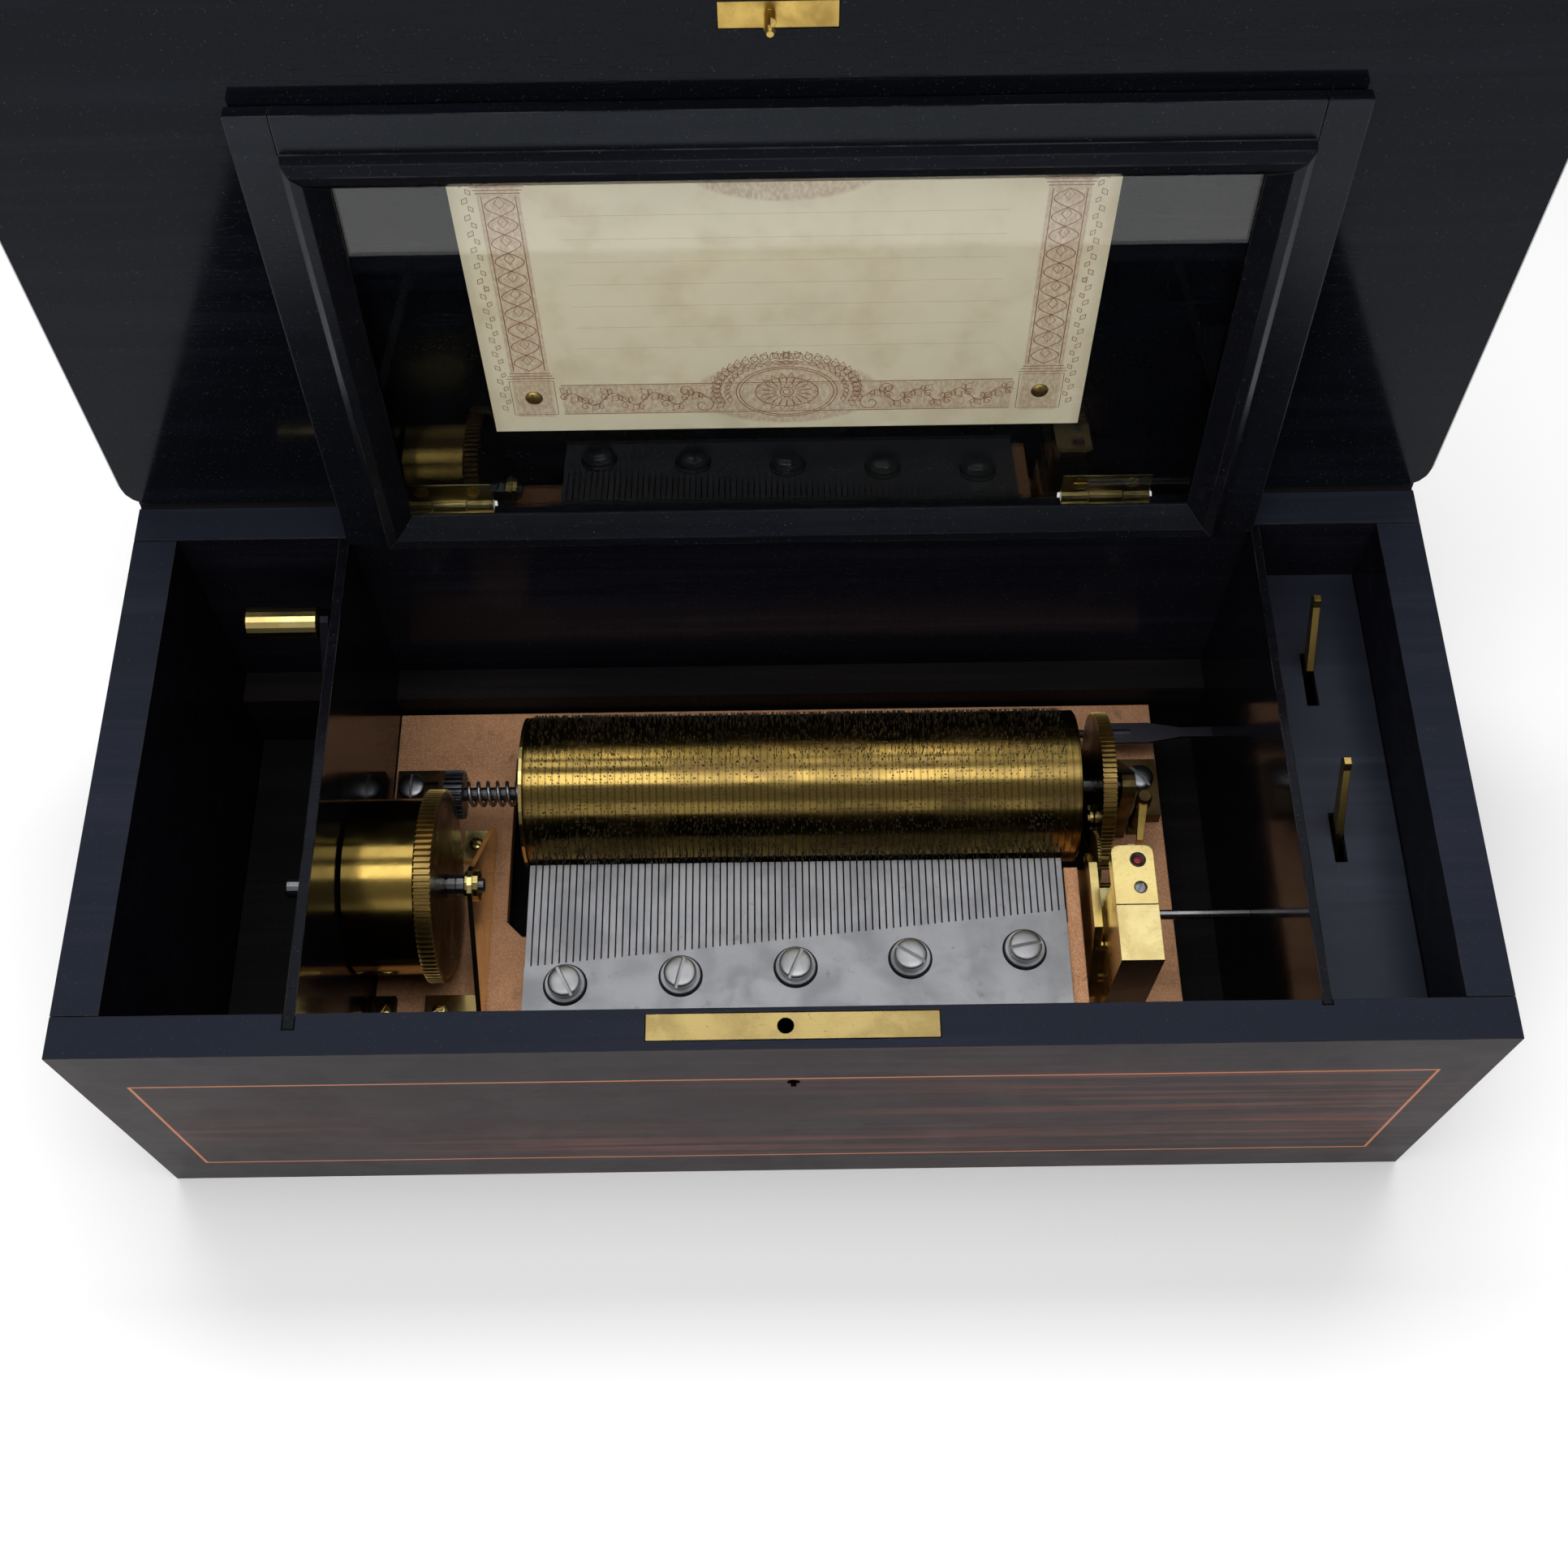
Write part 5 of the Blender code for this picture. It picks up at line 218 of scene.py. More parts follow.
def blendColours(tree, factor, first, second):
    node = tree.nodes.new("ShaderNodeMix")
    node.data_type = "RGBA"
    feed(tree, node.inputs[0], factor)
    feed(tree, node.inputs[6], first)
    feed(tree, node.inputs[7], second)
    return node.outputs[2]


def spread(tree, value, low, high, toLow=0.0, toHigh=1.0):
    node = tree.nodes.new("ShaderNodeMapRange")
    node.interpolation_type = "SMOOTHSTEP"
    for socket, given in zip(node.inputs, (value, low, high, toLow, toHigh)):
        feed(tree, socket, given)
    return node.outputs[0]


def stretched(tree, vector, scale, turn=(0, 0, 0)):
    node = tree.nodes.new("ShaderNodeMapping")
    feed(tree, node.inputs["Vector"], vector)
    node.inputs["Scale"].default_value = scale
    node.inputs["Rotation"].default_value = turn
    return node.outputs[0]


def clouds(tree, vector, scale, detail=4.0, roughness=0.55, distortion=0.0):
    node = tree.nodes.new("ShaderNodeTexNoise")
    feed(tree, node.inputs["Vector"], vector)
    feed(tree, node.inputs["Scale"], scale)
    node.inputs["Detail"].default_value = detail
    node.inputs["Roughness"].default_value = roughness
    node.inputs["Distortion"].default_value = distortion
    return node.outputs["Fac"]


def objectPlace(tree):
    node = tree.nodes.new("ShaderNodeTexCoord")
    split = tree.nodes.new("ShaderNodeSeparateXYZ")
    tree.links.new(node.outputs["Object"], split.inputs[0])
    return node.outputs["Object"], split.outputs


def bumpFrom(tree, height, distance, strength, normal=None):
    node = tree.nodes.new("ShaderNodeBump")
    node.inputs["Strength"].default_value = strength
    node.inputs["Distance"].default_value = distance
    feed(tree, node.inputs["Height"], height)
    feed(tree, node.inputs["Normal"], normal)
    return node.outputs[0]


def openGroup(name, takes, gives):
    group = bpy.data.node_groups.new(name, "ShaderNodeTree")
    for label, kind, value in takes:
        socket = group.interface.new_socket(name=label, in_out="INPUT", socket_type="NodeSocket" + kind)
        if value is not None:
            socket.default_value = value
    for label, kind in gives:
        group.interface.new_socket(name=label, in_out="OUTPUT", socket_type="NodeSocket" + kind)
    return group, group.nodes.new("NodeGroupInput").outputs, group.nodes.new("NodeGroupOutput").inputs


def placeGroup(tree, group, **values):
    node = tree.nodes.new("ShaderNodeGroup")
    node.node_tree = group
    for label, value in values.items():
        feed(tree, node.inputs[label], value)
    return node.outputs


# Finishes are kept by name, and a piece or a node asks for its own by that name
finishes = {}


def newFinish(name):
    material = bpy.data.materials.new(name)
    material.use_nodes = True
    finishes[name] = material
    tree = material.node_tree
    vector, axes = objectPlace(tree)
    return tree, tree.nodes["Principled BSDF"].inputs, vector, axes


def dress(tree, shader, colour, rough, normal=None, metallic=None):
    for label, value in (("Base Color", colour), ("Roughness", rough), ("Normal", normal), ("Metallic", metallic)):
        feed(tree, shader[label], value)


# Rounded edges and the rubbed look along them
def makeSoftEdges():
    group, given, out = openGroup(
        "softEdges",
        [("Radius", "Float", 0.0004), ("Patch", "Float", 120.0)],
        [("Normal", "Vector"), ("Wear", "Float")],
    )
    bevel = group.nodes.new("ShaderNodeBevel")
    bevel.samples = 4
    feed(group, bevel.inputs["Radius"], given["Radius"])
    surface = group.nodes.new("ShaderNodeNewGeometry")
    dot = group.nodes.new("ShaderNodeVectorMath")
    dot.operation = "DOT_PRODUCT"
    group.links.new(bevel.outputs[0], dot.inputs[0])
    group.links.new(surface.outputs["Normal"], dot.inputs[1])
    vector, _ = objectPlace(group)
    patch = spread(group, clouds(group, vector, given["Patch"], 3.0), 0.38, 0.62)
    edge = spread(group, dot.outputs["Value"], 0.99, 0.80)
    group.links.new(bevel.outputs[0], out["Normal"])
    group.links.new(times(group, edge, patch), out["Wear"])
    return group


# Toning, specks and fine rubbing marks on metal
def makeMetalSurface():
    group, given, out = openGroup(
        "metalSurface",
        [
            ("Vector", "Vector", None), ("Clean", "Color", (0.8, 0.6, 0.3, 1)),
            ("Toned", "Color", (0.3, 0.2, 0.1, 1)), ("Amount", "Float", 0.5),
            ("Polish", "Float", 0.2), ("Cloud", "Float", 55.0),
        ],
        [("Colour", "Color"), ("Roughness", "Float"), ("Height", "Float")],
    )
    cloud = spread(group, clouds(group, given["Vector"], given["Cloud"], 6.0, 0.62, 0.4), 0.36, 0.68)
    speck = spread(group, clouds(group, given["Vector"], 900.0, 3.0), 0.60, 0.72)
    rub = clouds(group, stretched(group, given["Vector"], (60, 2600, 2600)), 1.0, 3.0)
    stain = calc(group, "MAXIMUM", times(group, cloud, given["Amount"]),
                 times(group, speck, times(group, given["Amount"], 0.6)))
    group.links.new(blendColours(group, stain, given["Clean"], given["Toned"]), out["Colour"])
    rough = scaled(group, stain, 0.22, given["Polish"])
    group.links.new(scaled(group, rub, 0.06, rough), out["Roughness"])
    group.links.new(scaled(group, rub, 0.6, times(group, speck, -0.5)), out["Height"])
    return group


# Dark polished wood: open pores, faint streaks and settled dust
def makeWoodSurface():
    group, given, out = openGroup(
        "woodSurface",
        [
            ("Vector", "Vector", None), ("Dark", "Color", (0.01, 0.01, 0.01, 1)),
            ("Light", "Color", (0.05, 0.03, 0.02, 1)), ("Figure", "Float", 0.5),
        ],
        [("Colour", "Color"), ("Pores", "Float"), ("Dust", "Float")],
    )
    streaks = clouds(group, stretched(group, given["Vector"], (5, 150, 150)), 1.0, 7.0, 0.62, 0.7)
    broad = clouds(group, stretched(group, given["Vector"], (2.5, 24, 24)), 1.0, 3.0, 0.5, 1.2)
    figure = times(group, spread(group, streaks, 0.40, 0.66), spread(group, broad, 0.34, 0.62))
    pores = spread(group, clouds(group, stretched(group, given["Vector"], (90, 1500, 1500)), 1.0, 2.0), 0.60, 0.70)
    colour = blendColours(group, times(group, figure, given["Figure"]), given["Dark"], given["Light"])
    dust = spread(group, clouds(group, given["Vector"], 1400.0, 2.0), 0.66, 0.74)
    group.links.new(colour, out["Colour"])
    group.links.new(pores, out["Pores"])
    group.links.new(dust, out["Dust"])
    return group


softEdges = makeSoftEdges()
metalSurface = makeMetalSurface()
woodSurface = makeWoodSurface()
print("shared effects ready")


# Metals

fineBump = 0.00002
trackPitch = 0.00246


def metalBase(tree, vector, clean, toned, amount, polish, cloud=55.0):
    return placeGroup(tree, metalSurface, Vector=vector, Clean=tint(*clean), Toned=tint(*toned), Amount=amount,
                      Polish=polish, Cloud=cloud)


def makeMetal(name, clean, toned, amount, polish, cloud=55.0):
    tree, shader, vector, _ = newFinish(name)
    surface = metalBase(tree, vector, clean, toned, amount, polish, cloud)
    edges = placeGroup(tree, softEdges, Radius=0.0003)
    colour = blendColours(tree, times(tree, edges["Wear"], 0.6), surface["Colour"], tint(*clean))
    normal = bumpFrom(tree, surface["Height"], fineBump, 0.5, edges["Normal"])
    dress(tree, shader, colour, surface["Roughness"], normal, 1.0)


# Clean tone, toned tone, how much is toned, roughness, and the scale of the toning where it differs
metalTones = {
    "brightBrass": ((244, 222, 150), (204, 168, 92), 0.35, 0.16),
    "goldHinge": ((220, 186, 104), (120, 92, 42), 0.5, 0.24),
    "hingeBrass": ((160, 144, 98), (66, 60, 40), 0.7, 0.28),
    "dullBrass": ((172, 146, 88), (84, 66, 36), 0.75, 0.34),
    "oliveBrass": ((122, 104, 66), (58, 50, 32), 0.8, 0.40),
    "drumBrass": ((204, 174, 94), (160, 128, 64), 0.4, 0.08, 40.0),
    "steel": ((176, 178, 184), (84, 84, 88), 0.6, 0.26),
    "arborSteel": ((128, 130, 138), (46, 46, 52), 0.8, 0.28),
    "darkSteel": ((112, 110, 122), (62, 60, 68), 0.5, 0.36),
    "blackSteel": ((40, 41, 48), (16, 16, 20), 0.6, 0.34),
    "blackenedBrass": ((74, 64, 44), (26, 24, 20), 0.8, 0.42),
    "screwSteel": ((206, 207, 210), (150, 150, 152), 0.4, 0.30),
    "washerSteel": ((186, 187, 190), (110, 110, 112), 0.5, 0.34),
    "pinSteel": ((120, 118, 112), (34, 32, 28), 0.7, 0.34),
}


# A toothed wheel: toned rim, and faces painted dark as shade
def makeWheelBrass(name, axisY, axisZ, faceRadius):
    tree, shader, vector, axes = newFinish(name)
    surface = metalBase(tree, vector, (186, 158, 96), (88, 70, 38), 0.7, 0.30, 60.0)
    offY, offZ = minus(tree, axes[1], axisY), minus(tree, axes[2], axisZ)
    reach = calc(tree, "SQRT", scaled(tree, offY, offY, times(tree, offZ, offZ)))
    # Inside faceRadius the colour goes dark brown: painted shade on the wheel's faces
    face = spread(tree, reach, faceRadius + 0.0004, faceRadius - 0.0002)
    colour = blendColours(tree, times(tree, face, 0.85), surface["Colour"], tint(48, 36, 22))
    rough = scaled(tree, face, -0.08, surface["Roughness"])
    dress(tree, shader, colour, rough, bumpFrom(tree, surface["Height"], fineBump, 0.5), 1.0)


# Two finishes on one piece, changing at a plane; for the lock and the governor block the dark side is painted shade
def makeSplitMetal(name, axisIndex, limit, below, above):
    tree, shader, vector, axes = newFinish(name)
    first = metalBase(tree, vector, *below, 0.5, 0.2)
    second = metalBase(tree, vector, *above, 0.4, 0.2)
    side = calc(tree, "GREATER_THAN", axes[axisIndex], limit)
    edges = placeGroup(tree, softEdges, Radius=0.0003)
    colour = blendColours(tree, side, first["Colour"], second["Colour"])
    normal = bumpFrom(tree, second["Height"], fineBump, 0.5, edges["Normal"])
    dress(tree, shader, colour, second["Roughness"], normal, 1.0)


# Comb steel: ground satin plate with grey bloom and the odd stain
def makeCombSteel():
    tree, shader, vector, _ = newFinish("combSteel")
    surface = metalBase(tree, vector, (202, 203, 208), (184, 186, 192), 0.5, 0.40, 70.0)
    stains = spread(tree, clouds(tree, vector, 210.0, 4.0, 0.6, 0.3), 0.62, 0.76)
    grind = clouds(tree, stretched(tree, vector, (90, 3200, 3200)), 1.0, 4.0)
    edges = placeGroup(tree, softEdges, Radius=0.0002)
    colour = blendColours(tree, times(tree, stains, 0.35), surface["Colour"], tint(116, 106, 100))
    rough = scaled(tree, grind, 0.10, surface["Roughness"])
    dress(tree, shader, colour, rough, bumpFrom(tree, grind, fineBump, 0.6, edges["Normal"]), 1.0)


# Cylinder brass: fine tracks round it, darkened in lines along the tracks, with handling marks
def makeCylinderBrass():
    tree, shader, vector, axes = newFinish("cylinderBrass")
    surface = metalBase(tree, vector, (190, 160, 88), (104, 88, 50), 0.6, 0.10, 34.0)
    tracks = calc(tree, "SINE", times(tree, axes[0], math.tau / trackPitch))
    fine = calc(tree, "SINE", times(tree, axes[0], math.tau / (trackPitch / 3)))
    dark = times(tree, spread(tree, tracks, 0.45, 1.0), 0.5)
    oil = spread(tree, clouds(tree, stretched(tree, vector, (18, 160, 160)), 1.0, 5.0, 0.6, 1.0), 0.48, 0.70)
    colour = blendColours(tree, dark, surface["Colour"], tint(70, 60, 38))
    colour = blendColours(tree, times(tree, oil, 0.4), colour, tint(150, 116, 84))
    rough = scaled(tree, oil, 0.08, surface["Roughness"])
    height = scaled(tree, fine, 0.35, tracks)
    dress(tree, shader, colour, rough, bumpFrom(tree, height, fineBump, 0.5), 1.0)


for metalName, tones in metalTones.items():
    makeMetal(metalName, *tones)
makeWheelBrass("barrelWheelBrass", -0.0185, 0.07565, 0.0315)
makeWheelBrass("driveWheelBrass", 0.0225, 0.066, 0.0245)
# Lock: below the rim it is painted near-black, a painted shade for the keyhole and the wall it sits in
makeSplitMetal("lockBrass", 2, 0.1366, ((26, 22, 16), (12, 11, 10)), ((214, 190, 124), (132, 102, 60)))
makeSplitMetal("leverMetal", 0, 0.169, ((186, 186, 190), (104, 100, 98)), ((226, 192, 110), (150, 116, 58)))
# Governor block: its front face is painted near-black as painted shade, with bright brass behind it
makeSplitMetal("blockBrass", 1, -0.0578, ((22, 20, 18), (10, 9, 9)), ((252, 232, 166), (222, 190, 112)))
makeCombSteel()
makeCylinderBrass()


# Woods

caseLook = {
    "halfLength": 0.225, "halfDepth": 0.1015, "rimZ": 0.137, "lineX": 0.208, "lineMidZ": 0.0645,
    "lineHalfZ": 0.0435, "lineWidth": 0.0005, "skin": 0.0002,
    "veneer": ((36, 26, 27), (92, 52, 44), 0.9), "border": ((30, 25, 28), (58, 38, 36), 0.7),
    "inside": ((11, 11, 16), (20, 20, 27), 0.6), "rim": ((25, 28, 36), (33, 35, 44), 0.6),
}
dustTone = (120, 122, 130)


def gleam(shader, level, shade):
    shader["Specular IOR Level"].default_value = level
    shader["Specular Tint"].default_value = shade


def woodBase(tree, vector, dark, light, figure):
    return placeGroup(tree, woodSurface, Vector=vector, Dark=tint(*dark), Light=tint(*light), Figure=figure)


# The case walls: veneered outside with one inlaid line, satin black rim, polished black inside
def makeCaseFinish():
    look = caseLook
    tree, shader, vector, axes = newFinish("caseVeneer")
    x, y, z = axes[0], axes[1], axes[2]
    sideways = calc(tree, "GREATER_THAN", calc(tree, "ABSOLUTE", x), look["halfLength"] - look["skin"])
    lengthways = calc(tree, "GREATER_THAN", calc(tree, "ABSOLUTE", y), look["halfDepth"] - look["skin"])
    top = calc(tree, "GREATER_THAN", z, look["rimZ"] - 0.00015)
    outside = times(tree, calc(tree, "MAXIMUM", sideways, lengthways), minus(tree, 1.0, top))
    front = calc(tree, "LESS_THAN", y, look["skin"] - look["halfDepth"])
    offX = minus(tree, calc(tree, "ABSOLUTE", x), look["lineX"])
    offZ = minus(tree, calc(tree, "ABSOLUTE", minus(tree, z, look["lineMidZ"])),
                look["lineHalfZ"])
    fromLine = calc(tree, "MAXIMUM", offX, offZ)
    onLine = times(tree, calc(tree, "LESS_THAN", calc(tree, "ABSOLUTE", fromLine), look["lineWidth"]), front)
    panel = times(tree, calc(tree, "LESS_THAN", fromLine, 0.0), front)
    veneer, border, inside, rim = [woodBase(tree, vector, *look[part]) for part in
                                   ("veneer", "border", "inside", "rim")]
    black = blendColours(tree, top, inside["Colour"], rim["Colour"])
    edges = placeGroup(tree, softEdges, Radius=0.0006, Patch=70.0)
    colour = blendColours(tree, panel, border["Colour"], veneer["Colour"])
    colour = blendColours(tree, onLine, colour, tint(172, 106, 72))
    colour = blendColours(tree, outside, black, colour)
    colour = blendColours(tree, times(tree, edges["Wear"], 0.25), colour, tint(92, 76, 66))
    colour = blendColours(tree, times(tree, inside["Dust"], 0.10), colour, tint(*dustTone))
    smear = spread(tree, clouds(tree, vector, 42.0, 5.0, 0.6, 0.6), 0.36, 0.66)
    rough = scaled(tree, outside, 0.22, scaled(tree, top, 0.28, 0.12))
    rough = scaled(tree, smear, 0.05, rough)
    waves = clouds(tree, stretched(tree, vector, (9, 40, 40)), 1.0, 2.0)
    normal = bumpFrom(tree, times(tree, inside["Pores"], -1.0), 0.00004, 0.35, edges["Normal"])
    dress(tree, shader, colour, rough, bumpFrom(tree, waves, 0.0006, 0.35, normal))
    gleam(shader, 0.06, (0.80, 0.88, 1.0, 1))


blackWoods = {
    "lidBlack": {"dark": (8, 9, 13), "light": (15, 18, 24), "rough": 0.08, "smear": 0.05, "wave": 0.0002,
                 "shine": 0.12, "edge": 0.0001},
    "mirrorBlack": {"dark": (8, 8, 12), "light": (15, 15, 20), "rough": 0.09, "smear": 0.05, "wave": 0.0001,
                    "shine": 0.12, "edge": 0.0007},
    "satinBlack": {"dark": (9, 10, 14), "light": (17, 18, 25), "rough": 0.24, "smear": 0.05, "wave": 0.0001,
                   "shine": 0.25, "edge": 0.0007},
    "floorBlack": {"dark": (22, 24, 32), "light": (34, 37, 46), "rough": 0.36, "smear": 0.08, "wave": 0.0002,
                   "shine": 0.4, "edge": 0.0007},
}


def makeBlackWood(name, look):
    tree, shader, vector, _ = newFinish(name)
    wood = woodBase(tree, vector, look["dark"], look["light"], 0.6)
    edges = placeGroup(tree, softEdges, Radius=look["edge"], Patch=60.0)
    colour = blendColours(tree, times(tree, edges["Wear"], 0.3), wood["Colour"], tint(96, 86, 80))
    colour = blendColours(tree, times(tree, wood["Dust"], 0.12), colour, tint(*dustTone))
    haze = spread(tree, clouds(tree, vector, 26.0, 6.0, 0.62, 0.8), 0.34, 0.70)
    rough = scaled(tree, haze, look["smear"], look["rough"])
    waves = clouds(tree, stretched(tree, vector, (12, 30, 30)), 1.0, 2.0)
    normal = bumpFrom(tree, times(tree, wood["Pores"], -1.0), 0.00003, 0.3, edges["Normal"])
    dress(tree, shader, colour, rough, bumpFrom(tree, waves, look["wave"], 0.3, normal))
    gleam(shader, look["shine"], (0.78, 0.88, 1.0, 1))


# Dark stained rails and the floor of the case, matt and a little dusty
def makeStainedWood():
    tree, shader, vector, _ = newFinish("stainedWood")
    wood = woodBase(tree, vector, (13, 12, 14), (30, 25, 24), 0.8)
    weave = tree.nodes.new("ShaderNodeTexVoronoi")
    feed(tree, weave.inputs["Vector"], vector)
    weave.inputs["Scale"].default_value = 700.0
    grit = spread(tree, weave.outputs["Distance"], 0.05, 0.45)
    colour = blendColours(tree, times(tree, grit, 0.5), wood["Colour"], tint(14, 12, 14))
    rough = scaled(tree, grit, 0.2, 0.55)
    dress(tree, shader, colour, rough, bumpFrom(tree, grit, 0.0001, 0.5))
    shader["Specular IOR Level"].default_value = 0.2


makeCaseFinish()
for woodName, woodLook in blackWoods.items():
    makeBlackWood(woodName, woodLook)
makeStainedWood()


# Bed paint, glass, card, ink and jewel

def makeBedPaint():
    tree, shader, vector, _ = newFinish("bedPaint")
    sand = clouds(tree, vector, 2400.0, 3.0, 0.6)
    patches = spread(tree, clouds(tree, vector, 38.0, 5.0, 0.6), 0.35, 0.68)
    grime = spread(tree, clouds(tree, vector, 120.0, 5.0, 0.65, 0.5), 0.56, 0.74)
    colour = blendColours(tree, patches, tint(172, 124, 88), tint(146, 102, 72))
    colour = blendColours(tree, spread(tree, sand, 0.42, 0.66), colour, tint(198, 152, 116))
    colour = blendColours(tree, times(tree, grime, 0.45), colour, tint(92, 64, 46))
    edges = placeGroup(tree, softEdges, Radius=0.0008)
    rough = scaled(tree, patches, 0.12, 0.52)
    dress(tree, shader, colour, rough, bumpFrom(tree, sand, 0.00012, 0.7, edges["Normal"]), 0.15)


def makeGlass():
    tree, shader, vector, _ = newFinish("lidGlass")
    smear = spread(tree, clouds(tree, vector, 30.0, 6.0, 0.6, 0.6), 0.45, 0.80)
    colour = blendColours(tree, smear, tint(250, 253, 251), tint(240, 246, 242))
    dress(tree, shader, colour, times(tree, smear, 0.03))
    shader["Transmission Weight"].default_value = 1.0
    shader["IOR"].default_value = 1.45


cardLook = {
    "middleX": 0.0043, "lowZ": 0.1756, "lean": math.cos(math.radians(4)), "halfWidth": 0.09725, "height": 0.128,
    "bandLow": 0.008, "bandHigh": 0.0215, "bandEnd": 0.0735, "pillarX": 0.0828, "pillarHalf": 0.0062,
    "pillarLow": 0.007, "pillarHigh": 0.070, "ovalV": 0.017, "ovalHalf": (0.030, 0.0145), "soft": 0.0006,
}


# Cream card with the sepia tone of its printed borders; the lines themselves are modelled
def makeCard():
    look = cardLook
    tree, shader, vector, axes = newFinish("tuneCard")
    u = calc(tree, "ABSOLUTE", minus(tree, axes[0], look["middleX"]))
    v = calc(tree, "DIVIDE", minus(tree, axes[2], look["lowZ"]), look["lean"])
    v = calc(tree, "MINIMUM", v, minus(tree, look["height"], v))

    def between(value, low, high):
        soft = look["soft"]
        return times(tree, spread(tree, value, low - soft, low + soft), spread(tree, value, high + soft, high - soft))

    def squared(value, size):
        return calc(tree, "POWER", calc(tree, "DIVIDE", value, size), 2.0)

    band = times(tree, between(v, look["bandLow"], look["bandHigh"]), between(u, -0.01, look["bandEnd"]))
    pillar = times(tree, between(u, look["pillarX"] - look["pillarHalf"], look["pillarX"] + look["pillarHalf"]),
                   between(v, look["pillarLow"], look["pillarHigh"]))
    oval = calc(tree, "ADD", squared(u, look["ovalHalf"][0]),
                squared(minus(tree, v, look["ovalV"]), look["ovalHalf"][1]))
    tone = calc(tree, "MAXIMUM", calc(tree, "MAXIMUM", band, pillar), spread(tree, oval, 1.1, 0.9))
    hatch = clouds(tree, stretched(tree, vector, (900, 900, 500), (0, 0.7, 0)), 1.0, 3.0)
    tone = times(tree, tone, spread(tree, hatch, 0.30, 0.66, 0.15, 0.55))
    foxing = spread(tree, clouds(tree, vector, 46.0, 6.0, 0.6), 0.42, 0.74)
    paper = blendColours(tree, foxing, tint(244, 229, 202), tint(230, 211, 180))
    rim = spread(tree, u, look["halfWidth"] - 0.004, look["halfWidth"])
    paper = blendColours(tree, times(tree, rim, 0.3), paper, tint(186, 162, 126))
    fibre = clouds(tree, vector, 1800.0, 4.0)
    dress(tree, shader, blendColours(tree, tone, paper, tint(180, 130, 100)), 0.72,
          bumpFrom(tree, fibre, 0.00004, 0.4))


# One tone clouded into another, with one roughness
def makePlain(name, scale, reach, first, second, rough, strength):
    tree, shader, vector, _ = newFinish(name)
    cloud = clouds(tree, vector, scale)
    if reach:
        cloud = spread(tree, cloud, *reach)
    dress(tree, shader, blendColours(tree, cloud, tint(*first), tint(*second)), rough,
          bumpFrom(tree, cloud, fineBump, strength))


makeBedPaint()
makeGlass()
makeCard()
makePlain("sepiaInk", 520.0, (0.36, 0.66), (132, 78, 54), (164, 108, 80), 0.65, 0.3)
makePlain("jewelRed", 900.0, None, (70, 14, 18), (120, 34, 36), 0.06, 0.2)
print("finishes ready")


# The CAD nodes take their finishes

nodeFinishes = {
    "caseVeneer": ("case_front", "case_back", "case_left_end", "case_right_end"),
    "mirrorBlack": ("left_partition", "right_partition"),
    "lidBlack": ("lid_panel",),
    "satinBlack": ("glass_left_stile", "glass_right_stile", "glass_front_rail", "glass_rear_rail"),
    "floorBlack": ("control_floor",),
    "stainedWood": ("case_bottom", "front_bed_rail", "rear_bed_rail"),
    "brightBrass": ("governor_cock", "governor_side_plate", "tune_snail", "winding_grip", "barrel_right_bridge",
                    "cylinder_left_cap"),
    "blockBrass": ("governor_block",),
    "leverMetal": ("start_lever", "change_lever"),
    "hingeBrass": ("lid_hinge_case_leaf_left", "lid_hinge_case_leaf_right", "lid_hinge_leaf_left",
                   "lid_hinge_leaf_right"),
    "goldHinge": ("stop_arm", "lid_link_plate"),
    "barrelWheelBrass": ("barrel_wheel",),
    "driveWheelBrass": ("cylinder_drive_wheel",),
    "dullBrass": ("first_wheel", "second_wheel"),
    "oliveBrass": ("cylinder_right_bridge", "lock_bolt"),
    "blackenedBrass": ("cylinder_left_bridge", "barrel_left_bridge"),
    "lockBrass": ("lock",),
    "drumBrass": ("barrel_drum",),
    "cylinderBrass": ("cylinder_tube",),
    "combSteel": ("comb",),
    "steel": ("barrel_arbor", "cylinder_spring", "governor_fly", "winding_click"),
    "arborSteel": ("cylinder_arbor",),
    "screwSteel": (*(f"comb_screw_{n}" for n in range(1, 6)), "left_bridge_screw", "right_bridge_screw"),
    "darkSteel": ("change_blade",),
    "blackSteel": ("winding_arm",),
    "bedPaint": ("bedplate", "comb_base"),
    "lidGlass": ("glass_pane",),
    "tuneCard": ("tune_card",),
}
finishOf = {name: finish for finish, names in nodeFinishes.items() for name in names}
for name, node in nodes.items():
    node.data.materials.clear()
    node.data.materials.append(finishes[finishOf[name]])
print("nodes dressed:", len(finishOf))


# The outer wall of a tube with its edges broken, from left to right
def outerWall(shape):
    left, right, radius, edge = (shape[key] for key in ("left", "right", "radius", "edge"))
    return [(left, radius - edge), (left + edge, radius), (right - edge, radius), (right, radius - edge)]


# Cylinder: smooth tube and its pins

cylinderShape = {
    "axis": (0.0, 0.0225, 0.066), "radius": 0.0278, "left": -0.0912, "right": 0.1072, "wall": 0.0016,
    "cap": 0.0030, "bore": 0.0028, "edge": 0.0004, "sides": 192,
}


def makeCylinderTube():
    shape = cylinderShape
    inner = shape["radius"] - shape["wall"]
    face = shape["right"] - shape["cap"]
    outline = [(shape["left"], inner), *outerWall(shape), (shape["right"], shape["bore"]), (face, shape["bore"]),
               (face, inner)]
    piece = turnedPiece(outline, shape["axis"], "X", shape["sides"])
    finishPiece(piece, "cylinderShell", "cylinder", "cylinderBrass")
    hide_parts("cylinder_tube")


pinning = {
    "tracks": 78, "tunes": 6, "firstX": -0.0896, "pitch": trackPitch, "radius": 0.00021, "rise": 0.0009,
    "sink": 0.0003, "beats": 150, "share": 0.16, "seed": 11, "lean": 0.10,
}


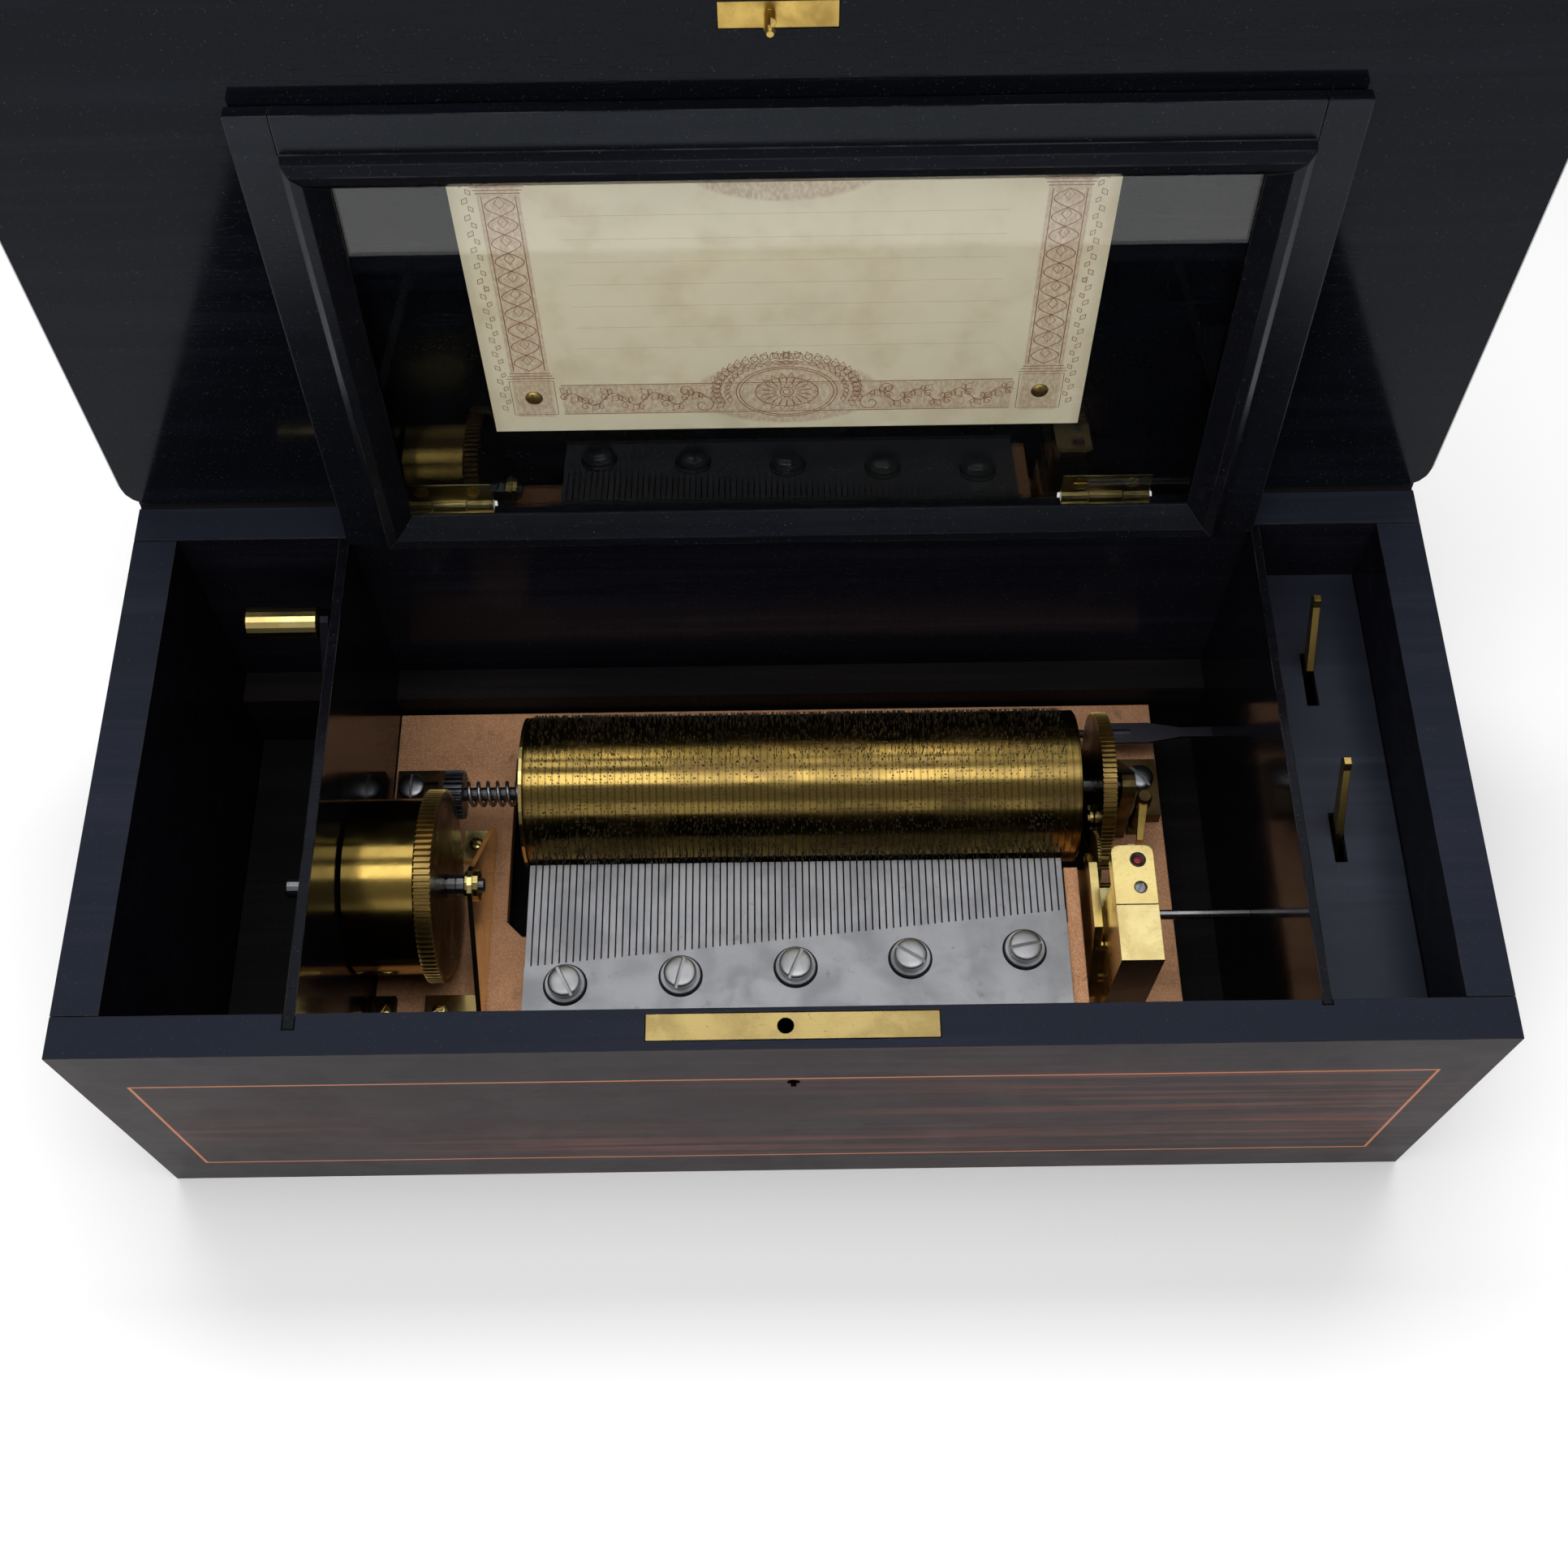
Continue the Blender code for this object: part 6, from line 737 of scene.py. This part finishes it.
def makeCylinderPins():
    plan = pinning
    chance = random.Random(plan["seed"])
    axis = cylinderShape["axis"]
    deselectAll()
    bpy.ops.mesh.primitive_cone_add(vertices=5, radius1=plan["radius"], radius2=plan["radius"] * 0.8,
                                    depth=plan["rise"] + plan["sink"], end_fill_type="NGON")
    pin = bpy.context.active_object
    middle = cylinderShape["radius"] + (plan["rise"] - plan["sink"]) / 2
    lean = Matrix.Rotation(plan["lean"], 3, "X")
    pattern = [Vector((spot.x, spot.y, spot.z + middle)) for spot in
               (lean @ vertex.co for vertex in pin.data.vertices)]
    faces = [tuple(face.vertices) for face in pin.data.polygons]
    discard(pin)
    points, polygons = [], []
    for track in range(plan["tracks"]):
        for tune in range(plan["tunes"]):
            x = plan["firstX"] + track * plan["pitch"] + tune * plan["pitch"] / (plan["tunes"] + 0.6)
            density = plan["share"] * (0.35 + 1.3 * chance.random())
            for beat in range(plan["beats"]):
                if chance.random() > density:
                    continue
                angle = math.tau * (beat + 0.25 * chance.random()) / plan["beats"]
                turn = Matrix.Rotation(angle, 3, "X")
                base = len(points)
                for corner in pattern:
                    spot = turn @ corner
                    points.append((x + spot.x, axis[1] + spot.y, axis[2] + spot.z))
                polygons.extend(tuple(base + index for index in face) for face in faces)
    mesh = bpy.data.meshes.new("cylinderPins")
    mesh.from_pydata(points, [], polygons)
    finishPiece(addObject("cylinderPins", mesh), "cylinderPins", "cylinder", "pinSteel", 0)
    print("pins:", len(polygons) // len(faces))


makeCylinderTube()
makeCylinderPins()


# Spring barrel drum

drumShape = {
    "axis": (0.0, -0.0185, 0.075649), "radius": 0.0310, "left": -0.1491, "right": -0.1238, "wall": 0.0020,
    "bore": 0.0041, "edge": 0.0006, "sides": 192,
}


def makeBarrelDrum():
    shape = drumShape
    inner = shape["radius"] - shape["wall"]
    floor = shape["left"] + shape["wall"]
    outline = [(shape["left"], shape["bore"]), *outerWall(shape), (shape["right"], inner), (floor, inner),
               (floor, shape["bore"])]
    piece = turnedPiece(outline, shape["axis"], "X", shape["sides"])
    finishPiece(piece, "barrelShell", "barrel", "drumBrass")
    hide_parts("barrel_drum")


makeBarrelDrum()


# Cylinder spring

springShape = {
    "axis": (0.0225, 0.066), "coil": 0.0042, "wire": 0.00072, "left": -0.1149, "right": -0.0938, "turns": 6.0,
    "steps": 28,
}


def makeSpring():
    shape = springShape
    count = int(shape["turns"] * shape["steps"])
    points = []
    for index in range(count + 1):
        share = index / count
        angle = math.tau * shape["turns"] * share
        points.append((shape["left"] + (shape["right"] - shape["left"]) * share,
                       shape["axis"][0] + shape["coil"] * math.cos(angle),
                       shape["axis"][1] + shape["coil"] * math.sin(angle)))
    piece = wirePiece("springCoil", [(points, 1.0, False)], shape["wire"], 3)
    finishPiece(piece, "springCoil", "cylinder_arbor", "screwSteel", 60)
    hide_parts("cylinder_spring")


makeSpring()


# A slotted head on its shank, standing on the origin, its slot along X
def makeScrewHead(shape):
    radius, height, wall, edge, shankRadius = (shape[key] for key in
                                               ("radius", "height", "wall", "edge", "shankRadius"))
    outline = [(-shape["shank"], poleRadius), (-shape["shank"], shankRadius), (0.0, shankRadius),
               (0.0, radius - edge), (edge, radius), (wall, radius)]
    steps = shape["domeSteps"]
    for index in range(1, steps):
        angle = math.pi / 2 * index / steps
        outline.append((wall + (height - wall) * math.sin(angle), radius * math.cos(angle)))
    outline.append((height, poleRadius))
    head = turnedPiece(outline, (0, 0, 0), "Z", shape["sides"])
    closePoles(head)
    past, half = 0.02, shape["slot"] / 2
    cutWith(head, slabAt((-past, -half, height - shape["slotDepth"]), (past, half, height + 0.01)))
    return head


# Turns a screw upside down, and then about its own axis
def headDown(degrees):
    return Matrix.Rotation(math.pi, 4, "X") @ Matrix.Rotation(math.radians(degrees), 4, "Z")


# Numbered copies of one screw on one body
def makeScrews(shape, name, body, finish, places):
    head = makeScrewHead(shape)
    for index, place in enumerate(places, 1):
        finishPiece(copyPiece(head, place), f"{name}{index}", body, finish)
    discard(head)


combScrewShape = {
    "radius": 0.0057, "height": 0.0037, "wall": 0.0028, "edge": 0.0003, "shankRadius": 0.0021, "shank": 0.0115,
    "slot": 0.0012, "slotDepth": 0.0024, "domeSteps": 6, "sides": 64,
}
combWasherShape = {"hole": 0.0024, "radius": 0.0072, "thickness": 0.0012, "edge": 0.0003, "shadowRingRadius": 0.0078,
                   "shadowRingHeight": 0.00025, "sides": 64}
combScrewPlaces = [
    (-0.0761, -0.0527, -62), (-0.03575, -0.0500, 76), (0.0046, -0.0473, 66), (0.04495, -0.0446, -32),
    (0.0853, -0.0419, 10),
]
combTop = 0.0660


def makeCombScrews():
    hole, radius, thick, edge, shadowRingRadius, rise, sides = combWasherShape.values()
    head = makeScrewHead(combScrewShape)
    outline = [(0.0, hole), (0.0, radius), (thick - edge, radius), (thick, radius - edge), (thick, hole)]
    ring = turnedPiece(outline, (0, 0, 0), "Z", sides)
    # A thin black disc under each washer, a little wider than it: a painted shadow round the washer's edge
    outline = [(0.0, hole), (0.0, shadowRingRadius), (rise, shadowRingRadius - 0.0001), (rise, hole)]
    shadow = turnedPiece(outline, (0, 0, 0), "Z", sides)
    base = combTop + rise + 0.00005
    for index, (x, y, turn) in enumerate(combScrewPlaces, 1):
        seat = copyPiece(shadow, upright((x, y, combTop + 0.00002)))
        finishPiece(seat, f"combShadowRing{index}", "case", "blackSteel")
        plate = copyPiece(ring, upright((x, y, base)))
        finishPiece(plate, f"combWasher{index}", "case", "washerSteel")
        screw = copyPiece(head, upright((x, y, base + thick), turn))
        finishPiece(screw, f"combScrewHead{index}", "case", "screwSteel")
        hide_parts(f"comb_screw_{index}")
    for item in (head, ring, shadow):
        discard(item)


bridgeScrewShape = {
    "radius": 0.0052, "height": 0.0030, "wall": 0.0016, "edge": 0.0003, "shankRadius": 0.0021, "shank": 0.0090,
    "slot": 0.0010, "slotDepth": 0.0013, "domeSteps": 6, "sides": 48,
}
smallScrewShape = {
    "radius": 0.0026, "height": 0.0014, "wall": 0.0006, "edge": 0.0002, "shankRadius": 0.0011, "shank": 0.0070,
    "slot": 0.0006, "slotDepth": 0.0007, "domeSteps": 5, "sides": 32,
}
bridgeScrews = [
    ("leftBridgeScrew", (-0.1412, 0.0375, 0.0426), 90, "left_bridge_screw"),
    ("rightBridgeScrew", (0.1372, 0.0370, 0.0426), -50, "right_bridge_screw"),
]
barrelFootScrews = [
    ((-0.1246, -0.0520, 0.0401), 25), ((-0.1154, 0.0144, 0.0401), -40), ((-0.1447, -0.0520, 0.0401), 70),
    ((-0.1447, 0.0144, 0.0401), 10),
]


def makeSmallScrews():
    head = makeScrewHead(bridgeScrewShape)
    for name, place, turn, node in bridgeScrews:
        screw = copyPiece(head, upright(place, turn))
        finishPiece(screw, name, "case", "steel")
        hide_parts(node)
    discard(head)
    places = [upright(place, turn) for place, turn in barrelFootScrews]
    makeScrews(smallScrewShape, "barrelFootScrew", "case", "brightBrass", places)


bedBoltShape = {
    "radius": 0.0054, "height": 0.0032, "wall": 0.0024, "edge": 0.0003, "shankRadius": 0.0024, "shank": 0.0180,
    "slot": 0.0012, "slotDepth": 0.0014, "domeSteps": 4, "sides": 48, "seat": 0.0045,
}
bedBoltPlaces = [(x, y) for x in (-0.1412, 0.1375) for y in (-0.065, 0.065)]


def makeBedBolts():
    places = [Matrix.Translation((x, y, bedBoltShape["seat"])) @ headDown(40 * index)
              for index, (x, y) in enumerate(bedBoltPlaces, 1)]
    makeScrews(bedBoltShape, "bedBolt", "case", "steel", places)


makeCombScrews()
makeSmallScrews()
makeBedBolts()
print("screws placed")


# Governor cock: its screw and the jewel in its seat

cockParts = {
    "screw": {"radius": 0.0021, "height": 0.0010, "wall": 0.0007, "edge": 0.0001, "shankRadius": 0.0011,
              "shank": 0.0075, "slot": 0.0005, "slotDepth": 0.0005, "domeSteps": 4, "sides": 32},
    "screwPlace": (0.1226, -0.0312, 0.0941), "screwTurn": 55, "jewelPlace": (0.1226, -0.0209, 0.0938),
    "jewelRadius": 0.0015, "settingRadius": 0.0026, "settingHeight": 0.0011, "sides": 48, "domeSteps": 6,
}


def makeCockParts():
    parts = cockParts
    head = makeScrewHead(parts["screw"])
    screw = copyPiece(head, upright(parts["screwPlace"], parts["screwTurn"]))
    finishPiece(screw, "cockScrew", "case", "steel")
    discard(head)
    x, y, z = parts["jewelPlace"]
    outer, inner, height = parts["settingRadius"], parts["jewelRadius"], parts["settingHeight"]
    outline = [(z, inner), (z, outer), (z + height * 0.7, outer), (z + height, outer * 0.86),
               (z + height * 0.55, inner)]
    ring = turnedPiece(outline, (x, y, 0), "Z", parts["sides"])
    finishPiece(ring, "jewelSetting", "case", "darkSteel")
    dome = inner * 0.97
    outline = [(z, poleRadius), (z, dome)]
    for index in range(1, parts["domeSteps"]):
        angle = math.pi / 2 * index / parts["domeSteps"]
        outline.append((z + height * (0.5 + 0.35 * math.sin(angle)), dome * math.cos(angle)))
    outline.append((z + height * 0.85, poleRadius))
    stone = turnedPiece(outline, (x, y, 0), "Z", parts["sides"])
    closePoles(stone)
    finishPiece(stone, "jewelStone", "case", "jewelRed", 60)


makeCockParts()


# Lid hinge screws and card pins, on the open lid

lidPlace = {"hingeY": 0.1019, "hingeZ": 0.13715, "openDegrees": 94.0}


# Where a point of the closed lid stands when the lid is open
def openedWithLid(point):
    hinge = Vector((0, lidPlace["hingeY"], lidPlace["hingeZ"]))
    turn = Matrix.Rotation(-math.radians(lidPlace["openDegrees"]), 4, "X")
    return Matrix.Translation(hinge) @ turn @ Matrix.Translation(-hinge) @ Matrix.Translation(Vector(point))


hingeScrews = {
    "radius": 0.0025, "height": 0.0007, "wall": 0.0005, "edge": 0.0001, "shankRadius": 0.0010, "shank": 0.0085,
    "slot": 0.0005, "slotDepth": 0.0004, "domeSteps": 3, "sides": 32,
    "centres": (-0.115, 0.116), "offset": 0.009, "y": 0.0955, "z": 0.1382,
}
cardPins = {
    "radius": 0.0029, "height": 0.0011, "wall": 0.0002, "edge": 0.0001, "shankRadius": 0.0006, "shank": 0.0020,
    "slot": 0.0005, "slotDepth": 0.0004, "domeSteps": 5, "sides": 32,
    "offset": 0.0828, "inset": 0.016, "z": 0.13653, "turn": 95,
}
cardNearEdge = lidPlace["hingeY"] - 0.0385


def makeLidFasteners():
    shape = hingeScrews
    spots = [centre + side * shape["offset"] for centre in shape["centres"] for side in (-1, 1)]
    places = [openedWithLid((x, shape["y"], shape["z"])) @ headDown(30 + 50 * index)
              for index, x in enumerate(spots, 1)]
    makeScrews(shape, "lidHingeScrew", "lid", "goldHinge", places)
    shape = cardPins
    rows = (cardNearEdge - shape["inset"], cardNearEdge - cardLook["height"] + shape["inset"])
    places = [openedWithLid((cardLook["middleX"] + side * shape["offset"], y, shape["z"])) @ headDown(shape["turn"])
              for side in (-1, 1) for y in rows]
    makeScrews(shape, "cardPin", "lid", "dullBrass", places)


makeLidFasteners()
print("lid fasteners placed")


# Dark strip in the lid's rear corner with its thin lip, broken at the hinges: a painted shadow that fills the gap
# between lid and case

lidGapShadow = {"spans": ((-0.2245, -0.1318), (-0.0982, 0.0992), (0.1328, 0.2245)), "cornerY": (0.0993, 0.1024),
           "cornerZ": (0.13736, 0.1404), "lipY": (0.10162, 0.10260), "lipZ": (0.13620, 0.13735)}


def makeLidGapShadow():
    shape = lidGapShadow
    parts = []
    for low, high in shape["spans"]:
        parts.append(slabAt((low, shape["lipY"][0], shape["lipZ"][0]), (high, shape["lipY"][1], shape["lipZ"][1])))
        corner = slabAt((low, shape["cornerY"][0], shape["cornerZ"][0]),
                        (high, shape["cornerY"][1], shape["cornerZ"][1]))
        corner.matrix_world = openedWithLid((0, 0, 0))
        parts.append(corner)
    deselectAll()
    for part in parts:
        part.select_set(True)
    bpy.context.view_layer.objects.active = parts[0]
    bpy.ops.object.join()
    finishPiece(parts[0], "lidGapShadow", "lid", "stainedWood", 0)


makeLidGapShadow()


# Printed lines on the tune card, drawn in millimetres from the card's lower edge

printPlan = {
    "thick": 0.00030, "fine": 0.00018, "flat": 0.2, "face": 0.13658,
    "bandRules": ((8.0, "thick"), (8.9, "fine"), (20.6, "fine"), (21.5, "thick")), "bandEnd": 73.5,
    "vineV": 14.8, "vineRise": 2.8, "vineStart": 26, "vineSpan": 47.5, "vineWaves": 3.5, "vineLeaves": 14,
    "blockU": (75.6, 90.0), "blockV": (8.0, 23.6), "pinU": 82.8, "pinV": 16.0, "pinRings": (4.6, 5.6),
    "sprigU": 92.0, "sprigs": 9, "rosetteV": 17.0, "petals": 18, "ropeLow": 28.4, "ropeTurns": 10,
    "blankLines": 7, "blankHalf": 66.0,
}
strokes = []


def draw(points, weight="thick", closed=False):
    strokes.append((points, printPlan[weight], closed))


def drawRing(u, v, radiusU, radiusV, count, weight="thick"):
    draw([(u + radiusU * math.cos(math.tau * i / count), v + radiusV * math.sin(math.tau * i / count))
          for i in range(count)], weight, True)


def drawFrame(u0, v0, u1, v1, weight="thick"):
    draw([(u0, v0), (u1, v0), (u1, v1), (u0, v1)], weight, True)


def drawLeaf(u, v, length, angle, width=0.30):
    tip = (u + length * math.cos(angle), v + length * math.sin(angle))
    across = (-math.sin(angle) * length * width, math.cos(angle) * length * width)
    middle = ((u + tip[0]) / 2, (v + tip[1]) / 2)
    draw([(u, v), (middle[0] + across[0], middle[1] + across[1]), tip,
          (middle[0] - across[0], middle[1] - across[1])], "thick", True)
    draw([(u, v), tip], "fine")


def drawScroll(u, v, size, turn, hand):
    points = []
    for i in range(26):
        angle = turn + hand * i / 25 * math.tau * 1.25
        reach = size * (1 - i / 25 * 0.86)
        points.append((u + reach * math.cos(angle), v + reach * math.sin(angle)))
    draw(points)


def sideAngle(angle, side):
    return angle if side > 0 else math.pi - angle


# Border band: rules, a running vine and its leaves
def drawBand(up, hand):
    plan = printPlan

    def vineAt(share):
        return plan["vineV"] + plan["vineRise"] * math.sin(share * math.tau * plan["vineWaves"])

    for v, weight in plan["bandRules"]:
        draw([(-plan["bandEnd"], up(v)), (plan["bandEnd"], up(v))], weight)
    for side in (-1, 1):
        draw([(side * (plan["vineStart"] + plan["vineSpan"] * i / 60), up(vineAt(i / 60))) for i in range(61)])
        for i in range(plan["vineLeaves"]):
            u = side * (28.5 + 3.3 * i)
            v = vineAt((abs(u) - plan["vineStart"]) / plan["vineSpan"])
            away = 1 if i % 2 else -1
            lean = sideAngle(0.9, side) * away * hand
            drawLeaf(u, up(v), 4.2, lean)
            drawLeaf(u, up(v), 3.0, lean + 0.9 * away * side)
            if i % 2:
                drawScroll(u + side * 1.4, up(v - away * 1.2), 1.7, 0.6 * away, away)


# Corner blocks with a plain ring round each pin, and sprigs outside the pillars
def drawCorners(up, hand):
    plan = printPlan
    nearU, farU = plan["blockU"]
    nearV, farV = plan["blockV"]
    for side in (-1, 1):
        for inset, weight in ((0.0, "thick"), (0.9, "fine")):
            drawFrame(side * (nearU + inset), up(nearV + inset), side * (farU - inset), up(farV - inset), weight)
        for radius in plan["pinRings"]:
            drawRing(side * plan["pinU"], up(plan["pinV"]), radius, radius, 28, "fine")
        for step in (0.0, 1.2, 2.4):
            draw([(side * (75.0 + step * 0.5), up(24.8 + step)), (side * (90.6 - step * 0.5), up(24.8 + step))])
    for side in (-1, 1):
        for i in range(plan["sprigs"]):
            v = 10 + i * 6.2
            drawLeaf(side * plan["sprigU"], up(v), 3.0, sideAngle(1.0, side) * hand)
            drawLeaf(side * plan["sprigU"], up(v + 3.1), 2.6, sideAngle(2.1, side) * hand)


# Middle rosette of the lower band and its wreath
def drawRosette():
    level = printPlan["rosetteV"]
    petals = printPlan["petals"]
    for grow in (0.0, 1.1, 6.2):
        drawRing(0, level, 16.5 - grow, 11.6 - grow * 0.8, 56)
    for i in range(petals):
        angle = math.tau * i / petals
        drawLeaf(9.6 * math.cos(angle) * 0.35, level + 6.4 * math.sin(angle) * 0.35, 6.8, angle, 0.20)
    for radius in (1.2, 2.2):
        drawRing(0, level, radius, radius, 20)
    for side in (-1, 1):
        for i in range(15):
            angle = math.radians(200 - 112 * (i / 14))
            u, v = 21.5 * math.cos(angle) * -side, 17.5 + 14.5 * math.sin(angle)
            out = math.atan2(v - 17.5, u)
            drawLeaf(u, v, 4.6, out + 0.9 * side, 0.28)
            drawLeaf(u, v, 4.0, out - 0.5 * side, 0.28)
            drawLeaf(u * 0.92, v * 0.96, 3.2, out + 1.8 * side, 0.3)
        drawScroll(side * 27.5, 11.5, 4.2, 1.2 if side > 0 else 1.9, side)
        drawScroll(side * 33.0, 18.0, 3.0, 4.0 if side > 0 else 5.4, -side)


# Pillars: rope twist between two rules
def drawPillars(height):
    low, turns = printPlan["ropeLow"], printPlan["ropeTurns"]
    span = height - 2 * low
    for side in (-1, 1):
        middle = side * printPlan["pinU"]
        for offset, weight in ((-6.0, "fine"), (-5.0, "thick"), (5.0, "thick"), (6.0, "fine")):
            draw([(middle + offset, low), (middle + offset, height - low)], weight)
        for phase in (0.0, math.pi):
            draw([(middle + 4.4 * math.sin(i / 160 * math.tau * turns / 2 + phase), low + span * i / 160)
                  for i in range(161)])
        for i in range(turns):
            drawLeaf(middle, 31.0 + span * i / turns, 4.4, math.pi / 2, 0.36)


# Entry lines, left blank, and the heading panel
def drawEntries():
    half = printPlan["blankHalf"]
    for i in range(printPlan["blankLines"]):
        draw([(-half, 38.0 + i * 9.0), (half, 38.0 + i * 9.0)], "fine")
    drawFrame(-40, 104, 40, 117.5)
    drawFrame(-38.8, 105.2, 38.8, 116.3, "fine")
    for side in (-1, 1):
        for i in range(4):
            drawScroll(side * (44 + i * 6.5), 106.5, 2.6, 0.5 + i, side)


def makeCardPrint():
    height = cardLook["height"] * 1000
    for up, hand in ((lambda v: v, 1), (lambda v: height - v, -1)):
        drawBand(up, hand)
        drawCorners(up, hand)
    drawRosette()
    drawPillars(height)
    drawEntries()
    face = printPlan["face"]
    lines = [([(cardLook["middleX"] + u / 1000, cardNearEdge - v / 1000, face) for u, v in points], weight, closed)
             for points, weight, closed in strokes]
    piece = wirePiece("cardPrint", lines, 1.0, 0)
    editAll()
    bpy.ops.transform.resize(value=(1, 1, printPlan["flat"]), center_override=(0, 0, face))
    objectMode()
    piece.matrix_world = openedWithLid((0, 0, 0))
    finishPiece(piece, "cardPrint", "lid", "sepiaInk", 0)
    print("card print faces:", len(piece.data.polygons))


makeCardPrint()


# Floor, light and camera

studio = {
    "floorTints": ((0.74, 0.74, 0.74, 1), (0.72, 0.72, 0.72, 1)), "floorSize": 8, "floorZ": -0.0003,
    "worldForCamera": 0.95, "worldForThings": 0.13,
    "cameraPlace": (0.00312, -0.28476, 0.67330), "cameraTurn": (27.015, 0.508, -0.671), "lens": 42.45,
}


# Place, aim, size, power, and whether polished surfaces mirror it
lights = {
    "overheadPanel": ((0.0, -0.14, 1.55), (0, 0, 0), (1.5, 0.42), 4.0, True),
    "overheadSoft": ((0.0, -0.14, 1.60), (0, 0, 0), (1.5, 0.80), 11, False),
    "rearPanel": ((0.0, 0.66, 1.62), (0, 0, 0), (1.8, 0.60), 3.4, True),
    "rearSoft": ((0.0, 0.66, 1.66), (0, 0, 0), (1.6, 0.50), 19, False),
    "frontSoft": ((-0.5, -1.7, 1.3), (0, 0, 0.1), (2.2, 1.0), 34, False),
    "frontGlow": ((-0.5, -1.7, 1.25), (0, 0, 0.1), (2.2, 1.0), 2, True),
}


def makeStudio():
    deselectAll()
    bpy.ops.mesh.primitive_plane_add(size=studio["floorSize"], location=(0, 0, studio["floorZ"]))
    floor = bpy.context.active_object
    floor.name = "studioFloor"
    tree, shader, vector, _ = newFinish("studioFloor")
    dress(tree, shader, blendColours(tree, clouds(tree, vector, 3.0), *studio["floorTints"]), 0.9)
    floor.data.materials.append(finishes["studioFloor"])

    world = bpy.data.worlds.new("studioWorld")
    bpy.context.scene.world = world
    world.use_nodes = True
    tree = world.node_tree
    background = tree.nodes["Background"]
    path = tree.nodes.new("ShaderNodeLightPath")
    strength = tree.nodes.new("ShaderNodeMapRange")
    tree.links.new(path.outputs["Is Camera Ray"], strength.inputs["Value"])
    strength.inputs["To Min"].default_value = studio["worldForThings"]
    strength.inputs["To Max"].default_value = studio["worldForCamera"]
    tree.links.new(strength.outputs["Result"], background.inputs["Strength"])
    background.inputs["Color"].default_value = (1, 1, 1, 1)


def addLight(name, place, aim, size, power, mirrored):
    lamp = bpy.data.lights.new(name, "AREA")
    lamp.shape = "RECTANGLE"
    lamp.size, lamp.size_y = size
    lamp.energy = power
    holder = addObject(name, lamp)
    holder.location = place
    holder.rotation_euler = (Vector(aim) - Vector(place)).to_track_quat("-Z", "Y").to_euler()
    holder.visible_glossy = mirrored


def makeCamera():
    camera = bpy.data.cameras.new("photoCamera")
    camera.sensor_width = 36
    camera.lens = studio["lens"]
    camera.clip_start = 0.01
    holder = addObject("photoCamera", camera)
    holder.location = studio["cameraPlace"]
    holder.rotation_euler = Euler([math.radians(value) for value in studio["cameraTurn"]], "XYZ")
    bpy.context.scene.camera = holder


makeStudio()
for lightName, light in lights.items():
    addLight(lightName, *light)
makeCamera()
bpy.context.scene.view_settings.view_transform = "Standard"
print("studio ready")
